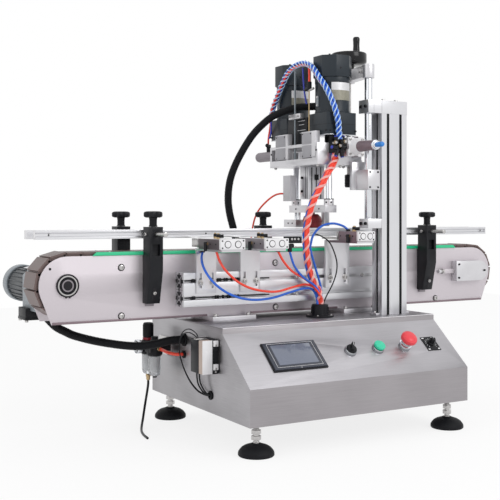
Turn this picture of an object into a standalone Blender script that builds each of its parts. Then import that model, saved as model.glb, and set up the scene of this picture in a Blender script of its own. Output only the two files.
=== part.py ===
"""Bottle capping machine: sheet-metal base, slat conveyor and a column-guided capping head.

Units are metres, +Z is up, +X runs along the conveyor and +Y points away from the operator.
The origin is on the floor, under the middle of the machine's overall box.
"""

import math

import bmesh
import bpy
from mathutils import Matrix, Vector

# General clearances and sheet
GAP = 0.0003
RUN = 0.0003
SINK = 0.001
SHEET_T = 0.002
# Cutting tools run OVERRUN past the face they cut; a blind bore ends BORE_SPARE beyond the piece in it
OVERRUN = 0.01
BORE_SPARE = 0.004
# Small chamfer on knobs and caps
CHAMFER = 0.002
FINE = 24
PLAIN = 16

# Base cabinet
BASE_LEFT = -0.2925
BASE_FRONT = -0.325
BASE_W = 0.614
BASE_D = 0.512
FLOOR_CLEAR = 0.069
FRONT_STRIP_H = 0.082
SLOPE_RUN = 0.1245
SLOPE_RISE = 0.1045
DECK_RIM_H = 0.014
FOOT_R = 0.040
FOOT_DOME_H = 0.026
FOOT_STUD_R = 0.006
FOOT_NUT_R = 0.0105
FOOT_NECK_H = 0.008
FOOT_NUT_T = 0.010
FOOT_NUT_GAP = 0.003
FOOT_INSET = 0.035

# Controls on the sloping panel, as places along X and up the slope
CONTROL_R = 0.015
CONTROL_RIM_H = 0.009
CONTROL_RIM_WALL = 0.004
CONTROL_STEM_IN = 0.012
HMI_X = -0.143
HMI_S = 0.081
HMI_W = 0.143
HMI_L = 0.083
HMI_T = 0.007
HMI_SCREEN_DEPTH = 0.0008
HMI_SCREEN_SHARE = 0.72
SELECTOR_X = 0.012
START_X = 0.0925
ESTOP_X = 0.173
CONTROL_S = 0.080
DIAL_X = 0.2585
DIAL_S = 0.083
DIAL_W = 0.040
DIAL_L = 0.044
DIAL_T = 0.0012
DIAL_KNOB_R = 0.008
DIAL_KNOB_H = 0.018
SELECTOR_KNOB_H = 0.012
SELECTOR_LEVER_W = 0.006
SELECTOR_TURN_DEG = -30
START_CAP_H = 0.006
START_CAP_R = CONTROL_R - 0.001
BUTTON_TRAVEL = 0.003
ESTOP_HEAD_R = 0.020
ESTOP_HEAD_H = 0.018
ESTOP_STEM_H = 0.014
ESTOP_TRAVEL = 0.004

# Services on the left side and on the deck
FRL_X = -0.040
FRL_BACK = 0.064
FRL_BODY_Z = 0.178
FRL_BODY_H = 0.032
FRL_BODY_W = 0.040
FRL_BODY_D = 0.040
FRL_BOWL_R = 0.016
FRL_BOWL_H = 0.055
FRL_BOWL_FOOT = 0.012
FRL_DRAIN_R = 0.005
FRL_DRAIN_H = 0.016
FRL_KNOB_R = 0.0135
FRL_KNOB_H = 0.036
FRL_COLLAR_H = 0.006
FRL_PLUG_H = 0.012
GAUGE_R = 0.018
GAUGE_T = 0.014
RELAY_Y = 0.1717
RELAY_Z = 0.165
RELAY_D = 0.060
RELAY_H = 0.077
RELAY_T = 0.042
RELAY_SOCKET_T = 0.0175
RELAY_SHY = 0.0005
GLAND_X = 0.0325
GLAND_Y = -0.108
GLAND_R = 0.021
GLAND_H = 0.031
GLAND_FLANGE_R = 0.035
GLAND_FLANGE_T = 0.004

# Conveyor
LANE_Y = 0.002
SHAFT_X = 0.600
CHAIN_TOP_UP = 0.1705
CHAIN_W = 0.0825
CHAIN_R = 0.074
CHAIN_T = 0.012
SLAT_COUNT = 74
SLAT_GROOVE = 0.004
SLAT_GAP = 0.0022
SIDE_PLATE_T = 0.003
SIDE_PLATE_R = 0.065
SIDE_PLATE_FOOT_X = 0.6355
FRAME_BAR_T = 0.010
FRAME_BAR_W = 0.119
FRAME_BAR_X = (-0.191, 0.191)
FRAME_BAR_FRONT = 0.030
BED_HALF = 0.525
BED_WALL = 0.004
BED_DEPTH = 0.095
PLATE_CLEAR = 0.00075
WEAR_STRIP_L = 1.078
WEAR_STRIP_X = -0.002
WEAR_STRIP_H = 0.008
WEAR_STRIP_W = 0.006
WEAR_STRIP_SLANT = 0.010
WEAR_STRIP_LIP = 0.0002
SHAFT_R = 0.010
BEARING_R = 0.026
BEARING_H = 0.004
SPROCKET_W = 0.040
HUB_R = 0.020
HUB_SHOULDER = 0.008
IDLER_STUB = 0.006
GEARBOX_W = 0.090
GEARBOX_H = 0.100
GEARBOX_L = 0.103
DRIVE_DROP = 0.015
DRIVE_MOTOR_R = 0.0444
DRIVE_MOTOR_L = 0.140
DRIVE_CAP_L = 0.0397
DRIVE_CAP_LIP = 0.0020
TERMINAL_BOX = (0.060, 0.060, 0.022)
TERMINAL_BOX_LEFT = 0.027
TERMINAL_BOX_BACK = 0.0677
TERMINAL_BOX_IN = 0.005
SHAFT_STUB = 0.045
TAKEUP_L = 0.1205
TAKEUP_H = 0.056
TAKEUP_T = 0.020
TAKEUP_X = 0.5205
ADJUST_R = 0.004
ADJUST_L = 0.0316
ADJUST_OUT = 0.0055
ADJUST_LUG_D = 0.010
ADJUST_LUG_H = 0.012
ADJUST_LUG_LAP = 0.003
ADJUST_HEAD_LIP = 0.0012
ADJUST_HEAD_T = 0.008
ADJUST_BEYOND = 0.010
TAKEUP_CHAMFER = 0.004
TAKEUP_POCKET_D = 0.007
TAKEUP_POCKET_RIM = 0.001

# Guide rails and their brackets
LANE_W = 0.056
RAIL_T = 0.012
RAIL_H = 0.020
RAIL_UP = 0.029
RAIL_LEFT = -0.672
RAIL_RIGHT = 0.657
RAIL_GROOVE = 0.003
RAIL_GROOVE_LIP = 0.005
RAIL_GROOVE_SLOPE = 0.002
RAIL_ROD_R = 0.005
RAIL_ROD_OUT = 0.050
BRACKET_W = 0.033
BRACKET_D = 0.038
BRACKET_STANDOFF = 0.0040
BRACKET_BELOW = 0.121
BRACKET_ABOVE = 0.056
BRACKET_TAPER = 0.018
BRACKET_SHOULDER = 0.045
BRACKET_STEP_DOWN = 0.0095
FRONT_BRACKET_X = (-0.4025, 0.4145)
REAR_BRACKET_X = (-0.4270, -0.0275, 0.4145)
WINDOW_W = 0.018
WINDOW_H = 0.026
WINDOW_D = 0.010
WINDOW_DROP = 0.040
KNOB_R = 0.023
KNOB_HEAD_H = 0.015
KNOB_HUB_R = 0.010
KNOB_HUB_H = 0.021
KNOB_STEM_R = 0.004
KNOB_LOBES = 6
KNOB_SCALLOP = 0.0025

# Column, guide rod and lift screw
COLUMN_LEFT = 0.1835
COLUMN_FRONT = -0.1635
COLUMN_W = 0.080
COLUMN_D = 0.040
COLUMN_H = 0.512
SLOT_MOUTH = 0.008
SLOT_LIP = 0.0045
SLOT_WIDE = 0.018
SLOT_DEPTH = 0.011
MODULE = 0.040
ROD_CLAMP_REACH = 0.042
TOP_BLOCK_H = 0.032
ROD_CLAMP_H = 0.024
ROD_CLAMP_UP = 0.2205
TOP_BLOCK_OVER = 0.001
TOP_BLOCK_PROUD = 0.0005
ROD_CLAMP_SHY = 0.001
GUIDE_ROD_R = 0.010
GUIDE_ROD_OUT = 0.027
ARM_CLEAR = 0.0562
ARM_H = 0.035
ARM_W = 0.030
ARM_BAR_SHARE = 0.84
ARM_BAR_SHY = 0.003
SCREW_X = 0.1715
SCREW_Y = -0.039
SCREW_R = 0.006
SCREW_END_UP = 0.3265
SCREW_STOP_R = 0.011
SCREW_STOP_H = 0.034
WHEEL_R = 0.0465
WHEEL_RISE = 0.010
WHEEL_H = 0.034
WHEEL_HUB_R = 0.014
WHEEL_WALL = 0.006
WHEEL_ROUND = 0.004
WHEEL_DISH = 0.010
STOP_CHAMFER = 0.002
GRIP_R = 0.0093
GRIP_H = 0.0485
GRIP_OFFSET = (0.0320, 0.0110)
GRIP_PIN_R = 0.004
GRIP_PIN_SHARE = 0.8
GRIP_WAIST = 0.006

# Carriage and capping head
HEAD_UP = 0.3805
CARRIAGE_DROP = 0.063
CARRIAGE_H = 0.050
CARRIAGE_W = 0.037
CARRIAGE_FRONT = -0.174
BACK_PLATE_T = 0.010
BACK_PLATE_W = 0.049
BACK_PLATE_RIGHT = 0.1695
HEAD_LEFT = 0.0225
HEAD_RIGHT = 0.1575
HEAD_PLATE_T = 0.017
UPRIGHT_T = 0.008
UPRIGHT_H = 0.030
SHELF_T = 0.008
HEAD_HALF_Y = 0.1145
CAP_X = 0.0825
MOTOR_OFFSET_Y = 0.093
MOTOR_W = 0.090
MOTOR_FOOT_R = 0.020
MOTOR_FOOT_H = 0.020
GEAR_CASE_H = 0.055
MOTOR_BODY_H = 0.090
MOTOR_BODY_R = 0.044
MOTOR_CAP_H = 0.054
MOTOR_CHAMFER = 0.026
GEAR_CASE_CHAMFER = 0.006
MOTOR_CAP_LIP = 0.001
EAR_W = 0.050
NUT_R = 0.013
NUT_H = 0.012
VALVE_BLOCK = (0.0135, 0.0622, 0.064)
VALVE_REAR_Y = 0.058
VALVE_FRONT_Y = -0.0714
VALVE_FOOT_H = 0.004
VALVE_FOOT_SHY = 0.002
FRONT_CYL_W = 0.045
FRONT_CYL_D = 0.036
FRONT_CYL_X = 0.1125
CYL_BARREL_R = 0.0135
CYL_BARREL_L = 0.104
REAR_BARREL_X = 0.044
REAR_BARREL_L = 0.100
REAR_BARREL_DROP = 0.010
CYL_AXIS_UP = 0.044
MANIFOLD = (0.020, 0.022, 0.030)
MANIFOLD_X = 0.0665

# Press unit and chuck
PRESS_BODY_X = 0.050
PRESS_BODY_Y = 0.040
PRESS_BODY_H = 0.085
PRESS_DROP = 0.101
PRESS_PLATE_T = 0.019
PRESS_PLATE_W = 0.034
PRESS_PLATE_HALF_Y = 0.0865
GUIDE_PIN_R = 0.008
GUIDE_PIN_HALF_Y = 0.077
GUIDE_PIN_TOP = 0.040
COLLAR_R = 0.013
COLLAR_H = 0.014
PISTON_R = 0.006
PISTON_IN = 0.050
LOWER_BLOCK = (0.038, 0.060, 0.020)
LOWER_BLOCK_DROP = 0.019
LOWER_BLOCK_CLEAR = 0.010
STUD_R = 0.004
STUD_END = 0.008
STUD_PITCH = 0.016
STOP_BAR = (0.018, 0.012)
STOP_BAR_X = 0.124
STOP_BAR_T = 0.008
STOP_BAR_RISE = 0.004
CHUCK_R = 0.025
CHUCK_H = 0.036
CHUCK_STEM_R = 0.007
CHUCK_STEM_H = 0.014
CHUCK_CUP_D = 0.015
CHUCK_CUP_R = 0.017
CHUCK_DROP = 0.004
CHUCK_EDGE = 0.004

# Bottle clamp stations on the cross beam
BEAM_LEFT = -0.3335
BEAM_RIGHT = 0.2675
BEAM_UP = 0.0385
STATION_X = (-0.2765, -0.1575, 0.0995)
STATION_PLATE_W = (0.052, 0.054, 0.074)
STATION_SHELF_UP = (0.1705, 0.1705, 0.1845)
STATION_CYL_W = (0.062, 0.062, 0.050)
STATION_CYL_FRONT = (-0.219, -0.213, -0.211)
STATION_CYL_L = (0.109, 0.108, 0.081)
STATION_CYL_H = 0.023
STATION_PLATE_T = 0.006
STATION_FOOT_UP = 0.0695
STATION_SLOT_W = 0.007
STATION_SLOT_L = 0.036
STATION_SLOT_RISE = 0.012
STATION_SLOT_SHARE = 0.3
STATION_SHELF_SHY = 0.004
CLAMP_ROD_R = 0.005
CLAMP_ROD_SPREAD = 0.30
CLAMP_ROD_IN = 0.060
CLAMP_PLATE_T = 0.008
CLAMP_PLATE_GAP = 0.006
CLAMP_PLATE_HALF_H = 0.010
CLAMP_PLATE_SHARE = 0.9
FINGER_CLEAR = 0.0015
FINGER_W = 0.020
FINGER_RISE = 0.0015
FINGER_BACK = 0.006

# Hoses: diameters, then routes as points chosen by eye
CONDUIT_R = 0.010
BUNDLE_R = 0.008
HOSE_STEP = 2.2
DRAIN_R = 0.003
CONDUIT_LEFT_ROUTE = [
    (-0.6120, 0.0846, 0.2888), (-0.6120, 0.0770, 0.2888), (-0.6070, 0.0635, 0.2790), (-0.5940, 0.0530, 0.2640),
    (-0.5730, 0.0510, 0.2520), (-0.5478, 0.0500, 0.2401), (-0.4936, 0.0350, 0.2247), (-0.4282, 0.0100, 0.2138),
    (-0.3808, 0.0000, 0.2140), (-0.3300, -0.0040, 0.2215), (-0.2929, -0.0040, 0.2215),
]
CONDUIT_HEAD_ROUTE = [
    (0.0825, -0.0458, 0.8065), (0.0825, -0.0290, 0.8065), (0.0690, -0.0030, 0.8067),
    (0.0403, 0.0150, 0.8041), (-0.0058, 0.0430, 0.7856), (-0.0336, 0.0650, 0.7598),
    (-0.0613, 0.0800, 0.7237), (-0.0890, 0.0950, 0.6678), (-0.1100, 0.1030, 0.6150),
    (-0.1134, 0.1050, 0.5864), (-0.1086, 0.1050, 0.5314), (-0.0967, 0.1050, 0.4893),
    (-0.0835, 0.1050, 0.4313), (-0.0700, 0.1050, 0.3600), (-0.0630, 0.1050, 0.3100),
    (-0.0630, 0.1050, 0.2699),
]
BUNDLE_ROUTE = [
    (0.0325, -0.1080, 0.3011), (0.0325, -0.1080, 0.3120), (0.0240, -0.1110, 0.3370), (0.0026, -0.1150, 0.3674),
    (-0.0140, -0.1200, 0.4175), (-0.0202, -0.1250, 0.4744), (-0.0170, -0.1290, 0.5137),
    (-0.0101, -0.1320, 0.5431), (0.0011, -0.1350, 0.5702), (0.0183, -0.1380, 0.5999),
    (0.0355, -0.1370, 0.6273), (0.0510, -0.1320, 0.6430), (0.0645, -0.1260, 0.6600),
    (0.0665, -0.1235, 0.6700), (0.0665, -0.1235, 0.6786),
]
DRAIN_ROUTE = [
    (-0.3325, 0.1230, 0.1066), (-0.3325, 0.1230, 0.0980), (-0.3360, 0.1210, 0.0800),
    (-0.3420, 0.1160, 0.0600), (-0.3510, 0.1050, 0.0380), (-0.3620, 0.0880, 0.0190),
    (-0.3740, 0.0670, 0.0080), (-0.3850, 0.0430, 0.0036), (-0.3940, 0.0180, 0.0033),
    (-0.4010, -0.0100, 0.0033), (-0.4050, -0.0400, 0.0033),
]

# Heights and places worked out from the sizes above
KNEE_Z = FLOOR_CLEAR + FRONT_STRIP_H
LIP_Z = KNEE_Z + SLOPE_RISE
DECK_Z = LIP_Z + DECK_RIM_H
BASE_RIGHT = BASE_LEFT + BASE_W
BASE_BACK = BASE_FRONT + BASE_D
LIP_Y = BASE_FRONT + SLOPE_RUN
SLOPE_ANGLE = math.atan2(SLOPE_RISE, SLOPE_RUN)
SLOPE_NORMAL = Vector((0.0, -math.sin(SLOPE_ANGLE), math.cos(SLOPE_ANGLE)))
SLOPE_TURN = Matrix.Rotation(SLOPE_ANGLE, 4, "X")
CHAIN_TOP = DECK_Z + CHAIN_TOP_UP
SHAFT_Z = CHAIN_TOP - CHAIN_R
CHAIN_FRONT = LANE_Y - CHAIN_W / 2
CHAIN_BACK = LANE_Y + CHAIN_W / 2
FRONT_IN = CHAIN_FRONT - PLATE_CLEAR
FRONT_OUT = FRONT_IN - SIDE_PLATE_T
REAR_IN = CHAIN_BACK + PLATE_CLEAR
REAR_OUT = REAR_IN + SIDE_PLATE_T
BAR_TOP = DECK_Z + GAP + FRAME_BAR_T
RAIL_Z = CHAIN_TOP + RAIL_UP
ROD_Z = RAIL_Z + RAIL_H / 2
FRONT_RAIL_Y = LANE_Y - LANE_W / 2 - RAIL_T
REAR_RAIL_Y = LANE_Y + LANE_W / 2
BRACKET_TOP = CHAIN_TOP + BRACKET_ABOVE
BRACKET_FOOT = CHAIN_TOP - BRACKET_BELOW
COLUMN_TOP = DECK_Z + GAP + COLUMN_H
GUIDE_X = COLUMN_LEFT - GUIDE_ROD_OUT
GUIDE_Y = COLUMN_FRONT + COLUMN_D / 2
ROD_CLAMP_Z = DECK_Z + ROD_CLAMP_UP
ARM_TOP = COLUMN_TOP + TOP_BLOCK_H + ARM_CLEAR + ARM_H
HEAD_Z = DECK_Z + HEAD_UP
HEAD_FRONT = LANE_Y - HEAD_HALF_Y
HEAD_BACK = LANE_Y + HEAD_HALF_Y
HEAD_TOP = HEAD_Z + HEAD_PLATE_T
SHELF_Z = HEAD_TOP + UPRIGHT_H
SHELF_TOP = SHELF_Z + SHELF_T
PRESS_TOP = HEAD_Z - PRESS_DROP
PRESS_Z = PRESS_TOP - PRESS_PLATE_T
BEAM_FRONT = FRONT_OUT - GAP - MODULE


def clear_scene():
    """Remove whatever the file opened with."""
    for obj in list(bpy.data.objects):
        bpy.data.objects.remove(obj, do_unlink=True)


def material(name, colour, roughness, metallic=0.0):
    """A Principled material with one plain colour."""
    mat = bpy.data.materials.new(name)
    mat.use_nodes = True
    shader = mat.node_tree.nodes["Principled BSDF"]
    shader.inputs["Base Color"].default_value = (*colour, 1.0)
    shader.inputs["Roughness"].default_value = roughness
    shader.inputs["Metallic"].default_value = metallic
    return mat


def add_mesh(name, bm):
    """Link a bmesh as an object, with its faces turned outwards."""
    bmesh.ops.recalc_face_normals(bm, faces=bm.faces)
    mesh = bpy.data.meshes.new(name)
    bm.to_mesh(mesh)
    bm.free()
    obj = bpy.data.objects.new(name, mesh)
    bpy.context.scene.collection.objects.link(obj)
    return obj


def block(x, y, z):
    """A box from three (low, high) pairs."""
    bm = bmesh.new()
    size = Vector((x[1] - x[0], y[1] - y[0], z[1] - z[0]))
    centre = Vector((x[0] + x[1], y[0] + y[1], z[0] + z[1])) / 2
    bmesh.ops.create_cube(bm, size=1.0)
    bmesh.ops.scale(bm, vec=size, verts=bm.verts)
    bmesh.ops.translate(bm, vec=centre, verts=bm.verts)
    return add_mesh("block", bm)


def slab(centre_xy, size_xy, z):
    """A box given by its middle in plan, its plan size and its (low, high) heights."""
    x0 = centre_xy[0] - size_xy[0] / 2
    y0 = centre_xy[1] - size_xy[1] / 2
    return block((x0, x0 + size_xy[0]), (y0, y0 + size_xy[1]), z)


def prism(points, axis, low, high):
    """Extrude a closed outline along an axis; the outline holds the other two coordinates in order."""
    def place(point, depth):
        values = list(point)
        values.insert("XYZ".index(axis), depth)
        return values

    bm = bmesh.new()
    ring = [bm.verts.new(place(p, low)) for p in points]
    face = bm.faces.new(ring)
    grown = bmesh.ops.extrude_face_region(bm, geom=[face])
    moved = [v for v in grown["geom"] if isinstance(v, bmesh.types.BMVert)]
    shift = Vector((0.0, 0.0, 0.0))
    shift["XYZ".index(axis)] = high - low
    bmesh.ops.translate(bm, vec=shift, verts=moved)
    return add_mesh("prism", bm)


def turned(profile, segments=FINE):
    """Revolve (radius, height) points about Z; a radius of zero closes the end at a point."""
    bm = bmesh.new()
    rings = []
    for radius, height in profile:
        if radius <= 0.0:
            rings.append([bm.verts.new((0.0, 0.0, height))])
            continue
        angles = [2 * math.pi * i / segments for i in range(segments)]
        rings.append([bm.verts.new((radius * math.cos(a), radius * math.sin(a), height)) for a in angles])
    for low, high in zip(rings, rings[1:]):
        join_rings(bm, low, high, segments)
    if len(rings[0]) > 1:
        bm.faces.new(rings[0])
    if len(rings[-1]) > 1:
        bm.faces.new(rings[-1])
    return add_mesh("turned", bm)


def join_rings(bm, low, high, segments):
    """Skin between two rings, either of which may be a single point."""
    for i in range(segments):
        j = (i + 1) % segments
        if len(low) == 1:
            bm.faces.new((low[0], high[i], high[j]))
        elif len(high) == 1:
            bm.faces.new((low[i], low[j], high[0]))
        else:
            bm.faces.new((low[i], low[j], high[j], high[i]))


def placed(obj, matrix):
    """Move a shape's mesh by a matrix."""
    obj.data.transform(matrix)
    if matrix.determinant() < 0:
        obj.data.flip_normals()
    return obj


def rod(axis, centre, radius, low, high, segments=PLAIN):
    """A cylinder along an axis; centre holds the other two coordinates in order."""
    shape = turned([(radius, low), (radius, high)], segments)
    if axis == "X":
        turn = Matrix(((0, 0, 1, 0), (1, 0, 0, centre[0]), (0, 1, 0, centre[1]), (0, 0, 0, 1)))
    elif axis == "Y":
        turn = Matrix(((0, 1, 0, centre[0]), (0, 0, 1, 0), (1, 0, 0, centre[1]), (0, 0, 0, 1)))
    else:
        turn = Matrix.Translation((centre[0], centre[1], 0.0))
    return placed(shape, turn)


def combine(name, mat, base, adds=(), cuts=(), origin=(0.0, 0.0, 0.0), smooth=True):
    """Join shapes to the base, cut shapes from it and name the result; helpers are removed."""
    for shapes, operation in ((adds, "UNION"), (cuts, "DIFFERENCE")):
        for shape in shapes:
            modifier = base.modifiers.new(operation.title(), "BOOLEAN")
            modifier.operation = operation
            modifier.solver = "EXACT"
            modifier.object = shape
            shape.hide_render = True
            shape.display_type = "WIRE"
    bpy.context.view_layer.update()
    graph = bpy.context.evaluated_depsgraph_get()
    mesh = bpy.data.meshes.new_from_object(base.evaluated_get(graph))
    base.modifiers.clear()
    base.data = mesh
    for shape in (*adds, *cuts):
        bpy.data.objects.remove(shape, do_unlink=True)
    base.name = name
    mesh.name = name
    mesh.materials.clear()
    mesh.materials.append(mat)
    mesh.transform(Matrix.Translation(-Vector(origin)))
    base.location = origin
    if smooth:
        mesh.shade_smooth()
        mesh.set_sharp_from_angle(angle=math.radians(35))
    return base


def on_slope(x, up_slope, lift=0.0):
    """The turn and place of a control on the sloping panel, with its own Z along the panel's normal."""
    along = Vector((0.0, math.cos(SLOPE_ANGLE), math.sin(SLOPE_ANGLE)))
    spot = Vector((x, BASE_FRONT, KNEE_Z)) + along * up_slope + SLOPE_NORMAL * lift
    return Matrix.Translation(spot) @ SLOPE_TURN


def control_cut(x, depth):
    """The round hole a control passes through, in panel sheet and rim alike."""
    return placed(turned([(CONTROL_R - CONTROL_RIM_WALL, -depth), (CONTROL_R - CONTROL_RIM_WALL, depth)]),
                  on_slope(x, CONTROL_S))


def side_outline(inset):
    """The cabinet's side view, drawn in by a wall thickness; the open top stays at the deck."""
    half_turn = inset * math.tan(SLOPE_ANGLE / 2)
    return [
        (BASE_FRONT + inset, FLOOR_CLEAR + inset),
        (BASE_BACK - inset, FLOOR_CLEAR + inset),
        (BASE_BACK - inset, DECK_Z - SHEET_T - GAP),
        (LIP_Y + inset, DECK_Z - SHEET_T - GAP),
        (LIP_Y + inset, LIP_Z - half_turn),
        (BASE_FRONT + inset, KNEE_Z - half_turn),
    ]


def build_cabinet(mats):
    """Folded cabinet with its sloping control panel, control rims and service holes."""
    shell = prism(side_outline(0.0), "X", BASE_LEFT, BASE_RIGHT)
    open_top = [(y, z + OVERRUN if z > LIP_Z else z) for y, z in side_outline(SHEET_T)]
    hollow = prism(open_top, "X", BASE_LEFT + SHEET_T, BASE_RIGHT - SHEET_T)
    rims = []
    for x in (SELECTOR_X, START_X, ESTOP_X):
        rim = turned([(CONTROL_R, -SHEET_T / 2), (CONTROL_R, CONTROL_RIM_H * 0.7),
                      (CONTROL_R - 0.0015, CONTROL_RIM_H)])
        rims.append(placed(rim, on_slope(x, CONTROL_S)))
    dial = block((-DIAL_W / 2, DIAL_W / 2), (-DIAL_L / 2, DIAL_L / 2), (-SHEET_T / 2, DIAL_T))
    rims.append(placed(dial, on_slope(DIAL_X, DIAL_S)))
    holes = [hollow]
    holes += [control_cut(x, CONTROL_RIM_H + SHEET_T * 2) for x in (SELECTOR_X, START_X, ESTOP_X)]
    knob_hole = turned([(DIAL_KNOB_R / 2, -OVERRUN), (DIAL_KNOB_R / 2, OVERRUN)], PLAIN)
    holes.append(placed(knob_hole, on_slope(DIAL_X, DIAL_S)))
    combine("cabinet_shell", mats["stainless"], shell, rims, holes)


def build_deck(mats):
    """Top tray: a flat sheet with a folded rim that stands on the cabinet's edges."""
    top = (DECK_Z - SHEET_T, DECK_Z)
    plate = block((BASE_LEFT, BASE_RIGHT), (LIP_Y, BASE_BACK), top)
    combine("top_deck", mats["stainless"], plate, smooth=False)


def foot_profile():
    """Outline of a levelling foot: dome, stud, lock nut and the nut under the cabinet."""
    nut_low = FOOT_DOME_H + FOOT_NECK_H
    nut_top = nut_low + FOOT_NUT_T
    return [
        (FOOT_R, 0.0), (FOOT_R * 0.93, FOOT_DOME_H * 0.45), (FOOT_R * 0.66, FOOT_DOME_H * 0.8),
        (FOOT_STUD_R, FOOT_DOME_H), (FOOT_STUD_R, nut_low), (FOOT_NUT_R, nut_low), (FOOT_NUT_R, nut_top),
        (FOOT_STUD_R, nut_top), (FOOT_STUD_R, nut_top + FOOT_NUT_GAP), (FOOT_NUT_R, nut_top + FOOT_NUT_GAP),
        (FOOT_NUT_R, FLOOR_CLEAR - GAP),
    ]


def build_feet(mats):
    """Four levelling feet, locked by their nuts."""
    rear = BASE_BACK - FOOT_INSET
    places = {
        "foot_front_left": (BASE_LEFT + FOOT_INSET, BASE_FRONT + FOOT_INSET),
        "foot_front_right": (BASE_RIGHT - FOOT_INSET, BASE_FRONT + FOOT_INSET),
        "foot_rear_left": (BASE_LEFT + FOOT_INSET, rear),
        "foot_rear_right": (BASE_RIGHT - FOOT_INSET, rear),
    }
    for name, (x, y) in places.items():
        foot = placed(turned(foot_profile(), 18), Matrix.Translation((x, y, 0.0)))
        combine(name, mats["black"], foot, origin=(x, y, 0.0))


def build_hmi(mats):
    """Touch panel: a bezel with chamfered edges lying on the slope."""
    panel = block((-HMI_W / 2, HMI_W / 2), (-HMI_L / 2, HMI_L / 2), (GAP, HMI_T))
    half_w = HMI_W * HMI_SCREEN_SHARE / 2
    half_l = HMI_L * HMI_SCREEN_SHARE / 2
    screen = block((-half_w, half_w), (-half_l, half_l), (HMI_T - HMI_SCREEN_DEPTH, HMI_T + OVERRUN))
    matrix = on_slope(HMI_X, HMI_S)
    placed(panel, matrix)
    placed(screen, matrix)
    combine("hmi_panel", mats["black"], panel, cuts=[screen], smooth=False)


def build_controls(mats):
    """Selector, start button, stop button and speed knob, each with a stem in its own hole."""
    stem_r = CONTROL_R - CONTROL_RIM_WALL - RUN
    face = CONTROL_RIM_H + GAP
    matrix = on_slope(SELECTOR_X, CONTROL_S)
    seat = matrix.translation.copy()
    knob = turned([(stem_r, -CONTROL_STEM_IN), (stem_r, face), (CONTROL_R - CHAMFER, face),
                   (CONTROL_R - CHAMFER, face + SELECTOR_KNOB_H * 0.4)], 24)
    lever = block((-SELECTOR_LEVER_W / 2, SELECTOR_LEVER_W / 2), (-CONTROL_R * 0.75, CONTROL_R * 0.95),
                  (face, face + SELECTOR_KNOB_H))
    lever.data.transform(Matrix.Rotation(math.radians(SELECTOR_TURN_DEG), 4, "Z"))
    combine("selector_knob", mats["black"], placed(knob, matrix), [placed(lever, matrix)], origin=seat)

    matrix = on_slope(START_X, CONTROL_S)
    sit = face + BUTTON_TRAVEL
    cap = turned([(stem_r, -CONTROL_STEM_IN), (stem_r, sit), (START_CAP_R, sit),
                  (START_CAP_R, sit + START_CAP_H - CHAMFER), (START_CAP_R - CHAMFER, sit + START_CAP_H)], 24)
    combine("start_button", mats["green"], placed(cap, matrix), origin=matrix.translation.copy())

    matrix = on_slope(ESTOP_X, CONTROL_S)
    sit = face + ESTOP_STEM_H
    head = turned([(stem_r, -CONTROL_STEM_IN), (stem_r, sit - ESTOP_TRAVEL), (ESTOP_HEAD_R * 0.8, sit),
                   (ESTOP_HEAD_R, sit + CHAMFER), (ESTOP_HEAD_R, sit + ESTOP_HEAD_H * 0.6),
                   (ESTOP_HEAD_R * 0.85, sit + ESTOP_HEAD_H * 0.9), (ESTOP_HEAD_R * 0.4, sit + ESTOP_HEAD_H)])
    combine("estop_head", mats["red"], placed(head, matrix), origin=matrix.translation.copy())

    matrix = on_slope(DIAL_X, DIAL_S)
    low = DIAL_T + GAP
    shaft_r = DIAL_KNOB_R / 2 - RUN
    knob = turned([(shaft_r, -CONTROL_STEM_IN), (shaft_r, low), (DIAL_KNOB_R, low),
                   (DIAL_KNOB_R, low + DIAL_KNOB_H * 0.7), (DIAL_KNOB_R * 0.85, low + DIAL_KNOB_H)], 24)
    combine("speed_knob", mats["black"], placed(knob, matrix), origin=matrix.translation.copy())


def build_deck_gland(mats):
    """Flanged bush that the hose bundle leaves the cabinet by."""
    low = DECK_Z + GAP
    shape = turned([(GLAND_FLANGE_R, low), (GLAND_FLANGE_R, low + GLAND_FLANGE_T),
                    (GLAND_R, low + GLAND_FLANGE_T), (GLAND_R, low + GLAND_H - CHAMFER),
                    (GLAND_R - CHAMFER, low + GLAND_H)])
    place = Matrix.Translation((GLAND_X, GLAND_Y, 0.0))
    combine("deck_gland", mats["black"], placed(shape, place), origin=(GLAND_X, GLAND_Y, low))


def frl_place():
    """Plan place of the air service unit's regulator column."""
    return (BASE_LEFT + FRL_X, BASE_BACK - FRL_BACK)


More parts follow.
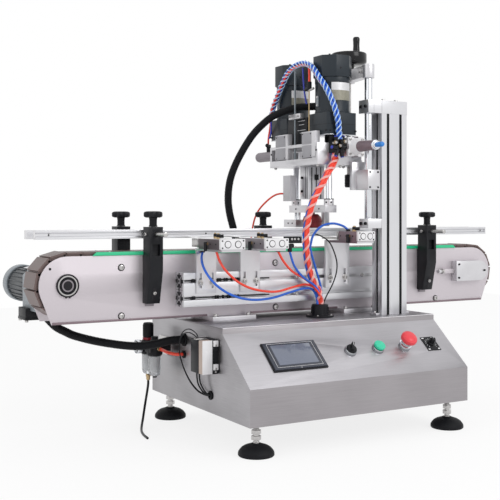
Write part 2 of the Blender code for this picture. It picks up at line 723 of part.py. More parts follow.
def build_air_service(mats):
    """Filter, regulator and lubricator on the left wall, with bowls, drain and gauge."""
    x, y = frl_place()
    z = FRL_BODY_Z
    front_y = y - FRL_BODY_D
    body = block((x - FRL_BODY_W / 2, BASE_LEFT - GAP), (front_y - FRL_BODY_D / 2, y + FRL_BODY_D / 2),
                 (z, z + FRL_BODY_H))
    adds = []
    for bowl_y in (y, front_y):
        low = z - FRL_BOWL_H
        bowl = turned([(FRL_BOWL_R * 0.45, low), (FRL_BOWL_R, low + FRL_BOWL_FOOT), (FRL_BOWL_R, z + SINK)], 24)
        adds.append(placed(bowl, Matrix.Translation((x, bowl_y, 0.0))))
    drain_low = z - FRL_BOWL_H - FRL_DRAIN_H
    adds.append(rod("Z", (x, y), FRL_DRAIN_R, drain_low, z - FRL_BOWL_H + SINK, 12))
    adds.append(rod("Z", (x, front_y), FRL_BODY_W * 0.3, z + FRL_BODY_H - SINK, z + FRL_BODY_H + FRL_PLUG_H))
    gauge_x = x - FRL_BODY_W / 2
    adds.append(rod("X", (y, z + FRL_BODY_H / 2), GAUGE_R, gauge_x - GAUGE_T, gauge_x + SINK, 24))
    adds.append(rod("Z", (x, y), FRL_KNOB_R * 0.8, z + FRL_BODY_H - SINK, z + FRL_BODY_H + FRL_COLLAR_H))
    combine("frl_unit", mats["black"], body, adds, origin=(x, y, z))
    low = z + FRL_BODY_H + FRL_COLLAR_H + GAP
    high = low + FRL_KNOB_H
    knob = turned([(FRL_KNOB_R, low), (FRL_KNOB_R, high - CHAMFER), (FRL_KNOB_R - CHAMFER, high)])
    placed(knob, Matrix.Translation((x, y, 0.0)))
    combine("regulator_knob", mats["black"], knob, origin=(x, y, low))


def build_relay_block(mats):
    """Sensor relay and its socket on the left wall."""
    y = BASE_FRONT + RELAY_Y
    back = y + RELAY_D / 2
    face = BASE_LEFT - RELAY_SOCKET_T
    top = RELAY_Z + RELAY_H
    socket = block((face, BASE_LEFT - GAP), (y - RELAY_D / 2, back), (RELAY_Z, top))
    relay = block((BASE_LEFT - RELAY_T, face + SINK), (y - RELAY_D / 2 + RELAY_SHY, back - RELAY_SHY),
                  (RELAY_Z + RELAY_SHY, top - RELAY_SHY))
    combine("relay_block", mats["black"], socket, [relay], smooth=False)


def plate_outline(foot_z):
    """Side view of a conveyor side plate: a stadium whose lower ends slant in to the bottom edge."""
    points = [(SIDE_PLATE_FOOT_X, foot_z), (-SIDE_PLATE_FOOT_X, foot_z)]
    end_angle = math.radians(20)
    steps = 14
    for side in (-1, 1):
        arc = []
        for i in range(steps + 1):
            a = math.pi / 2 + (math.pi / 2 + end_angle) * i / steps
            arc.append((side * (SHAFT_X - math.cos(a) * SIDE_PLATE_R), SHAFT_Z + math.sin(a) * SIDE_PLATE_R))
        points += reversed(arc) if side < 0 else arc
    return points


def shaft_hole(x, y0, y1, radius=SHAFT_R + RUN):
    """A cutter through a plate for a shaft."""
    return rod("Y", (x, SHAFT_Z), radius, y0, y1, FINE)


def build_side_plates(mats):
    """Front plate with its bearing housings and the two frame bars; rear plate standing on the bars."""
    front = prism(plate_outline(BAR_TOP), "Y", FRONT_OUT, FRONT_IN)
    adds = []
    for x in FRAME_BAR_X:
        sides = (x - FRAME_BAR_W / 2, x + FRAME_BAR_W / 2)
        adds.append(block(sides, (FRONT_OUT - FRAME_BAR_FRONT, REAR_OUT), (DECK_Z + GAP, BAR_TOP)))
        adds.append(block(sides, (FRONT_OUT, FRONT_IN), (BAR_TOP - SINK, BAR_TOP + SINK)))
    adds.append(shaft_hole(-SHAFT_X, FRONT_OUT - BEARING_H, FRONT_OUT + SINK, BEARING_R))
    adds.append(block((TAKEUP_X - ADJUST_L, TAKEUP_X + ADJUST_LUG_LAP),
                      (FRONT_OUT - ADJUST_LUG_D, FRONT_OUT + SINK),
                      (SHAFT_Z - ADJUST_LUG_H / 2, SHAFT_Z + ADJUST_LUG_H / 2)))
    cuts = [shaft_hole(x, FRONT_OUT - OVERRUN, FRONT_IN + OVERRUN) for x in (-SHAFT_X, SHAFT_X)]
    cuts.append(rod("X", (FRONT_OUT - ADJUST_OUT, SHAFT_Z), ADJUST_R + RUN, TAKEUP_X - ADJUST_L - OVERRUN,
                    TAKEUP_X + OVERRUN))
    combine("conveyor_front_plate", mats["plate"], front, adds, cuts)
    rear = prism(plate_outline(BAR_TOP + GAP), "Y", REAR_IN, REAR_OUT)
    cuts = [shaft_hole(x, REAR_IN - OVERRUN, REAR_OUT + OVERRUN) for x in (-SHAFT_X, SHAFT_X)]
    combine("conveyor_rear_plate", mats["plate"], rear, cuts=cuts)


def build_bed(mats):
    """Channel under the carrying run that ties the two plates and supports the slats."""
    top = CHAIN_TOP - CHAIN_T - GAP
    low = top - BED_DEPTH
    y0 = FRONT_IN + GAP
    y1 = REAR_IN - GAP
    ceiling = top - BED_WALL
    outline = [(y0, low), (y0, top), (y1, top), (y1, low), (y1 - BED_WALL, low), (y1 - BED_WALL, ceiling),
               (y0 + BED_WALL, ceiling), (y0 + BED_WALL, low)]
    combine("conveyor_bed", mats["plate"], prism(outline, "X", -BED_HALF, BED_HALF), smooth=False)


def stadium_point(distance, radius):
    """A point and outward normal on the chain's path, by distance along a stadium of that radius."""
    straight = 2 * SHAFT_X
    arc = math.pi * radius
    distance = distance % (2 * straight + 2 * arc)
    if distance < straight:
        return Vector((-SHAFT_X + distance, SHAFT_Z + radius)), Vector((0.0, 1.0))
    distance -= straight
    if distance < arc:
        a = math.pi / 2 - distance / radius
        normal = Vector((math.cos(a), math.sin(a)))
        return Vector((SHAFT_X, SHAFT_Z)) + normal * radius, normal
    distance -= arc
    if distance < straight:
        return Vector((SHAFT_X - distance, SHAFT_Z - radius)), Vector((0.0, -1.0))
    distance -= straight
    a = -math.pi / 2 - distance / radius
    normal = Vector((math.cos(a), math.sin(a)))
    return Vector((-SHAFT_X, SHAFT_Z)) + normal * radius, normal


def build_chain(mats):
    """Endless slat chain: one band whose outside has a groove between slats."""
    path_r = CHAIN_R - CHAIN_T / 2
    pitch = (4 * SHAFT_X + 2 * math.pi * path_r) / SLAT_COUNT
    bm = bmesh.new()
    stations = []
    for slat in range(SLAT_COUNT):
        for offset, drop in ((SLAT_GAP / 2, 0.0), (pitch - SLAT_GAP / 2, 0.0), (pitch, SLAT_GROOVE)):
            spot, normal = stadium_point(slat * pitch + offset, path_r)
            outer = spot + normal * (CHAIN_T / 2 - drop)
            inner = spot - normal * (CHAIN_T / 2)
            corners = [(inner, CHAIN_FRONT), (outer, CHAIN_FRONT), (outer, CHAIN_BACK), (inner, CHAIN_BACK)]
            stations.append([bm.verts.new((p.x, y, p.y)) for p, y in corners])
    for index in range(len(stations)):
        join_rings(bm, stations[index - 1], stations[index], 4)
    combine("slat_chain", mats["slat"], add_mesh("slat_chain", bm), smooth=False)


def build_shafts(mats):
    """Drive and idler shafts, each turned with its chain wheel."""
    path_r = CHAIN_R - CHAIN_T / 2
    half_link = (math.pi * path_r + 2 * SHAFT_X) / SLAT_COUNT / path_r
    wheel_r = (CHAIN_R - CHAIN_T) * math.cos(half_link) - 2 * GAP
    half = SPROCKET_W / 2
    ends = {
        "drive_shaft": (-SHAFT_X, FRONT_OUT - BEARING_H, REAR_OUT + SHAFT_STUB),
        "idler_shaft": (SHAFT_X, FRONT_OUT - IDLER_STUB, REAR_OUT + IDLER_STUB),
    }
    for name, (x, front, back) in ends.items():
        hub_front = LANE_Y - half - HUB_SHOULDER
        hub_back = LANE_Y + half + HUB_SHOULDER
        profile = [(SHAFT_R, front), (SHAFT_R, hub_front), (HUB_R, hub_front),
                   (HUB_R, LANE_Y - half), (wheel_r, LANE_Y - half), (wheel_r, LANE_Y + half),
                   (HUB_R, LANE_Y + half), (HUB_R, hub_back), (SHAFT_R, hub_back), (SHAFT_R, back)]
        turn = Matrix(((0, 1, 0, x), (0, 0, 1, 0), (1, 0, 0, SHAFT_Z), (0, 0, 0, 1)))
        combine(name, mats["steel"], placed(turned(profile), turn), origin=(x, LANE_Y, SHAFT_Z))


def build_wear_strips(mats):
    """Green strips along the top edges of the side plates, with sloping ends."""
    low = SHAFT_Z + SIDE_PLATE_R + GAP
    high = low + WEAR_STRIP_H
    x0 = WEAR_STRIP_X - WEAR_STRIP_L / 2
    x1 = WEAR_STRIP_X + WEAR_STRIP_L / 2
    outline = [(x0, low), (x1, low), (x1 - WEAR_STRIP_SLANT, high), (x0 + WEAR_STRIP_SLANT, high)]
    front = FRONT_IN + WEAR_STRIP_LIP
    rear = REAR_IN - WEAR_STRIP_LIP
    combine("wear_strip_front", mats["strip"],
            prism(outline, "Y", front - WEAR_STRIP_W, front), smooth=False)
    combine("wear_strip_rear", mats["strip"],
            prism(outline, "Y", rear, rear + WEAR_STRIP_W), smooth=False)


def build_drive_motor(mats):
    """Gearmotor flanged to the rear plate, with its terminal box below."""
    y0 = REAR_OUT + GAP
    y1 = y0 + GEARBOX_L
    y2 = y1 + DRIVE_MOTOR_L
    y3 = y2 + DRIVE_CAP_L
    half = GEARBOX_W / 2
    axis_z = SHAFT_Z - DRIVE_DROP
    box_low = axis_z - GEARBOX_H / 2
    taper = [(-SHAFT_X - half, box_low), (-SHAFT_X + half, box_low),
             (-SHAFT_X + half, axis_z + GEARBOX_H * 0.3), (-SHAFT_X + half * 0.5, axis_z + GEARBOX_H / 2),
             (-SHAFT_X - half * 0.5, axis_z + GEARBOX_H / 2), (-SHAFT_X - half, axis_z + GEARBOX_H * 0.3)]
    gearbox = prism(taper, "Y", y0, y1)
    motor = rod("Y", (-SHAFT_X, axis_z), DRIVE_MOTOR_R, y1 - SINK, y2 + SINK, FINE)
    cap = rod("Y", (-SHAFT_X, axis_z), DRIVE_MOTOR_R + DRIVE_CAP_LIP, y2, y3, FINE)
    terminal = slab((-SHAFT_X - TERMINAL_BOX_LEFT, y0 + TERMINAL_BOX_BACK), TERMINAL_BOX[:2],
                    (box_low - TERMINAL_BOX[2], box_low + TERMINAL_BOX_IN))
    bore = rod("Y", (-SHAFT_X, SHAFT_Z), SHAFT_R + RUN, y0 - OVERRUN, y0 + SHAFT_STUB + BORE_SPARE, FINE)
    combine("drive_gearmotor", mats["motor"], gearbox, [motor, cap, terminal], [bore])


def build_takeup(mats):
    """Cover of the belt take-up on the front plate, square at one end and round at the other."""
    y1 = FRONT_OUT - GAP
    radius = TAKEUP_H / 2
    centre_x = TAKEUP_X + TAKEUP_L - radius
    outline = [(TAKEUP_X + TAKEUP_CHAMFER, SHAFT_Z - radius), (centre_x, SHAFT_Z - radius)]
    steps = 10
    for i in range(1, steps):
        a = -math.pi / 2 + math.pi * i / steps
        outline.append((centre_x + radius * math.cos(a), SHAFT_Z + radius * math.sin(a)))
    outline += [(centre_x, SHAFT_Z + radius), (TAKEUP_X + TAKEUP_CHAMFER, SHAFT_Z + radius)]
    cover = prism(outline, "Y", y1 - TAKEUP_T, y1)
    centre = (FRONT_OUT - ADJUST_OUT, SHAFT_Z)
    head_x = TAKEUP_X - ADJUST_L - ADJUST_BEYOND
    screw = rod("X", centre, ADJUST_R, head_x - SINK, TAKEUP_X + TAKEUP_CHAMFER + SINK)
    head = rod("X", centre, ADJUST_R + ADJUST_HEAD_LIP, head_x - ADJUST_HEAD_T, head_x, 6)
    pocket = shaft_hole(SHAFT_X, y1 - TAKEUP_POCKET_D, y1 + OVERRUN, SHAFT_R + TAKEUP_POCKET_RIM)
    combine("takeup_cover", mats["aluminium"], cover, [screw, head], [pocket])


def build_rails(mats):
    """Two guide rails, each with the rods that its brackets hold."""
    bracket_front = FRONT_OUT - BRACKET_STANDOFF - BRACKET_D
    bracket_back = REAR_OUT + BRACKET_STANDOFF + BRACKET_D
    for name, y0, xs, rod_end in (
        ("rail_front", FRONT_RAIL_Y, FRONT_BRACKET_X, bracket_front - RAIL_ROD_OUT),
        ("rail_rear", REAR_RAIL_Y, REAR_BRACKET_X, bracket_back + RAIL_ROD_OUT),
    ):
        y1 = y0 + RAIL_T
        outer, inner = (y0, y1) if rod_end < y0 else (y1, y0)
        step = RAIL_GROOVE if rod_end < y0 else -RAIL_GROOVE
        low, high = RAIL_Z, RAIL_Z + RAIL_H
        lip = RAIL_GROOVE_LIP
        floor = RAIL_GROOVE_LIP + RAIL_GROOVE_SLOPE
        outline = [(inner, low), (inner, high), (outer, high), (outer, high - lip),
                   (outer + step, high - floor), (outer + step, low + floor), (outer, low + lip), (outer, low)]
        rail = prism(outline, "X", RAIL_LEFT, RAIL_RIGHT)
        middle = (y0 + y1) / 2
        rods = [rod("Y", (x, ROD_Z), RAIL_ROD_R, min(middle, rod_end), max(middle, rod_end), 16) for x in xs]
        combine(name, mats["aluminium"], rail, rods)


def bracket_outline(side):
    """Side view of a rail bracket: upright head, sloping lower front, foot against the plate."""
    plate = (FRONT_OUT - GAP) if side < 0 else (REAR_OUT + GAP)
    near = plate + side * (BRACKET_STANDOFF - GAP)
    far = near + side * BRACKET_D
    shoulder = BRACKET_TOP - BRACKET_ABOVE - BRACKET_STEP_DOWN
    return [(far, BRACKET_TOP), (far, BRACKET_FOOT + BRACKET_BELOW - BRACKET_SHOULDER),
            (far - side * BRACKET_TAPER, BRACKET_FOOT), (plate, BRACKET_FOOT), (plate, shoulder),
            (near, shoulder), (near, BRACKET_TOP)]


def build_brackets(mats):
    """Rail brackets with their star knobs; rods slide in the bores, knobs clamp them from above."""
    rows = [(x, -1, f"front_{i + 1}") for i, x in enumerate(FRONT_BRACKET_X)]
    rows += [(x, 1, f"rear_{i + 1}") for i, x in enumerate(REAR_BRACKET_X)]
    for x, side, place in rows:
        plate = FRONT_OUT if side < 0 else REAR_OUT
        far = plate + side * (BRACKET_STANDOFF + BRACKET_D)
        middle = plate + side * (BRACKET_STANDOFF + BRACKET_D / 2)
        body = prism(bracket_outline(side), "X", x - BRACKET_W / 2, x + BRACKET_W / 2)
        ends = sorted((plate - side * OVERRUN, far + side * OVERRUN))
        bore = rod("Y", (x, ROD_Z), RAIL_ROD_R + RUN, ends[0], ends[1], 16)
        stem_low = ROD_Z + RAIL_ROD_R + GAP
        stem = rod("Z", (x, middle), KNOB_STEM_R + RUN, ROD_Z, BRACKET_TOP + OVERRUN, 16)
        window_top = BRACKET_TOP - WINDOW_DROP
        depth = sorted((far + side * OVERRUN, far - side * WINDOW_D))
        window = block((x - WINDOW_W / 2, x + WINDOW_W / 2), depth, (window_top - WINDOW_H, window_top))
        combine(f"bracket_{place}", mats["black"], body, cuts=[bore, stem, window], smooth=False)
        build_star_knob(mats, f"star_knob_{place}", x, middle, stem_low)


def build_star_knob(mats, name, x, y, stem_low):
    """Lobed knob on a threaded stem."""
    low = BRACKET_TOP + GAP
    head_low = low + KNOB_HUB_H
    steps = KNOB_LOBES * 6
    outline = []
    for i in range(steps):
        a = 2 * math.pi * i / steps
        radius = KNOB_R - KNOB_SCALLOP + KNOB_SCALLOP * math.cos(KNOB_LOBES * a)
        outline.append((x + radius * math.cos(a), y + radius * math.sin(a)))
    head = prism(outline, "Z", head_low, head_low + KNOB_HEAD_H)
    hub = rod("Z", (x, y), KNOB_HUB_R, low, head_low + SINK, 16)
    stem = rod("Z", (x, y), KNOB_STEM_R, stem_low, low + SINK, 16)
    combine(name, mats["black"], head, [hub, stem], origin=(x, y, low))


def slot_points(centre, tangent, normal):
    """Eight outline points of a T slot, walking along the tangent; the normal points out of the profile."""
    half, wide = SLOT_MOUTH / 2, SLOT_WIDE / 2
    steps = [(-half, 0.0), (-half, -SLOT_LIP), (-wide, -SLOT_LIP), (-half, -SLOT_DEPTH),
             (half, -SLOT_DEPTH), (wide, -SLOT_LIP), (half, -SLOT_LIP), (half, 0.0)]
    return [centre + tangent * a + normal * b for a, b in steps]


def extrusion_outline(u0, v0, u_size, v_size):
    """Outline of a slotted extrusion with one slot for each module of width."""
    u1 = u0 + u_size
    v1 = v0 + v_size
    corners = [Vector((u0, v0)), Vector((u1, v0)), Vector((u1, v1)), Vector((u0, v1))]
    points = []
    for index, corner in enumerate(corners):
        far = corners[(index + 1) % 4]
        side = far - corner
        tangent = side.normalized()
        normal = Vector((tangent.y, -tangent.x))
        points.append(corner)
        count = round(side.length / MODULE)
        for slot in range(count):
            centre = corner + side * ((slot + 0.5) / count)
            points += slot_points(centre, tangent, normal)
    return [tuple(p) for p in points]


def build_column(mats):
    """Slotted column with its top block and the lower clamp, both bored for the guide rod."""
    low = DECK_Z + GAP
    column = prism(extrusion_outline(COLUMN_LEFT, COLUMN_FRONT, COLUMN_W, COLUMN_D), "Z", low, COLUMN_TOP)
    right = COLUMN_LEFT + COLUMN_W
    back = COLUMN_FRONT + COLUMN_D
    top = block((COLUMN_LEFT - ROD_CLAMP_REACH, right + TOP_BLOCK_OVER),
                (COLUMN_FRONT - TOP_BLOCK_PROUD, back + TOP_BLOCK_PROUD),
                (COLUMN_TOP - SINK, COLUMN_TOP + TOP_BLOCK_H))
    clamp = block((COLUMN_LEFT - ROD_CLAMP_REACH, COLUMN_LEFT + SINK),
                  (COLUMN_FRONT + ROD_CLAMP_SHY, back - ROD_CLAMP_SHY),
                  (ROD_CLAMP_Z, ROD_CLAMP_Z + ROD_CLAMP_H))
    bore = rod("Z", (GUIDE_X, GUIDE_Y), GUIDE_ROD_R + GAP, ROD_CLAMP_Z - OVERRUN,
               COLUMN_TOP + TOP_BLOCK_H + OVERRUN, FINE)
    combine("column", mats["aluminium"], column, [top, clamp], [bore], smooth=False)
    guide = rod("Z", (GUIDE_X, GUIDE_Y), GUIDE_ROD_R, ROD_CLAMP_Z, ARM_TOP, FINE)
    combine("guide_rod", mats["chrome"], guide)


def build_arm(mats):
    """Arm clamped on the guide rod that carries the lift screw."""
    angle = math.atan2(SCREW_Y - GUIDE_Y, SCREW_X - GUIDE_X)
    length = math.hypot(SCREW_Y - GUIDE_Y, SCREW_X - GUIDE_X)
    low = ARM_TOP - ARM_H
    half = ARM_W * ARM_BAR_SHARE / 2
    bar = block((0.0, length), (-half, half), (low + ARM_BAR_SHY, ARM_TOP - ARM_BAR_SHY))
    placed(bar, Matrix.Translation((GUIDE_X, GUIDE_Y, 0.0)) @ Matrix.Rotation(angle, 4, "Z"))
    centres = ((GUIDE_X, GUIDE_Y), (SCREW_X, SCREW_Y))
    bosses = [rod("Z", centre, ARM_W / 2, low, ARM_TOP, FINE) for centre in centres]
    cuts = [rod("Z", (GUIDE_X, GUIDE_Y), GUIDE_ROD_R + GAP, low - OVERRUN, ARM_TOP + OVERRUN, FINE),
            rod("Z", (SCREW_X, SCREW_Y), SCREW_R + RUN, low - OVERRUN, ARM_TOP + OVERRUN, PLAIN)]
    combine("lift_arm", mats["aluminium"], bar, bosses, cuts)


def build_handwheel(mats):
    """Dished handwheel on the lift screw, with its free-turning grip."""
    rise = ARM_TOP + GAP
    low = rise + WHEEL_RISE
    high = low + WHEEL_H
    screw_low = DECK_Z + SCREW_END_UP
    inner = WHEEL_R - WHEEL_WALL
    profile = [(SCREW_STOP_R - STOP_CHAMFER, screw_low), (SCREW_STOP_R, screw_low + STOP_CHAMFER),
               (SCREW_STOP_R, screw_low + SCREW_STOP_H), (SCREW_R, screw_low + SCREW_STOP_H), (SCREW_R, rise),
               (WHEEL_HUB_R, rise), (WHEEL_HUB_R, low), (WHEEL_R - WHEEL_ROUND, low + WHEEL_ROUND),
               (WHEEL_R, low + 2 * WHEEL_ROUND), (WHEEL_R, high - WHEEL_ROUND), (WHEEL_R - WHEEL_ROUND, high),
               (inner, high), (inner, low + WHEEL_WALL + WHEEL_ROUND), (WHEEL_HUB_R, low + WHEEL_WALL),
               (WHEEL_HUB_R - STOP_CHAMFER, high - WHEEL_DISH)]
    grip_x = SCREW_X + GRIP_OFFSET[0]
    grip_y = SCREW_Y + GRIP_OFFSET[1]
    wheel = placed(turned(profile, 32), Matrix.Translation((SCREW_X, SCREW_Y, 0.0)))
    boss_top = high
    boss = rod("Z", (grip_x, grip_y), GRIP_R, low + WHEEL_WALL - SINK, boss_top)
    pin = rod("Z", (grip_x, grip_y), GRIP_PIN_R, boss_top - SINK, boss_top + GRIP_H * GRIP_PIN_SHARE, 16)
    combine("handwheel", mats["black"], wheel, [boss, pin], origin=(SCREW_X, SCREW_Y, rise))
    base = boss_top + GAP
    hole_r = GRIP_PIN_R + RUN
    hole_top = boss_top + GRIP_H * GRIP_PIN_SHARE + GAP
    shape = turned([(GRIP_R * 0.75, base), (GRIP_R, base + GRIP_WAIST),
                    (GRIP_R, base + GRIP_H * GRIP_PIN_SHARE), (GRIP_R * 0.8, base + GRIP_H)])
    hole = turned([(hole_r, base - OVERRUN), (hole_r, hole_top)], 16)
    place = Matrix.Translation((grip_x, grip_y, 0.0))
    combine("handwheel_grip", mats["black"], placed(shape, place), cuts=[placed(hole, place)],
            origin=(grip_x, grip_y, base))


def build_carriage(mats):
    """Slide block on the guide rod with the plate that carries the head."""
    z0 = HEAD_Z - CARRIAGE_DROP
    back = HEAD_FRONT - GAP
    front = back - BACK_PLATE_T
    body = block((BACK_PLATE_RIGHT - CARRIAGE_W, BACK_PLATE_RIGHT), (CARRIAGE_FRONT, front + SINK),
                 (z0, z0 + CARRIAGE_H))
    plate = block((BACK_PLATE_RIGHT - BACK_PLATE_W, BACK_PLATE_RIGHT), (front, back),
                  (z0, HEAD_Z + HEAD_PLATE_T / 2))
    bore = rod("Z", (GUIDE_X, GUIDE_Y), GUIDE_ROD_R + RUN, z0 - OVERRUN, z0 + CARRIAGE_H + OVERRUN, FINE)
    combine("carriage", mats["aluminium"], body, [plate], [bore], smooth=False)


def build_head_frame(mats):
    """Head casing: base plate, two uprights and the motor shelf, with valves, cylinders and manifold."""
    x = (HEAD_LEFT, HEAD_RIGHT)
    base = block(x, (HEAD_FRONT, HEAD_BACK), (HEAD_Z, HEAD_TOP))
    adds = [
        block((HEAD_RIGHT - SINK, SCREW_X + EAR_W / 2), (SCREW_Y - EAR_W / 2, SCREW_Y + EAR_W / 2),
              (HEAD_Z, HEAD_TOP)),
        block(x, (HEAD_FRONT, HEAD_FRONT + UPRIGHT_T), (HEAD_TOP - SINK, SHELF_TOP)),
        block(x, (HEAD_BACK - UPRIGHT_T, HEAD_BACK), (HEAD_TOP - SINK, SHELF_TOP)),
        block(x, (HEAD_FRONT + SINK, HEAD_BACK - SINK), (SHELF_Z, SHELF_TOP)),
        rod("Z", (SCREW_X, SCREW_Y), NUT_R, HEAD_TOP - SINK, HEAD_TOP + NUT_H, 6),
    ]
    for y in (VALVE_REAR_Y, VALVE_FRONT_Y):
        width, depth, height = VALVE_BLOCK
        half = depth / 2
        foot = half - VALVE_FOOT_SHY
        low = HEAD_TOP + VALVE_FOOT_H
        adds.append(block((HEAD_LEFT, HEAD_LEFT + width), (y - half, y + half), (low, low + height)))
        adds.append(block((HEAD_LEFT + VALVE_FOOT_SHY, HEAD_LEFT + width - VALVE_FOOT_SHY), (y - foot, y + foot),
                          (HEAD_TOP - SINK, low + SINK)))
    axis_z = HEAD_Z + CYL_AXIS_UP
    half = FRONT_CYL_W / 2
    cyl_front = HEAD_FRONT - FRONT_CYL_D
    adds.append(block((FRONT_CYL_X - half, FRONT_CYL_X + half), (cyl_front, HEAD_FRONT + SINK),
                      (axis_z - half, axis_z + half)))
    nose = cyl_front - CYL_BARREL_L
    adds.append(rod("Y", (FRONT_CYL_X, axis_z), CYL_BARREL_R, nose, cyl_front + SINK, FINE))
    rear_z = axis_z - REAR_BARREL_DROP
    end = HEAD_BACK + REAR_BARREL_L
    adds.append(rod("Y", (REAR_BARREL_X, rear_z), CYL_BARREL_R, HEAD_BACK - SINK, end, FINE))
    width, depth, height = MANIFOLD
    adds.append(block((MANIFOLD_X - width / 2, MANIFOLD_X + width / 2),
                      (HEAD_FRONT - depth, HEAD_FRONT + SINK), (axis_z - height / 2, axis_z + height / 2)))
    cuts = []
    for side in (-1, 1):
        centre = (CAP_X, LANE_Y + side * GUIDE_PIN_HALF_Y)
        cuts.append(rod("Z", centre, GUIDE_PIN_R + RUN, HEAD_Z - OVERRUN, HEAD_TOP + OVERRUN))
    cuts.append(rod("Z", (SCREW_X, SCREW_Y), SCREW_R + RUN, HEAD_Z - OVERRUN, HEAD_TOP + NUT_H + OVERRUN))
    combine("head_frame", mats["aluminium"], base, adds, cuts)


def chamfered_square(x, y, width, chamfer):
    """Plan outline of a square with cut corners."""
    half = width / 2
    inner = half - chamfer
    return [(x + u, y + v) for u, v in ((-inner, -half), (inner, -half), (half, -inner), (half, inner),
                                        (inner, half), (-inner, half), (-half, inner), (-half, -inner))]


def build_motors(mats):
    """Two upright gearmotors on the shelf: foot, gear case, round body and cut-corner cap."""
    for name, side in (("capping_motor_front", -1), ("capping_motor_rear", 1)):
        y = LANE_Y + side * MOTOR_OFFSET_Y
        z0 = SHELF_TOP + GAP
        z1 = z0 + MOTOR_FOOT_H
        z2 = z1 + GEAR_CASE_H
        z3 = z2 + MOTOR_BODY_H
        z4 = z3 + MOTOR_CAP_H
        case = prism(chamfered_square(CAP_X, y, MOTOR_W, GEAR_CASE_CHAMFER), "Z", z1, z2)
        adds = [rod("Z", (CAP_X, y), MOTOR_FOOT_R, z0, z1 + SINK, FINE),
                rod("Z", (CAP_X, y), MOTOR_BODY_R, z2 - SINK, z3 + SINK, FINE),
                prism(chamfered_square(CAP_X, y, MOTOR_W + MOTOR_CAP_LIP, MOTOR_CHAMFER), "Z", z3, z4)]
        combine(name, mats["motor"], case, adds)


def build_press(mats):
    """Press cylinder, and the press plate with its guide pins, piston rod, lower block and stop bar."""
    body_low = HEAD_Z - GAP - PRESS_BODY_H
    body = slab((CAP_X, LANE_Y), (PRESS_BODY_X, PRESS_BODY_Y), (body_low, HEAD_Z - GAP))
    bore = rod("Z", (CAP_X, LANE_Y), PISTON_R + RUN, body_low - OVERRUN, body_low + PISTON_IN + BORE_SPARE)
    combine("press_cylinder", mats["aluminium"], body, cuts=[bore])

    plate = slab((CAP_X, LANE_Y), (PRESS_PLATE_W, 2 * PRESS_PLATE_HALF_Y), (PRESS_Z, PRESS_TOP))
    adds = []
    for side in (-1, 1):
        centre = (CAP_X, LANE_Y + side * GUIDE_PIN_HALF_Y)
        adds.append(rod("Z", centre, GUIDE_PIN_R, PRESS_TOP - SINK, HEAD_Z + GUIDE_PIN_TOP))
        adds.append(rod("Z", centre, COLLAR_R, PRESS_TOP - SINK, PRESS_TOP + COLLAR_H))
    adds.append(rod("Z", (CAP_X, LANE_Y), PISTON_R, PRESS_TOP - SINK, body_low + PISTON_IN))
    width, depth, height = LOWER_BLOCK
    block_y = REAR_RAIL_Y + RAIL_T + LOWER_BLOCK_CLEAR + depth / 2
    block_top = PRESS_Z - LOWER_BLOCK_DROP
    adds.append(slab((CAP_X, block_y), (width, depth), (block_top - height, block_top)))
    stud_y = LANE_Y + PRESS_PLATE_HALF_Y - STUD_END
    for y in (stud_y, stud_y - STUD_PITCH):
        adds.append(rod("Z", (CAP_X, y), STUD_R, block_top - SINK, PRESS_Z + SINK, 12))
    bar_w, bar_d = STOP_BAR
    bar_low = PRESS_Z + STOP_BAR_RISE
    bar_top = bar_low + STOP_BAR_T
    adds.append(slab((STOP_BAR_X - bar_w / 2, LANE_Y), (2 * bar_w, bar_d), (bar_low, bar_top)))
    adds.append(slab((STOP_BAR_X, LANE_Y), (bar_w, bar_d), (PRESS_Z - CHUCK_H, bar_top)))
    stem = rod("Z", (CAP_X, LANE_Y), CHUCK_STEM_R + RUN, PRESS_Z - OVERRUN, PRESS_Z + CHUCK_STEM_H + GAP)
    combine("press_plate", mats["aluminium"], plate, adds, [stem])

    top = PRESS_Z - CHUCK_DROP
    low = top - CHUCK_H
    profile = [(CHUCK_CUP_R, low), (CHUCK_R - SINK, low), (CHUCK_R, low + CHUCK_EDGE),
               (CHUCK_R, low + CHUCK_H * 0.55), (CHUCK_R * 0.9, low + CHUCK_H * 0.8), (CHUCK_R * 0.6, top),
               (CHUCK_STEM_R, top), (CHUCK_STEM_R, PRESS_Z + CHUCK_STEM_H), (0.0, PRESS_Z + CHUCK_STEM_H)]
    cup = [(0.0, low + CHUCK_CUP_D), (CHUCK_CUP_R * 0.8, low + CHUCK_CUP_D)]
    chuck = turned(cup + profile)
    place = Matrix.Translation((CAP_X, LANE_Y, 0.0))
    combine("chuck", mats["chuck"], placed(chuck, place), origin=(CAP_X, LANE_Y, top))


def build_beam(mats):
    """Cross beam bolted along the conveyor's front plate."""
    z = DECK_Z + BEAM_UP
    outline = extrusion_outline(BEAM_FRONT, z, MODULE, 2 * MODULE)
    combine("cross_beam", mats["aluminium"], prism(outline, "X", BEAM_LEFT, BEAM_RIGHT), smooth=False)


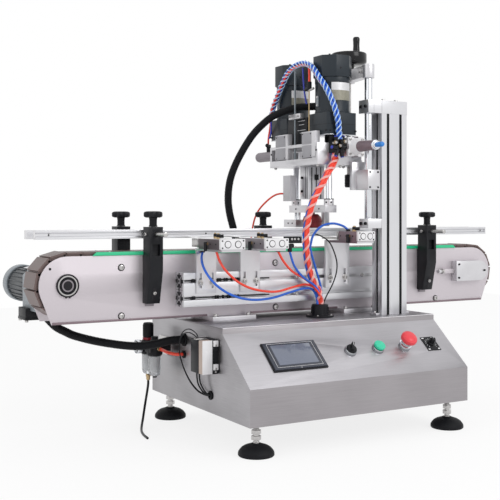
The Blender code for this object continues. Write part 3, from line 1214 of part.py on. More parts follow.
def build_stations(mats):
    """Three bottle clamps: slotted angle with a twin-rod cylinder, and the rods with their finger."""
    back = BEAM_FRONT - GAP
    for i, x in enumerate(STATION_X):
        shelf = DECK_Z + STATION_SHELF_UP[i]
        cyl_low = shelf + STATION_PLATE_T
        cyl_high = cyl_low + STATION_CYL_H
        cyl_front = STATION_CYL_FRONT[i]
        cyl_back = cyl_front + STATION_CYL_L[i]
        width = STATION_CYL_W[i]
        slots_at = STATION_PLATE_W[i] * STATION_SLOT_SHARE
        shelf_mid = (cyl_front + back + STATION_SHELF_SHY) / 2
        shelf_d = back - cyl_front - STATION_SHELF_SHY
        upright = slab((x, back - STATION_PLATE_T / 2), (STATION_PLATE_W[i], STATION_PLATE_T),
                       (DECK_Z + STATION_FOOT_UP, cyl_low))
        plate = slab((x, shelf_mid), (min(width, STATION_PLATE_W[i]), shelf_d), (shelf, cyl_low))
        cylinder = block((x - width / 2, x + width / 2), (cyl_front, cyl_back), (cyl_low - SINK, cyl_high))
        rod_z = cyl_low + STATION_CYL_H / 2
        spread = width * CLAMP_ROD_SPREAD
        bore_front = cyl_back - CLAMP_ROD_IN - BORE_SPARE
        slot_z = DECK_Z + STATION_FOOT_UP + STATION_SLOT_RISE
        cuts = []
        for side in (-1, 1):
            bore = rod("Y", (x + side * spread, rod_z), CLAMP_ROD_R + RUN, bore_front, cyl_back + OVERRUN, 16)
            slot = slab((x + side * slots_at, back), (STATION_SLOT_W, 2 * (STATION_PLATE_T + OVERRUN)),
                        (slot_z, slot_z + STATION_SLOT_L))
            cuts += [bore, slot]
        combine(f"clamp_station_{i + 1}", mats["aluminium"], upright, [plate, cylinder], cuts)
        build_clamp_rods(mats, i, x, cyl_back, spread, rod_z)


def build_clamp_rods(mats, index, x, cyl_back, spread, rod_z):
    """Two piston rods, their end plate and the finger that reaches under the front rail."""
    plate_y = cyl_back + CLAMP_PLATE_GAP
    finger_low = rod_z - STATION_CYL_H / 2 + FINGER_RISE
    finger_high = RAIL_Z - FINGER_CLEAR
    end = slab((x, plate_y + CLAMP_PLATE_T / 2), (STATION_CYL_W[index] * CLAMP_PLATE_SHARE, CLAMP_PLATE_T),
               (min(finger_low, rod_z - CLAMP_PLATE_HALF_H), rod_z + CLAMP_PLATE_HALF_H))
    adds = [rod("Y", (x + side * spread, rod_z), CLAMP_ROD_R, cyl_back - CLAMP_ROD_IN, plate_y + SINK, 16)
            for side in (-1, 1)]
    tip = FRONT_RAIL_Y + RAIL_T - FINGER_BACK
    adds.append(block((x - FINGER_W / 2, x + FINGER_W / 2), (plate_y + SINK, tip), (finger_low, finger_high)))
    combine(f"clamp_rods_{index + 1}", mats["steel"], end, adds)


def smooth_curve(route):
    """A fine smooth curve through the route's points, from the second to the last but one."""
    points = [Vector(p) for p in route]
    fine = []
    steps = 24
    for a, b, c, d in zip(points, points[1:], points[2:], points[3:]):
        for step in range(steps):
            t = step / steps
            fine.append(0.5 * ((2 * b) + (c - a) * t + (2 * a - 5 * b + 4 * c - d) * t * t
                               + (3 * b - a - 3 * c + d) * t * t * t))
    fine.append(points[-2])
    return fine


def hose_points(route, spacing):
    """The route's end pieces kept straight, with evenly spread points on the smooth curve between them."""
    fine = smooth_curve(route)
    lengths = [0.0]
    for p, q in zip(fine, fine[1:]):
        lengths.append(lengths[-1] + (q - p).length)
    count = max(8, round(lengths[-1] / spacing))
    result = [Vector(route[0])]
    index = 0
    for sample in range(count + 1):
        target = lengths[-1] * sample / count
        while index < len(fine) - 2 and lengths[index + 1] < target:
            index += 1
        share = (target - lengths[index]) / (lengths[index + 1] - lengths[index])
        result.append(fine[index].lerp(fine[index + 1], share))
    result.append(Vector(route[-1]))
    return result


def build_hose(name, mat, route, radius):
    """A hose as a bevelled curve with closed ends."""
    curve = bpy.data.curves.new(name, "CURVE")
    curve.dimensions = "3D"
    curve.bevel_depth = radius
    curve.bevel_resolution = 2
    curve.use_fill_caps = True
    spline = curve.splines.new("POLY")
    points = hose_points(route, radius * 2 * HOSE_STEP)
    spline.points.add(len(points) - 1)
    for target, point in zip(spline.points, points):
        target.co = (*point, 1.0)
    spline.use_smooth = True
    curve.materials.append(mat)
    obj = bpy.data.objects.new(name, curve)
    bpy.context.scene.collection.objects.link(obj)


def build_hoses(mats):
    """Two cable conduits, the hose bundle to the head and the filter's drain hose."""
    build_hose("conduit_left", mats["black"], CONDUIT_LEFT_ROUTE, CONDUIT_R)
    build_hose("conduit_head", mats["black"], CONDUIT_HEAD_ROUTE, CONDUIT_R)
    build_hose("hose_bundle", mats["hose"], BUNDLE_ROUTE, BUNDLE_R)
    build_hose("drain_hose", mats["black"], DRAIN_ROUTE, DRAIN_R)


def make_materials():
    """Every finish on the machine."""
    return {
        "stainless": material("brushed_stainless", (0.56, 0.55, 0.55), 0.38, 1.0),
        "plate": material("bead_blasted_stainless", (0.64, 0.60, 0.61), 0.42, 0.9),
        "aluminium": material("clear_anodised_aluminium", (0.80, 0.80, 0.82), 0.32, 0.9),
        "chrome": material("hard_chrome", (0.85, 0.86, 0.88), 0.12, 1.0),
        "steel": material("bright_steel", (0.70, 0.70, 0.71), 0.25, 1.0),
        "black": material("black_nylon", (0.012, 0.013, 0.018), 0.45),
        "motor": material("slate_paint", (0.045, 0.065, 0.085), 0.40),
        "slat": material("acetal_slat", (0.26, 0.19, 0.17), 0.45),
        "strip": material("green_polyethylene", (0.045, 0.57, 0.32), 0.40),
        "green": material("green_cap", (0.05, 0.62, 0.48), 0.35),
        "red": material("red_cap", (0.80, 0.06, 0.07), 0.35),
        "chuck": material("dark_red_silicone", (0.15, 0.008, 0.010), 0.50),
        "hose": material("red_polyurethane", (0.85, 0.06, 0.03), 0.35),
    }


def main():
    """Build the whole machine."""
    clear_scene()
    mats = make_materials()
    for build in (build_cabinet, build_deck, build_feet, build_hmi, build_controls, build_deck_gland,
                  build_air_service, build_relay_block, build_side_plates, build_bed, build_chain, build_shafts,
                  build_wear_strips, build_drive_motor, build_takeup, build_rails, build_brackets, build_column,
                  build_arm, build_handwheel, build_carriage, build_head_frame, build_motors, build_press,
                  build_beam, build_stations, build_hoses):
        build(mats)


main()
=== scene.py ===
"""Looks of the bottle capping machine: finishes, fasteners, hoses, controls, floor, light and camera.

Units are metres, +Z is up, +X runs along the conveyor and +Y points away from the operator.
Every piece keeps its object at the origin and its place in its mesh, as the solids of the frame do.
"""

import logging
import math
from collections.abc import Callable, Iterable, Sequence
from dataclasses import dataclass, field
from enum import Enum

import bmesh
import bpy
from mathutils import Matrix, Vector


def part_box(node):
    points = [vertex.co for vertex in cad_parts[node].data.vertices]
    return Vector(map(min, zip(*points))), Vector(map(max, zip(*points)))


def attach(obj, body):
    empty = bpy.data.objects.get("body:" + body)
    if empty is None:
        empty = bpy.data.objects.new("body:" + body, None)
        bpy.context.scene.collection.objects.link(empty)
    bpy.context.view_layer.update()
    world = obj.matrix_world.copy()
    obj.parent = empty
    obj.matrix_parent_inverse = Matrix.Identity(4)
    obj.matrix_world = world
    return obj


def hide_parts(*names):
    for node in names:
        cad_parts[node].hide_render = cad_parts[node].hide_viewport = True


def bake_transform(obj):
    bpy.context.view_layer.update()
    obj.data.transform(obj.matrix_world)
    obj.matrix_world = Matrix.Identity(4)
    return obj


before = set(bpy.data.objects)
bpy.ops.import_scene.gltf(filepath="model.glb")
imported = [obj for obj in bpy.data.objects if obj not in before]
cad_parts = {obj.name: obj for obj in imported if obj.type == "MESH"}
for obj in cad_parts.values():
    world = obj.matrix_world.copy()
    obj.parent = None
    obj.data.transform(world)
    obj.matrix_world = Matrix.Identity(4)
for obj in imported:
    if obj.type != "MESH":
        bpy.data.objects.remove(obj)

LOG = logging.getLogger("capping_machine")
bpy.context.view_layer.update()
MM = 0.001
CORNER_DEG = 30.0  # sharper corners are rounded


class Axis(Enum):
    """A direction that a grain or a bar runs along."""

    X = 0
    Y = 1
    Z = 2


# Colour and nodes


def linear(code: str) -> tuple[float, float, float, float]:
    """Turn an sRGB hex colour into the linear colour that a shader takes.

    Args:
        code: Colour written as #RRGGBB.

    Returns:
        Red, green, blue and an alpha of one.
    """
    parts = [int(code[i:i + 2], 16) / 255 for i in (1, 3, 5)]
    red, green, blue = (p / 12.92 if p <= 0.04045 else ((p + 0.055) / 1.055) ** 2.4 for p in parts)
    return red, green, blue, 1.0


def add_node(tree: bpy.types.NodeTree, kind: str, values: dict | None = None, links: dict | None = None,
             **settings: object) -> bpy.types.Node:
    """Add one node with its settings, its fixed values and its links.

    Args:
        tree: Shader or geometry tree that takes the node.
        kind: The node's type.
        values: Fixed values by input name or number.
        links: Sockets to link from, by input name or number.
        settings: Properties of the node itself.

    Returns:
        The new node.
    """
    node = tree.nodes.new(kind)
    for name, value in settings.items():
        setattr(node, name, value)
    for key, value in (values or {}).items():
        node.inputs[key].default_value = value
    for key, socket in (links or {}).items():
        tree.links.new(socket, node.inputs[key])
    return node


def math_node(tree: bpy.types.NodeTree, operation: str,
              *terms: float | bpy.types.NodeSocket) -> bpy.types.NodeSocket:
    """Add one math node.

    Args:
        tree: Tree that takes the node.
        operation: What it works out.
        terms: Its terms in order, each a number or a socket.

    Returns:
        The socket with the result.
    """
    sockets = {i: term for i, term in enumerate(terms) if isinstance(term, bpy.types.NodeSocket)}
    numbers = {i: term for i, term in enumerate(terms) if i not in sockets}
    return add_node(tree, "ShaderNodeMath", numbers, sockets, operation=operation).outputs[0]



# Finishes


@dataclass(frozen=True)
class Finish:
    """A surface finish, with a cloudy change of tone and a fine bump."""

    name: str
    colour: str
    roughness: float
    metallic: float = 0.0
    cloud_mm: float = 60.0
    cloud: float = 0.06
    grain_mm: float = 1.2
    bump_mm: float = 0.02
    stretch: Axis | None = None
    stretch_mm: float = 45.0
    coat: float = 0.0
    clear: float = 0.0
    ior: float = 1.5
    worn: float = 0.0
    gloss: float = 0.5

    def material(self) -> bpy.types.Material:
        """Build the material at its first use and return it.

        Returns:
            The material, shared by every piece with this finish.
        """
        if self.name in BUILT:
            return BUILT[self.name]
        mat = bpy.data.materials.new(self.name)
        mat.use_nodes = True
        tree = mat.node_tree
        shader = tree.nodes["Principled BSDF"]
        shader.inputs["Metallic"].default_value = self.metallic
        shader.inputs["Coat Weight"].default_value = self.coat
        shader.inputs["Transmission Weight"].default_value = self.clear
        if self.metallic < 0.5:
            shader.inputs["IOR"].default_value = self.ior
            shader.inputs["Specular IOR Level"].default_value = self.gloss
        self.pattern(tree, shader)
        BUILT[self.name] = mat
        return mat

    def pattern(self, tree: bpy.types.NodeTree, shader: bpy.types.Node) -> None:
        """Lay cloud and grain over the colour, the roughness and the bump.

        Args:
            tree: The material's tree.
            shader: Its surface shader.
        """
        place = add_node(tree, "ShaderNodeTexCoord").outputs["Object"]
        sizes = [1 / (self.grain_mm * MM)] * 3
        if self.stretch:
            sizes[self.stretch.value] = 1 / (self.stretch_mm * MM)
        fine = add_node(tree, "ShaderNodeMapping", {"Scale": sizes}, {"Vector": place})
        grain = add_node(tree, "ShaderNodeTexNoise", {"Scale": 1.0, "Detail": 3.0},
                         {"Vector": fine.outputs[0]})
        cloud = add_node(tree, "ShaderNodeTexNoise", {"Scale": 1 / (self.cloud_mm * MM), "Detail": 2.0},
                         {"Vector": place})
        both = add_node(tree, "ShaderNodeMix", {0: 0.5}, {2: grain.outputs[0], 3: cloud.outputs[0]})
        base = linear(self.colour)
        dark = [c * (1 - self.cloud) for c in base[:3]] + [1.0]
        pale = [min(1.0, c * (1 + self.cloud)) for c in base[:3]] + [1.0]
        tone = add_node(tree, "ShaderNodeMapRange", {"From Min": 0.35, "From Max": 0.65},
                        {"Value": both.outputs[0]})
        tint = add_node(tree, "ShaderNodeMix", {6: dark, 7: pale}, {0: tone.outputs[0]}, data_type="RGBA")
        colour = tint.outputs[2]
        if self.worn:
            colour = self.wear(tree, colour, cloud.outputs[0])
        rough = add_node(tree, "ShaderNodeMapRange", {
            "From Min": 0.3, "From Max": 0.7, "To Min": self.roughness * 0.85,
            "To Max": min(1.0, self.roughness * 1.15)}, {"Value": both.outputs[0]})
        bump = add_node(tree, "ShaderNodeBump", {"Strength": 0.6, "Distance": self.bump_mm * MM},
                        {"Height": grain.outputs[0]})
        tree.links.new(colour, shader.inputs["Base Color"])
        tree.links.new(rough.outputs[0], shader.inputs["Roughness"])
        tree.links.new(bump.outputs[0], shader.inputs["Normal"])

    def wear(self, tree: bpy.types.NodeTree, colour: bpy.types.NodeSocket,
             cloud: bpy.types.NodeSocket) -> bpy.types.NodeSocket:
        """Lighten handled edges, more in some places than in others.

        Args:
            tree: The material's tree.
            colour: Colour so far.
            cloud: Slow noise that breaks the wear up.

        Returns:
            The colour with wear.
        """
        edge = add_node(tree, "ShaderNodeNewGeometry").outputs["Pointiness"]
        sharp = add_node(tree, "ShaderNodeMapRange",
                         {"From Min": 0.51, "From Max": 0.58, "To Max": self.worn}, {"Value": edge})
        patchy = math_node(tree, "MULTIPLY", sharp.outputs[0], cloud)
        pale = [min(1.0, c * 1.6 + 0.03) for c in linear(self.colour)[:3]] + [1.0]
        return add_node(tree, "ShaderNodeMix", {7: pale}, {0: patchy, 6: colour}, data_type="RGBA").outputs[2]


BUILT: dict[str, bpy.types.Material] = {}

# Stainless sheet, brushed along X; the fine lines are drawn 1.1 mm apart so that they show
STAINLESS = Finish("brushed_stainless_sheet", "#A39FA2", 0.36, 1.0, 120, 0.08, 1.1, 0.03, Axis.X, 60)
# The slope's copy is the same sheet painted lighter: a painted highlight where the slope faces the light
STAINLESS_SLOPE_PAINTED_LIGHT = Finish("brushed_stainless_slope", "#B4B2B6", 0.42, 1.0, 140, 0.09, 1.1, 0.03, Axis.X, 60)
STAINLESS_SIDE = Finish("brushed_stainless_side", "#A5A3A6", 0.36, 1.0, 90, 0.13, 1.1, 0.03, Axis.Y, 60)
# Bead-blasted plate of the conveyor: an even, slightly warm satin
BLASTED = Finish("bead_blasted_stainless", "#CDC6CB", 0.50, 0.55, 160, 0.03, 0.9, 0.02)
# The deck's folded rim, painted near-white as a highlight: the one bright line along the cabinet's top
RIM_PAINTED_HIGHLIGHT = Finish("bright_rim_edge", "#EFEDEF", 0.50, 0.25, 90, 0.03, 1.0, 0.01)
# Extruded aluminium, clear anodised: silvery, with drawing lines along the bar
ALU_X = Finish("anodised_aluminium_x", "#DADADD", 0.34, 0.85, 90, 0.03, 0.8, 0.015, Axis.X, 80)
ALU_Z = Finish("anodised_aluminium_z", "#DADADD", 0.34, 0.85, 90, 0.03, 0.8, 0.015, Axis.Z, 80)
# Machined aluminium: the same metal with a fine, even mill pattern
ALU_MILLED = Finish("milled_aluminium", "#D2D1D4", 0.36, 0.85, 40, 0.05, 1.0, 0.02)
# Coloured anodising, from grey to bronze: matt, with only a dim shine left; the dark one, and the grey one on
# the second clamp cylinder, are painted shade on a pale cylinder's left face
ALU_GREY_AND_PAINTED_SHADE = Finish("grey_anodised_aluminium", "#8D878C", 0.42, 0.7, 30, 0.05, 1.0, 0.02)
ALU_PAINTED_SHADE = Finish("dark_anodised_aluminium", "#6A6266", 0.42, 0.6, 30, 0.05, 1.0, 0.02)
ALU_BROWN = Finish("bronze_anodised_aluminium", "#84747A", 0.42, 0.6, 30, 0.05, 1.0, 0.02)
# Polished and plated metal: sharp on bezels and guide rod, dull on screws and plain rods
BEZEL = Finish("polished_bezel", "#A9ABAF", 0.12, 1.0, 50, 0.03, 0.7, 0.004)
CHROME = Finish("hard_chrome", "#DADCE0", 0.14, 1.0, 50, 0.03, 0.7, 0.004, Axis.Z, 30)
STEEL = Finish("zinc_plated_steel", "#BDBBBA", 0.28, 1.0, 20, 0.08, 0.8, 0.01)
ROD_STEEL = Finish("ground_rod_steel", "#7C8389", 0.34, 0.8, 20, 0.06, 0.8, 0.01)
DARK_STEEL = Finish("black_oxide_steel", "#2B2A2D", 0.40, 0.8, 20, 0.1, 0.8, 0.01)
BRASS = Finish("nickelled_brass", "#B79F7A", 0.30, 1.0, 15, 0.08, 0.8, 0.01)
# Glass-filled nylon: near black with a soft sheen and a leathery moulded grain
NYLON = Finish("black_nylon", "#101116", 0.42, 0.0, 25, 0.12, 0.9, 0.04, worn=0.4, gloss=0.22)
# Rubber is flatter and phenolic glossier than the nylon, so the blacks stay apart
RUBBER = Finish("black_rubber", "#0F1014", 0.60, 0.0, 30, 0.1, 1.0, 0.03, gloss=0.2)
GLOSS_BLACK = Finish("black_phenolic", "#0B0C10", 0.16, 0.0, 30, 0.08, 2.0, 0.01, worn=0.3, gloss=0.3)
# Semi-gloss enamel on the motors, with a faint orange peel
ENAMEL = Finish("slate_enamel", "#1A232B", 0.36, 0.0, 70, 0.06, 2.5, 0.03, worn=0.4, gloss=0.35)
ENAMEL_GREY = Finish("grey_enamel", "#868D93", 0.40, 0.2, 50, 0.05, 2.5, 0.03)
# Acetal slats, brown and scuffed by bottles
ACETAL = Finish("brown_acetal", "#5C4A47", 0.40, 0.0, 35, 0.10, 1.5, 0.03, worn=0.5)
# Coloured plastics: smooth, with a faint change of tone only
POLYETHYLENE = Finish("green_polyethylene", "#2CC48C", 0.38, 0.0, 60, 0.05, 1.2, 0.02)
CAP_GREEN = Finish("green_acrylic", "#37CBA2", 0.25, 0.0, 10, 0.04, 2.0, 0.01)
CAP_RED = Finish("red_abs", "#E5414B", 0.32, 0.0, 20, 0.05, 1.0, 0.02)
RED_RING = Finish("red_acetal", "#9E1D2E", 0.35, 0.0, 10, 0.05, 1.0, 0.02)
SILICONE = Finish("dark_red_silicone", "#7A1A1F", 0.45, 0.0, 12, 0.12, 1.0, 0.04)
BLUE_TIP = Finish("blue_acetal", "#2F7FD0", 0.35, 0.0, 10, 0.05, 1.0, 0.02)
# Polyurethane tubes with a wet gloss, their milky spiral wraps and the dull cable sheath
TUBE_RED = Finish("red_polyurethane", "#F4442C", 0.30, 0.0, 40, 0.05, 2.0, 0.01, coat=0.2)
TUBE_BLUE = Finish("blue_polyurethane", "#1560CF", 0.30, 0.0, 40, 0.05, 2.0, 0.01, coat=0.2)
TUBE_NAVY = Finish("navy_polyurethane", "#1A2BA6", 0.30, 0.0, 40, 0.05, 2.0, 0.01, coat=0.2)
WRAP = Finish("milky_polyethylene", "#C4DCF6", 0.30, 0.0, 20, 0.05, 1.0, 0.01, coat=0.2)
WRAP_PINK = Finish("milky_polyethylene_on_red", "#F3B3AE", 0.32, 0.0, 20, 0.05, 1.0, 0.01, coat=0.2)
CABLE = Finish("black_pvc", "#111216", 0.40, 0.0, 30, 0.08, 1.0, 0.02, gloss=0.25)
# White nylon faces, collars and rings, and the relay's tan cover
WHITE = Finish("white_nylon", "#E4E3E5", 0.42, 0.0, 30, 0.04, 1.0, 0.03)
TAN = Finish("tan_abs", "#B9A79C", 0.45, 0.0, 20, 0.05, 1.0, 0.03)
# Powder-coated valve bodies: pale, with a darker copy on the left face as painted shade
VALVE_PALE = Finish("pale_powder_coat", "#C6C5C9", 0.45, 0.2, 20, 0.03, 0.9, 0.02)
VALVE_PAINTED_SHADE = Finish("dull_powder_coat", "#A5A4A9", 0.48, 0.2, 20, 0.03, 0.9, 0.02)
# Clear polycarbonate of the bowls
CLEAR = Finish("clear_polycarbonate", "#F1F4F6", 0.06, 0.0, 30, 0.01, 2.0, 0.005, clear=0.9, ior=1.58)
# Panel glass, its printed border, blank rating plates and white print
SCREEN = Finish("screen_glass", "#6E7484", 0.12, 0.0, 80, 0.06, 3.0, 0.002, coat=0.5)
SCREEN_FRAME = Finish("charcoal_film", "#3B3E49", 0.28, 0.0, 40, 0.06, 1.0, 0.01)
FOIL = Finish("silver_foil", "#D8D8DA", 0.38, 0.3, 15, 0.06, 1.0, 0.01)
FOIL_DULL = Finish("printed_foil", "#8F8C7E", 0.45, 0.2, 6, 0.16, 1.2, 0.01)
PRINT = Finish("white_print", "#D6D6D8", 0.45, 0.0, 6, 0.05, 1.0, 0.01)


# Mesh building


def turn_to(normal: Vector, spin: float = 0.0) -> Matrix:
    """Give the turn whose Z is a normal.

    Args:
        normal: Direction that Z takes.
        spin: Turn about that direction, in radians.

    Returns:
        A 4 x 4 turn.
    """
    quaternion = Vector(normal).normalized().to_track_quat("Z", "Y")
    return quaternion.to_matrix().to_4x4() @ Matrix.Rotation(spin, 4, "Z")


def at(point: Sequence[float], normal: Sequence[float] = (0, 0, 1), spin: float = 0.0) -> Matrix:
    """Give the place whose origin is a point and whose Z is a normal.

    Args:
        point: Where the origin goes.
        normal: Direction that Z takes.
        spin: Turn about that direction, in radians.

    Returns:
        A 4 x 4 place.
    """
    return Matrix.Translation(Vector(point)) @ turn_to(Vector(normal), spin)


def turns(count: int) -> list[Matrix]:
    """Return the even turns about Z that fill a circle."""
    return [Matrix.Rotation(2 * math.pi * k / count, 4, "Z") for k in range(count)]


def hexagon(radius: float) -> list[tuple[float, float]]:
    """Return the corners of a hexagon about the origin."""
    return [(radius * math.cos(math.pi * i / 3), radius * math.sin(math.pi * i / 3)) for i in range(6)]


def new_object(name: str, data: bpy.types.ID) -> bpy.types.Object:
    """Put data into the scene as a new object and return it."""
    obj = bpy.data.objects.new(name, data)
    bpy.context.scene.collection.objects.link(obj)
    return obj


def smooth(mesh: bpy.types.Mesh, crisp_deg: float) -> None:
    """Shade a mesh smooth, apart from edges that are sharper than an angle."""
    mesh.shade_smooth()
    mesh.set_sharp_from_angle(angle=math.radians(crisp_deg))


def evaluated(obj: bpy.types.Object) -> bpy.types.Mesh:
    """Return an object's evaluated shape as a plain mesh of its own."""
    bpy.context.view_layer.update()
    graph = bpy.context.evaluated_depsgraph_get()
    return bpy.data.meshes.new_from_object(obj.evaluated_get(graph), depsgraph=graph)



class Shape:
    """One mesh in the making: closed shells are added, each with its finish, and it ends as a piece."""

    def __init__(self) -> None:
        """Start with nothing."""
        self.bm = bmesh.new()
        self.finishes: list[Finish] = []

    def slot(self, finish: Finish) -> int:
        """Return the material index of a finish, adding it at its first use."""
        if finish not in self.finishes:
            self.finishes.append(finish)
        return self.finishes.index(finish)

    def take(self, finish: Finish, faces: Iterable[bmesh.types.BMFace]) -> None:
        """Give faces a finish."""
        index = self.slot(finish)
        for face in faces:
            face.material_index = index

    def box(self, low: Sequence[float], high: Sequence[float], finish: Finish,
            place: Matrix | None = None) -> "Shape":
        """Add a box between two corners.

        Args:
            low: Lowest corner.
            high: Highest corner.
            finish: Its finish.
            place: Where the box goes, if its corners aren't in the machine's frame.

        Returns:
            The shape itself.
        """
        lo, hi = Vector(low), Vector(high)
        matrix = (place or Matrix()) @ Matrix.Translation((lo + hi) / 2) @ Matrix.Diagonal((*(hi - lo), 1.0))
        made = bmesh.ops.create_cube(self.bm, size=1.0, matrix=matrix)
        self.take(finish, {f for v in made["verts"] for f in v.link_faces})
        return self

    def revolve(self, profile: Sequence[tuple[float, float]], finish: Finish, place: Matrix,
                sides: int = 28) -> "Shape":
        """Add a turned solid from (radius, height) points; a radius of zero closes an end.

        Args:
            profile: Points from the bottom, round the outside and to the top.
            finish: Its finish.
            place: Where its axis goes.
            sides: Corners of each ring.

        Returns:
            The shape itself.
        """
        rings = []
        for radius, height in profile:
            if radius <= 0:
                rings.append([self.bm.verts.new(place @ Vector((0, 0, height)))])
                continue
            angles = [2 * math.pi * i / sides for i in range(sides)]
            points = [place @ Vector((radius * math.cos(a), radius * math.sin(a), height)) for a in angles]
            rings.append([self.bm.verts.new(point) for point in points])
        faces = []
        for low, high in zip(rings, rings[1:]):
            faces += self.skin(low, high, sides)
        for ring in (rings[0], rings[-1]):
            if len(ring) > 1:
                faces.append(self.bm.faces.new(ring if ring is rings[-1] else ring[::-1]))
        self.take(finish, faces)
        return self

    def skin(self, low: list, high: list, sides: int) -> list:
        """Join two rings, either of which may be one point, and return the new faces."""
        faces = []
        for i in range(sides):
            j = (i + 1) % sides
            if len(low) == 1 and len(high) == 1:
                continue
            if len(low) == 1:
                corners = (low[0], high[j], high[i])
            elif len(high) == 1:
                corners = (low[i], low[j], high[0])
            else:
                corners = (low[i], low[j], high[j], high[i])
            faces.append(self.bm.faces.new(corners))
        return faces

    def rod(self, start: Sequence[float], end: Sequence[float], radius: float, finish: Finish,
            sides: int = 24, ends: float = 0.0) -> "Shape":
        """Add a round bar between two points, with chamfered ends if asked.

        Args:
            start: Middle of one end.
            end: Middle of the other end.
            radius: Its radius.
            finish: Its finish.
            sides: Corners round it.
            ends: Chamfer of the ends.

        Returns:
            The shape itself.
        """
        a, b = Vector(start), Vector(end)
        length = (b - a).length
        profile = [(radius, 0.0), (radius, length)]
        if ends:
            profile = [(radius - ends, 0.0), (radius, ends), (radius, length - ends), (radius - ends, length)]
        return self.revolve(profile, finish, at(a, b - a), sides)

    def prism(self, outline: Sequence[tuple[float, float]], height: float, finish: Finish,
              place: Matrix) -> "Shape":
        """Add an outline in the plane of its place, grown along that place's Z.

        Args:
            outline: Corners, anticlockwise.
            height: How far it grows.
            finish: Its finish.
            place: Where it goes.

        Returns:
            The shape itself.
        """
        low = [self.bm.verts.new(place @ Vector((x, y, 0))) for x, y in outline]
        high = [self.bm.verts.new(place @ Vector((x, y, height))) for x, y in outline]
        faces = [self.bm.faces.new(low[::-1]), self.bm.faces.new(high)]
        for i in range(len(low)):
            j = (i + 1) % len(low)
            faces.append(self.bm.faces.new((low[i], low[j], high[j], high[i])))
        self.take(finish, faces)
        return self

    def node(self, name: str, choose: Callable[[bmesh.types.BMFace], Finish | None]) -> "Shape":
        """Start the shape with a merged copy of a solid of the frame, with a finish for each face.

        Args:
            name: The solid's name.
            choose: Picks the finish of a face; a face without one is left out.

        Returns:
            The shape itself.
        """
        self.bm.from_mesh(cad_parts[name].data)
        bmesh.ops.remove_doubles(self.bm, verts=list(self.bm.verts), dist=2e-6)
        # The lists have a fixed order, so that every run merges the same faces
        bmesh.ops.dissolve_limit(self.bm, angle_limit=math.radians(0.5), verts=list(self.bm.verts),
                                 edges=list(self.bm.edges)[::-1])
        unwanted = []
        for face in list(self.bm.faces):
            finish = choose(face)
            if finish:
                face.material_index = self.slot(finish)
            else:
                unwanted.append(face)
        bmesh.ops.delete(self.bm, geom=unwanted, context="FACES")
        return self

    def patch(self, finish: Finish, place: Matrix, radius: float, angles: Sequence[float], low: float,
              high: float) -> None:
        """Add a thin strip that lies on a cylinder.

        Args:
            finish: Its finish.
            place: Where the cylinder's axis goes.
            radius: The cylinder's radius.
            angles: Where round the cylinder its edges lie, in radians.
            low: Its lower edge along the axis.
            high: Its upper edge along the axis.
        """
        faces = []
        for a, b in zip(angles, angles[1:]):
            corners = [place @ Vector((radius * math.cos(t), radius * math.sin(t), h))
                       for t, h in ((a, low), (b, low), (b, high), (a, high))]
            faces.append(self.bm.faces.new([self.bm.verts.new(p) for p in corners]))
        self.take(finish, faces)

    def mesh(self, name: str) -> bpy.types.Mesh:
        """Turn the shape into a mesh, which ends the shape."""
        mesh = bpy.data.meshes.new(name)
        self.bm.normal_update()
        self.bm.to_mesh(mesh)
        self.bm.free()
        return mesh

    def piece(self, name: str, body: str, bevel_mm: float = 0.0, replaces: Sequence[str] = (),
              slot: str = "") -> bpy.types.Object:
        """Turn the shape into a finished piece that rides on a body.

        Args:
            name: The piece's name.
            body: Body that it moves with.
            bevel_mm: Width of the rounding along its sharp edges.
            replaces: Solids that it stands for.
            slot: Not used.

        Returns:
            The piece.
        """
        mesh = self.mesh(name)
        obj = new_object(name, mesh)
        for finish in self.finishes:
            mesh.materials.append(finish.material())
        if bevel_mm:
            soft = obj.modifiers.new("soft edges", "BEVEL")
            soft.width = bevel_mm * MM
            soft.segments = 2
            soft.limit_method = "ANGLE"
            soft.angle_limit = math.radians(CORNER_DEG)
            soft.use_clamp_overlap = True
            soft.harden_normals = False
            settle(obj)
        smooth(obj.data, CORNER_DEG + 4)
        return mounted(obj, body, replaces)


def settle(obj: bpy.types.Object) -> None:
    """Turn an object's evaluated shape into its own plain mesh and drop its modifiers."""
    mesh = evaluated(obj)
    obj.modifiers.clear()
    obj.data = mesh


def mounted(obj: bpy.types.Object, body: str, replaces: Sequence[str] = ()) -> bpy.types.Object:
    """Let a piece ride on a body and stand for solids, and return it."""
    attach(obj, body)
    if replaces:
        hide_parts(*replaces)
    LOG.info("%s rides on %s, %d faces", obj.name, body, len(obj.data.polygons))
    return obj


def dress(solid: str, name: str, body: str, bevel_mm: float, slot: str,
          finish: Finish | Callable[[bmesh.types.BMFace], Finish | None]) -> None:
    """Make a finished piece of one solid of the frame.

    Args:
        solid: The solid, which the piece stands for.
        name: The piece's name.
        body: Body that it moves with.
        bevel_mm: Width of the rounding along its sharp edges.
        slot: Not used.
        finish: One finish, or what picks the finish of each face.
    """
    choose = (lambda face: finish) if isinstance(finish, Finish) else finish
    Shape().node(solid, choose).piece(name, body, bevel_mm, [solid], slot)


# Geometry node trees


def new_group(title: str, inputs: dict[str, str]) -> tuple[bpy.types.NodeTree, bpy.types.Node]:
    """Start a geometry tree, with geometry in and out.

    Args:
        title: The tree's name.
        inputs: Kind of each further input, by its name.

    Returns:
        The tree and its input node.
    """
    tree = bpy.data.node_groups.new(title, "GeometryNodeTree")
    tree.interface.new_socket("Geometry", in_out="INPUT", socket_type="NodeSocketGeometry")
    for name, kind in inputs.items():
        tree.interface.new_socket(name, in_out="INPUT", socket_type=f"NodeSocket{kind}")
    tree.interface.new_socket("Geometry", in_out="OUTPUT", socket_type="NodeSocketGeometry")
    return tree, tree.nodes.new("NodeGroupInput")


def close_group(tree: bpy.types.NodeTree, ins: bpy.types.Node, geometry: bpy.types.NodeSocket) -> None:
    """Give a tree's geometry the finish that comes in, and lead it out."""
    done = add_node(tree, "GeometryNodeSetMaterial", links={
        "Geometry": geometry, "Material": ins.outputs["Finish"]})
    out = tree.nodes.new("NodeGroupOutput")
    tree.links.new(done.outputs[0], out.inputs[0])



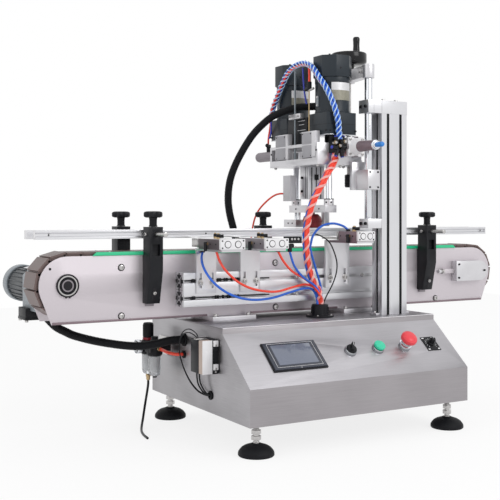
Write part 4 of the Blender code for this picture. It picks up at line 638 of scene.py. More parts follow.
class Copies:
    """Places copies of one small shape on points, each with its own turn, and makes them one mesh."""

    tree: bpy.types.NodeTree | None = None

    @classmethod
    def group(cls) -> bpy.types.NodeTree:
        """Build the tree once: instance on points, realise, set material."""
        if cls.tree:
            return cls.tree
        tree, ins = new_group("placed copies", {"Copy": "Object", "Size": "Float", "Finish": "Material"})
        shape = add_node(tree, "GeometryNodeObjectInfo", links={"Object": ins.outputs["Copy"]})
        turn = add_node(tree, "GeometryNodeInputNamedAttribute", {"Name": "turn"}, data_type="FLOAT_VECTOR")
        spin = add_node(tree, "FunctionNodeEulerToRotation", links={0: turn.outputs[0]})
        copies = add_node(tree, "GeometryNodeInstanceOnPoints", links={
            "Points": ins.outputs["Geometry"], "Instance": shape.outputs["Geometry"],
            "Rotation": spin.outputs[0], "Scale": ins.outputs["Size"]})
        real = add_node(tree, "GeometryNodeRealizeInstances", links={0: copies.outputs[0]})
        close_group(tree, ins, real.outputs[0])
        cls.tree = tree
        return tree

    @classmethod
    def piece(cls, name: str, body: str, shape: Shape, places: Sequence[Matrix], finish: Finish,
              size: float = 1.0, replaces: Sequence[str] = (), slot: str = "") -> bpy.types.Object:
        """Make one piece of all the copies.

        Args:
            name: The piece's name.
            body: Body that it moves with.
            shape: The small shape, about its own origin.
            places: Where each copy goes.
            finish: Finish of them all.
            size: Scale of the shape.
            replaces: Solids that the piece stands for.
            slot: Not used.

        Returns:
            The piece.
        """
        small = new_object("copy", shape.mesh("copy"))
        mesh = bpy.data.meshes.new(name)
        mesh.from_pydata([tuple(p.translation) for p in places], [], [])
        turns = mesh.attributes.new("turn", "FLOAT_VECTOR", "POINT")
        for entry, place in zip(turns.data, places):
            entry.vector = place.to_euler()
        obj = new_object(name, mesh)
        run_tree(obj, cls.group(), {"Copy": small, "Size": size, "Finish": finish.material()})
        bpy.data.objects.remove(small)
        smooth(obj.data, 35)
        return mounted(obj, body, replaces)


class HoseTree:
    """Sweeps a round or ribbed hose along a curve."""

    tree: bpy.types.NodeTree | None = None

    @classmethod
    def group(cls) -> bpy.types.NodeTree:
        """Build the tree once: resample, swell at each rib, sweep a circle, set material."""
        if cls.tree:
            return cls.tree
        tree, ins = new_group("swept hose", {"Radius": "Float", "Step": "Float", "Rib Pitch": "Float",
                                             "Rib Depth": "Float", "Sides": "Int", "Finish": "Material"})
        even = add_node(tree, "GeometryNodeResampleCurve", mode="LENGTH", links={
            "Curve": ins.outputs["Geometry"], "Length": ins.outputs["Step"]})
        along = add_node(tree, "GeometryNodeSplineParameter").outputs["Length"]
        ribs = math_node(tree, "DIVIDE", along, ins.outputs["Rib Pitch"])
        phase = math_node(tree, "MULTIPLY", ribs, 2 * math.pi)
        wave = math_node(tree, "SINE", phase)
        swell = math_node(tree, "MULTIPLY", wave, ins.outputs["Rib Depth"])
        radius = math_node(tree, "ADD", ins.outputs["Radius"], swell)
        ring = add_node(tree, "GeometryNodeCurvePrimitiveCircle", {"Radius": 1.0},
                        {"Resolution": ins.outputs["Sides"]})
        sweep = add_node(tree, "GeometryNodeCurveToMesh", {"Fill Caps": True}, {
            "Curve": even.outputs[0], "Profile Curve": ring.outputs[0], "Scale": radius})
        close_group(tree, ins, sweep.outputs[0])
        cls.tree = tree
        return tree


def run_tree(obj: bpy.types.Object, tree: bpy.types.NodeTree, values: dict[str, object]) -> None:
    """Run a geometry tree on an object and keep the result as its plain mesh.

    Args:
        obj: Object that the tree works on.
        tree: The tree.
        values: Its named inputs.
    """
    modifier = obj.modifiers.new(tree.name, "NODES")
    modifier.node_group = tree
    for item in tree.interface.items_tree:
        if item.item_type == "SOCKET" and item.in_out == "INPUT" and item.name in values:
            modifier[item.identifier] = values[item.name]
    obj.update_tag()
    if obj.type == "MESH":
        settle(obj)
        return
    mesh = evaluated(obj)
    name = obj.name
    bpy.data.objects.remove(obj)
    new_object(name, mesh)


# Fasteners


class Head(Enum):
    """Kinds of screw head: outer radius, height, drive radius and rounding, for a nominal radius of one."""

    CAP = (1.0, 1.1, 0.50, 0.12)
    BUTTON = (1.0, 0.62, 0.42, 0.40)
    HEX = (1.0, 0.72, 0.0, 0.10)
    PAN = (1.0, 0.55, 0.36, 0.30)

    def shape(self) -> Shape:
        """Build the head about the origin, seated at a height of zero."""
        radius, height, drive, rounding = self.value
        if self is Head.HEX:
            shape = Shape().prism(hexagon(1.0), height, STEEL, Matrix())
            return shape.revolve([(0.5, height), (0.5, height + 0.3), (0.4, height + 0.38)], STEEL, Matrix(),
                                 12)
        profile = [(radius, 0.0), (radius, height - rounding),
                   (radius - rounding * 0.45, height - rounding * 0.2), (radius - rounding, height),
                   (drive, height), (drive * 0.95, height * 0.35), (0.0, height * 0.3)]
        return Shape().revolve(profile, STEEL, Matrix(), 12)


def screws(name: str, body: str, head: Head, radius_mm: float, spots: Sequence[tuple],
           finish: Finish = STEEL) -> bpy.types.Object:
    """Set screws of one kind on a body.

    Args:
        name: Name of the piece that they make.
        body: Body that they ride on.
        head: Kind of head.
        radius_mm: Radius of the head, in millimetres.
        spots: Pairs of a point and the outward direction there.
        finish: Their finish.

    Returns:
        The piece.
    """
    places = [at(point, normal, 0.7 * index) for index, (point, normal) in enumerate(spots)]
    return Copies.piece(name, body, head.shape(), places, finish, radius_mm * MM)


# Routes


@dataclass
class Route:
    """A smooth line through given points, for a hose, a tube or a cable."""

    points: Sequence[Sequence[float]]
    line: list[Vector] = field(init=False)

    def __post_init__(self) -> None:
        """Lay the smooth line, evenly stepped."""
        knots = [Vector(p) for p in self.points]
        knots = [knots[0] * 2 - knots[1], *knots, knots[-1] * 2 - knots[-2]]
        self.line = []
        steps = 12
        for a, b, c, d in zip(knots, knots[1:], knots[2:], knots[3:]):
            for step in range(steps):
                t = step / steps
                self.line.append(0.5 * ((2 * b) + (c - a) * t + (2 * a - 5 * b + 4 * c - d) * t * t
                                        + (3 * b - a - 3 * c + d) * t * t * t))
        self.line.append(knots[-2])

    def length(self) -> float:
        """Return the line's length."""
        return sum((b - a).length for a, b in zip(self.line, self.line[1:]))

    def strand(self, off: float, turns_per_m: float, phase: float) -> list[Vector]:
        """Wind a line round the route.

        Args:
            off: Distance from the route's own line.
            turns_per_m: Turns for each metre.
            phase: Where round the route it starts, in radians.

        Returns:
            The wound line's points.
        """
        result = []
        side = Vector((0.3, 1.0, 0.2))
        done = 0.0
        for i, point in enumerate(self.line):
            ahead = self.line[min(i + 1, len(self.line) - 1)]
            behind = self.line[max(i - 1, 0)]
            tangent = (ahead - behind).normalized()
            side = (side - tangent * side.dot(tangent)).normalized()
            other = tangent.cross(side)
            angle = phase + 2 * math.pi * turns_per_m * done
            result.append(point + (side * math.cos(angle) + other * math.sin(angle)) * off)
            done += (ahead - point).length
        return result


def hose(name: str, line: Sequence[Vector], radius: float, finish: Finish, rib_pitch: float = 0.0,
         rib_depth: float = 0.0, sides: int = 10, step: float = 0.004) -> bpy.types.Object:
    """Sweep a hose along a line.

    Args:
        name: Its name.
        line: Points that it follows.
        radius: Its radius.
        finish: Its finish.
        rib_pitch: Distance from rib to rib, or nought for a smooth hose.
        rib_depth: Height of a rib above the mean.
        sides: Corners round it.
        step: Distance between its rings.

    Returns:
        The hose, which doesn't ride on anything yet.
    """
    curve = bpy.data.curves.new(name, "CURVE")
    curve.dimensions = "3D"
    spline = curve.splines.new("POLY")
    spline.points.add(len(line) - 1)
    for target, point in zip(spline.points, line):
        target.co = (*point, 1.0)
    obj = new_object(name, curve)
    run_tree(obj, HoseTree.group(), {
        "Radius": radius, "Step": rib_pitch / 6 if rib_pitch else step, "Rib Pitch": rib_pitch or 1.0,
        "Rib Depth": rib_depth, "Sides": sides, "Finish": finish.material()})
    made = bpy.data.objects[name]
    smooth(made.data, 60)
    return made


def joined(name: str, parts: Sequence[bpy.types.Object]) -> bpy.types.Object:
    """Join meshes that are still free into one object.

    Args:
        name: Name of the result.
        parts: Meshes to join; they are removed.

    Returns:
        The one object.
    """
    bm = bmesh.new()
    materials: list[bpy.types.Material] = []
    for part in parts:
        start = len(bm.faces)
        bm.from_mesh(part.data)
        bm.faces.ensure_lookup_table()
        own = list(part.data.materials)
        for face in bm.faces[start:]:
            mat = own[face.material_index]
            if mat not in materials:
                materials.append(mat)
            face.material_index = materials.index(mat)
    for part in parts:
        bpy.data.objects.remove(part)
    mesh = bpy.data.meshes.new(name)
    bm.to_mesh(mesh)
    bm.free()
    for mat in materials:
        mesh.materials.append(mat)
    smooth(mesh, 50)
    return new_object(name, mesh)


# Sizes and places shared with the solids, in metres

SLOPE_ANGLE = math.atan2(0.1045, 0.1245)
SLOPE_NORMAL = Vector((0.0, -math.sin(SLOPE_ANGLE), math.cos(SLOPE_ANGLE)))
SLOPE_UP = Vector((0.0, math.cos(SLOPE_ANGLE), math.sin(SLOPE_ANGLE)))
BASE_LEFT, BASE_FRONT, BASE_BACK = -0.2925, -0.325, 0.187
KNEE_Z, DECK_Z = 0.151, 0.2695
PLATE_FRONT, PLATE_BACK = -0.0430, 0.0470
SHAFT_Z, SHAFT_X = 0.366, 0.600
LANE_Y = 0.002
# Selector, start and stop button along the panel, and how far up the slope they and the dial sit
CONTROL_XS, CONTROL_S = (0.012, 0.0925, 0.173), 0.080
DIAL_X, DIAL_S = 0.2585, 0.083


def on_slope(x: float, up: float) -> Matrix:
    """Give a place on the control panel, with its Z along the panel's normal.

    Args:
        x: Place along the panel.
        up: Distance up the slope from its lower edge.

    Returns:
        A 4 x 4 place.
    """
    spot = Vector((x, BASE_FRONT, KNEE_Z)) + SLOPE_UP * up
    return Matrix.Translation(spot) @ Matrix.Rotation(SLOPE_ANGLE, 4, "X")


# Sub-assemblies


@dataclass
class Cabinet:
    """Folded base with its deck, its feet and the plain cover at the back."""

    edge_mm: float = 1.0
    rim_r: float = 0.0154
    foot_r: float = 0.040

    def finish_of(self, face: bmesh.types.BMFace) -> Finish:
        """Pick the finish of a face of the shell: bezels are polished, each wall has its own grain, and the
        slope takes a lighter copy of the sheet as a painted highlight.
        """
        middle = face.calc_center_median()
        from_knee = middle - Vector((0, BASE_FRONT, KNEE_Z))
        height, up = from_knee.dot(SLOPE_NORMAL), from_knee.dot(SLOPE_UP)
        for x in CONTROL_XS:
            if math.hypot(middle.x - x, up - CONTROL_S) < self.rim_r + 0.0006 and height > 0.0004:
                return BEZEL
        if abs(middle.x - DIAL_X) < 0.021 and abs(up - DIAL_S) < 0.023 and height > 0.0002:
            return DARK_STEEL
        if abs(face.normal.x) > 0.9:
            return STAINLESS_SIDE
        # Faces of the slope take the lighter copy, a painted highlight
        if face.normal.dot(SLOPE_NORMAL) > 0.9:
            return STAINLESS_SLOPE_PAINTED_LIGHT
        return STAINLESS

    def build(self) -> None:
        """Make the shell, deck, feet, grommets and back cover."""
        dress("cabinet_shell", "cabinet_sheet", "frame", self.edge_mm, "stainless", self.finish_of)
        # The rim facing the front is a painted highlight; the deck's top takes the slope's lighter painted
        # copy
        Shape().node("top_deck", lambda face: RIM_PAINTED_HIGHLIGHT if face.normal.y < -0.9 else STAINLESS_SLOPE_PAINTED_LIGHT).piece(
            "deck_sheet", "frame", 0.8, ["top_deck"], "stainless")
        self.feet()
        self.grommets()
        self.back_cover()

    def feet(self) -> None:
        """Make the four levelling feet: ribbed dome, plated stud and two hexagon nuts."""
        for name in ("front_left", "front_right", "rear_left", "rear_right"):
            low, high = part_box(f"foot_{name}")
            x, y = (low.x + high.x) / 2, (low.y + high.y) / 2
            place = at((x, y, 0))
            r = self.foot_r
            dome = [(r - 0.002, 0.0), (r, 0.002), (r, 0.006), (r * 0.985, 0.009), (r * 0.93, 0.0125),
                    (r * 0.82, 0.0175), (r * 0.66, 0.0215), (r * 0.46, 0.0243), (r * 0.30, 0.0254),
                    (r * 0.28, 0.0272), (0.008, 0.0275)]
            shape = Shape().revolve(dome, RUBBER, place, 48)
            shape.revolve([(0.0075, 0.0270), (0.0075, 0.0300), (0.006, 0.0310), (0.006, 0.0685)], STEEL,
                          place, 20)
            for z0, z1 in ((0.0345, 0.0435), (0.0475, 0.0560)):
                shape.prism(hexagon(0.0112), z1 - z0, STEEL, at((x, y, z0), (0, 0, 1), 0.4 + z0 * 9))
            for k in range(9):
                z = 0.0572 + k * 0.0012
                shape.revolve([(0.0061, z), (0.0067, z + 0.0005), (0.0061, z + 0.0010)], STEEL, place, 16)
            shape.piece(f"level_foot_{name}", "frame", 0.5, [f"foot_{name}"], "black_plastic")

    def grommets(self) -> None:
        """Make the rubber grommets in the left wall."""
        shape = Shape()
        for y, z, r in ((-0.144, 0.110, 0.0075), (-0.002, 0.186, 0.0065), (-0.004, 0.2215, 0.0128)):
            place = at((BASE_LEFT, y, z), (-1, 0, 0))
            shape.revolve([(r, 0.0002), (r + 0.003, 0.0006), (r + 0.003, 0.0028), (r + 0.001, 0.0042),
                           (r - 0.002, 0.0042), (r - 0.002, 0.0004)], RUBBER, place, 24)
        shape.piece("wall_grommets", "frame", 0.0, (), "black_plastic")

    def back_cover(self) -> None:
        """Make the plain service cover at the back, with louvres and screws."""
        y = BASE_BACK
        Shape().box((-0.235, y + 0.0002, 0.090), (0.265, y + 0.0016, 0.245), STAINLESS).piece(
            "service_cover", "frame", 0.5, (), "stainless")
        louvre = Shape().prism([(0, 0), (0.0045, 0.0), (0, 0.0065)], 0.110, STAINLESS, at((0, 0, -0.055)))
        places = []
        for row in range(6):
            for x in (-0.120, 0.150):
                spot = Matrix(((0, 0, 1, x), (1, 0, 0, y + 0.0014), (0, 1, 0, 0.125 + row * 0.016),
                               (0, 0, 0, 1)))
                places.append(spot)
        Copies.piece("cover_louvres", "frame", louvre, places, STAINLESS)
        spots = [((x, y + 0.0016, z), (0, 1, 0)) for x in (-0.225, 0.015, 0.255) for z in (0.098, 0.237)]
        screws("cover_screws", "frame", Head.PAN, 3.6, spots)


@dataclass
class ControlPanel:
    """Touch panel and the four controls on the slope."""

    hmi_x: float = -0.143
    hmi_s: float = 0.081
    rim_h: float = 0.0093

    def build(self) -> None:
        """Make each control."""
        self.touch_panel()
        self.selector()
        self.buttons()
        self.speed_dial()

    def touch_panel(self) -> None:
        """Make the touch panel: chamfered bezel, printed film and the glass."""
        place = on_slope(self.hmi_x, self.hmi_s)
        w, d = 0.0715, 0.0415
        shape = Shape()
        outline = [(-w, -d), (w, -d), (w, d), (-w, d)]
        shape.prism(outline, 0.0042, NYLON, place @ Matrix.Translation((0, 0, 0.0003)))
        inner = [(x * 0.965, y * 0.945) for x, y in outline]
        shape.prism(inner, 0.0026, SCREEN_FRAME, place @ Matrix.Translation((0, 0, 0.0043)))
        shape.prism([(x * 0.73, y * 0.70) for x, y in outline], 0.0003, SCREEN,
                    place @ Matrix.Translation((0.0, 0.002, 0.00685)))
        shape.piece("touch_panel", "frame", 0.7, ["hmi_panel"], "black_plastic")
        lines = Shape()
        half_x, half_y = 0.0600, 0.0345
        film = place @ Matrix.Translation((0, 0.001, 0.0070))
        for side in (-1, 1):
            edge = side * half_x
            lines.box((edge - 0.0004, -half_y, 0), (edge + 0.0004, half_y, 0.00015), PRINT, film)
        for side in (-1, 1):
            edge = side * half_y
            lines.box((-half_x, edge - 0.0004, 0), (half_x, edge + 0.0004, 0.00015), PRINT, film)
        lines.box((-0.0015, -0.0388, 0), (0.0015, -0.0372, 0.0002), PRINT,
                  place @ Matrix.Translation((0, 0, 0.0070)))
        lines.piece("touch_panel_lines", "frame")

    def selector(self) -> None:
        """Make the selector: collar, round body and a waisted lever with a pale pointer."""
        place = on_slope(CONTROL_XS[0], CONTROL_S)
        lift = self.rim_h
        shape = Shape().revolve([(0.0107, -0.010), (0.0107, lift), (0.0128, lift), (0.0130, lift + 0.002),
                                 (0.0118, lift + 0.0046), (0.0105, lift + 0.005)], NYLON, place, 32)
        lever = place @ Matrix.Rotation(math.radians(-30), 4, "Z")
        outline = [(-0.0030, -0.0112), (0.0030, -0.0112), (0.0024, 0.0), (0.0032, 0.0120), (0.0020, 0.0140),
                   (-0.0020, 0.0140), (-0.0032, 0.0120), (-0.0024, 0.0)]
        shape.prism(outline, 0.0115, NYLON, lever @ Matrix.Translation((0, 0, lift + 0.0004)))
        shape.box((-0.0006, 0.004, lift + 0.0118), (0.0006, 0.013, lift + 0.0121), PRINT, lever)
        shape.piece("selector_lever", "selector", 0.5, ["selector_knob"], "black_plastic")

    def buttons(self) -> None:
        """Make the flush start button and the mushroom stop button, with its collar and stem."""
        place = on_slope(CONTROL_XS[1], CONTROL_S)
        sit = self.rim_h + 0.0030
        profile = [(0.0107, -0.010), (0.0107, sit), (0.0138, sit), (0.0140, sit + 0.0036),
                   (0.0134, sit + 0.0050), (0.0120, sit + 0.0057), (0.0, sit + 0.0060)]
        Shape().revolve(profile, CAP_GREEN, place, 40).piece("start_cap", "start", 0, ["start_button"],
                                                             "green_cap")

        place = on_slope(CONTROL_XS[2], CONTROL_S)
        sit = self.rim_h + 0.014
        head = [(0.0107, -0.012), (0.0107, sit - 0.004), (0.0128, sit - 0.0035), (0.0165, sit),
                (0.0193, sit + 0.0022), (0.0200, sit + 0.0048), (0.0200, sit + 0.0098),
                (0.0192, sit + 0.0122), (0.0180, sit + 0.0130), (0.0165, sit + 0.0152),
                (0.0120, sit + 0.0172), (0.0060, sit + 0.0180), (0.0, sit + 0.0181)]
        shape = Shape().revolve(head[2:], CAP_RED, place, 44)
        shape.revolve([(0.0107, -0.012), (0.0107, sit - 0.0032)], WHITE, place, 32)
        shape.piece("stop_mushroom", "estop", 0, ["estop_head"], "red_cap")
        collar = Shape().revolve([(0.0112, self.rim_h), (0.0150, self.rim_h), (0.0150, self.rim_h + 0.0022),
                                  (0.0128, self.rim_h + 0.0034), (0.0126, self.rim_h + 0.0080),
                                  (0.0112, self.rim_h + 0.0080)], CHROME, place, 32)
        collar.piece("stop_collar", "frame", 0, (), "stainless")

    def speed_dial(self) -> None:
        """Make the dial plate with its generic tick marks, and the knurled knob."""
        place = on_slope(DIAL_X, DIAL_S)
        plate = Shape().box((-0.0200, -0.0220, 0.0012), (0.0200, 0.0220, 0.0015), NYLON, place)
        plate.piece("dial_film", "frame", 0.2)
        tick = Shape().box((-0.0005, 0.0, 0.0), (0.0005, 0.0042, 0.00015), PRINT)
        places = []
        for k in range(11):
            turn = Matrix.Rotation(math.radians(135 - 27 * k), 4, "Z")
            places.append(place @ turn @ Matrix.Translation((0, 0.0118, 0.0015)))
        Copies.piece("dial_ticks", "frame", tick, places, PRINT)
        marks = Shape()
        for x, y in ((-0.0150, -0.0180), (0.0150, -0.0180), (-0.0150, 0.0180), (0.0150, 0.0180)):
            marks.box((x - 0.0032, y - 0.0018, 0.0015), (x + 0.0032, y + 0.0018, 0.00165), PRINT, place)
        marks.piece("dial_marks", "frame")
        low = 0.0016
        knob = Shape().revolve([(0.0037, -0.012), (0.0037, low), (0.0080, low), (0.0080, low + 0.0035),
                                (0.0066, low + 0.0045), (0.0062, low + 0.0155), (0.0050, low + 0.0176),
                                (0.0, low + 0.0178)], NYLON, place, 32)
        for turn in turns(20):
            knob.box((0.0060, -0.0004, low + 0.0050), (0.0068, 0.0004, low + 0.0150), NYLON, place @ turn)
        knob.box((-0.0005, 0.0010, low + 0.0177), (0.0005, 0.0052, low + 0.0180), PRINT, place)
        knob.piece("speed_knob_cap", "speed", 0.0, ["speed_knob"], "black_plastic")


@dataclass
class AirService:
    """Filter, regulator, lubricator and gauge on the left wall, and the relay in its socket."""

    x: float = -0.3325
    y: float = 0.123
    y_front: float = 0.083
    z: float = 0.178

    def build(self) -> None:
        """Make the air service unit, the relay and their lines."""
        self.unit()
        self.knob()
        self.relay()
        self.drain()
        self.lines()

    def unit(self) -> None:
        """Make the cast bodies, the clear bowls, the gauge and the wall bracket."""
        x, y, yf, z = self.x, self.y, self.y_front, self.z
        shape = Shape()
        for middle in (y, yf):
            shape.revolve([(0.0160, z - 0.004), (0.0195, z), (0.0198, z + 0.012), (0.0185, z + 0.026),
                           (0.0150, z + 0.0318)], NYLON, at((x, middle, 0)), 32)
            shape.box((x - 0.0185, middle - 0.0165, z + 0.006), (x + 0.0185, middle + 0.0165, z + 0.024),
                      NYLON)
        shape.box((x - 0.012, yf + 0.010, z + 0.007), (x + 0.012, y - 0.010, z + 0.023), NYLON)
        shape.box((x + 0.010, yf - 0.012, z + 0.008), (BASE_LEFT - 0.0004, y + 0.012, z + 0.022), NYLON)
        shape.box((BASE_LEFT - 0.0030, yf - 0.016, z - 0.006), (BASE_LEFT - 0.0004, y + 0.016, z + 0.040),
                  STEEL)
        shape.revolve([(0.0105, z + 0.031), (0.0105, z + 0.036), (0.0085, z + 0.0375), (0.0085, z + 0.0440)],
                      NYLON, at((x, yf, 0)), 24)
        shape.revolve([(0.0138, z + 0.0310), (0.0140, z + 0.0375)], RED_RING, at((x, y, 0)), 28)
        for middle in (y, yf):
            shape.revolve([(0.0040, z - 0.054), (0.0095, z - 0.0535), (0.0135, z - 0.0500),
                           (0.0153, z - 0.0430), (0.0157, z - 0.0100), (0.0160, z - 0.001)], CLEAR,
                           at((x, middle, 0)), 28)
            shape.revolve([(0.0045, z - 0.046), (0.0075, z - 0.040), (0.0080, z - 0.010),
                           (0.0110, z - 0.004)],
                          WHITE, at((x, middle, 0)), 20)
        shape.revolve([(0.0032, z - 0.0705), (0.0050, z - 0.0690), (0.0050, z - 0.0620), (0.0062, z - 0.0610),
                       (0.0062, z - 0.0570), (0.0045, z - 0.0535)], BRASS, at((x, y, 0)), 12)
        shape.revolve([(0.0050, z - 0.058), (0.0055, z - 0.0535)], NYLON, at((x, yf, 0)), 16)
        gauge = at((x - 0.0165, y, z + 0.016), (-1, 0, 0))
        shape.revolve([(0.0060, 0.0), (0.0065, 0.004), (0.0170, 0.0045), (0.0180, 0.0060), (0.0180, 0.0160),
                       (0.0168, 0.0172), (0.0160, 0.0160), (0.0158, 0.0130), (0.0, 0.0130)], CHROME, gauge,
                       32)
        shape.revolve([(0.0157, 0.0131), (0.0, 0.0132)], WHITE, gauge, 32)
        shape.box((-0.0005, -0.003, 0.0134), (0.0005, 0.0105, 0.0138), DARK_STEEL,
                  gauge @ Matrix.Rotation(math.radians(40), 4, "Z"))
        shape.revolve([(0.0014, 0.0132), (0.0014, 0.0142)], DARK_STEEL, gauge, 12)
        shape.revolve([(0.0158, 0.0150), (0.0120, 0.0162), (0.0, 0.0166)], CLEAR, gauge, 32)
        for k in range(9):
            turn = gauge @ Matrix.Rotation(math.radians(-120 + 30 * k), 4, "Z")
            shape.box((-0.0003, 0.0115, 0.0132), (0.0003, 0.0145, 0.0135), DARK_STEEL, turn)
        shape.revolve([(0.0055, 0.0), (0.0055, 0.004), (0.0042, 0.005), (0.0042, 0.012)], BRASS,
                      at((x + 0.004, yf - 0.0155, z + 0.015), (0, -1, 0)), 16)
        shape.piece("air_service_unit", "frame", 0.6, ["frl_unit"], "black_plastic")

    def knob(self) -> None:
        """Make the regulator's ribbed knob."""
        low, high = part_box("regulator_knob")
        place = at((self.x, self.y, 0))
        shape = Shape().revolve([(0.0130, low.z), (0.0130, high.z - 0.004), (0.0120, high.z - 0.001),
                                 (0.0105, high.z), (0.0100, high.z - 0.0015), (0.0, high.z - 0.0015)], NYLON,
                                 place, 40)
        for turn in turns(28):
            shape.box((0.0125, -0.0006, low.z + 0.002), (0.0135, 0.0006, high.z - 0.005), NYLON, place @ turn)
        shape.piece("regulator_cap", "regulator", 0.0, ["regulator_knob"], "black_plastic")

    def relay(self) -> None:
        """Make the socket with its terminal steps, the relay and the retaining clip."""
        left = BASE_LEFT
        front, back, low, top = -0.1837, -0.1233, 0.1650, 0.2420
        shape = Shape()
        shape.box((left - 0.0175, front + 0.0040, low), (left - 0.0004, back, top), NYLON)
        for z0, z1 in ((low, low + 0.0240), (top - 0.0240, top)):
            shape.box((left - 0.0165, front, z0), (left - 0.0010, front + 0.0045, z1), NYLON)
            shape.box((left - 0.0150, front - 0.0020, z0 + 0.0090),
                      (left - 0.0025, front + 0.0010, z1 - 0.0015), WHITE)
        shape.box((left - 0.0420, -0.1640, low + 0.0006), (left - 0.0170, back - 0.0006, top - 0.0006), NYLON)
        shape.box((left - 0.0416, front + 0.0012, low + 0.0010), (left - 0.0172, -0.1636, top - 0.0010), TAN)
        shape.box((left - 0.0420, front - 0.0002, low + 0.0006),
                  (left - 0.0170, front + 0.0016, top - 0.0006), WHITE)
        shape.box((left - 0.0360, front - 0.0010, low + 0.0240),
                  (left - 0.0230, front + 0.0010, top - 0.0240), WHITE)
        shape.box((left - 0.0424, -0.1560, top - 0.0016), (left - 0.0160, -0.1400, top + 0.0012), STEEL)
        shape.piece("relay_and_socket", "frame", 0.8, ["relay_block"], "black_plastic")
        spots = []
        for z in (0.1700, 0.1770, 0.2300, 0.2370):
            spots.append(((left - 0.0088, front - 0.0021 if 0.174 < z < 0.233 else front, z), (0, -1, 0)))
        screws("relay_terminals", "frame", Head.PAN, 2.6, spots)

    def drain(self) -> None:
        """Lay the filter's drain hose, a free hose that ends open on the floor."""
        points = [(-0.3325, 0.1230, 0.1066), (-0.3325, 0.1230, 0.0980), (-0.3360, 0.1210, 0.0800),
                  (-0.3420, 0.1160, 0.0600), (-0.3510, 0.1050, 0.0380), (-0.3620, 0.0880, 0.0190),
                  (-0.3740, 0.0670, 0.0080), (-0.3850, 0.0430, 0.0036), (-0.3940, 0.0180, 0.0033),
                  (-0.4010, -0.0100, 0.0033), (-0.4050, -0.0400, 0.0033)]
        route = Route(points)
        piece = mounted(hose("drain_line", route.line, 0.003, CABLE, sides=12, step=0.003), "frame",
                        ["drain_hose"])

    def lines(self) -> None:
        """Make the air line into the cabinet and the relay's cables."""
        red = Route([(-0.3285, 0.0560, 0.1930), (-0.3290, 0.0420, 0.1925), (-0.3240, 0.0200, 0.1890),
                     (-0.3120, 0.0040, 0.1862), (-0.3000, -0.0015, 0.1858), (-0.2900, -0.0020, 0.1858)])
        mounted(hose("air_line_in", red.line, 0.0040, TUBE_RED), "frame", ())
        cables = [
            [(-0.3080, -0.1130, 0.2310), (-0.3110, -0.1060, 0.2480), (-0.3160, -0.0760, 0.2560),
             (-0.3180, -0.0420, 0.2420), (-0.3160, -0.0240, 0.2100), (-0.3120, -0.0300, 0.1720),
             (-0.3080, -0.0600, 0.1370), (-0.3050, -0.1000, 0.1160), (-0.3000, -0.1330, 0.1105),
             (-0.2900, -0.1430, 0.1100)],
            [(-0.3120, -0.1170, 0.2310), (-0.3150, -0.1120, 0.2420), (-0.3200, -0.0860, 0.2490),
             (-0.3220, -0.0520, 0.2390), (-0.3200, -0.0330, 0.2100), (-0.3160, -0.0360, 0.1740),
             (-0.3120, -0.0680, 0.1360), (-0.3080, -0.1060, 0.1150), (-0.3010, -0.1370, 0.1090),
             (-0.2900, -0.1440, 0.1085)],
            [(-0.3110, -0.1100, 0.1620), (-0.3120, -0.1105, 0.1500), (-0.3110, -0.1170, 0.1310),
             (-0.3060, -0.1340, 0.1150), (-0.2990, -0.1420, 0.1110), (-0.2900, -0.1440, 0.1110)],
            [(-0.3080, -0.1170, 0.1620), (-0.3090, -0.1175, 0.1500), (-0.3080, -0.1230, 0.1330),
             (-0.3040, -0.1380, 0.1170), (-0.2980, -0.1450, 0.1120), (-0.2900, -0.1455, 0.1115)],
        ]
        parts = [hose(f"cable_{i}", Route(points).line, 0.0019 if i > 1 else 0.0013, CABLE, sides=8)
                 for i, points in enumerate(cables)]
        mounted(joined("relay_cables", parts), "frame", ())


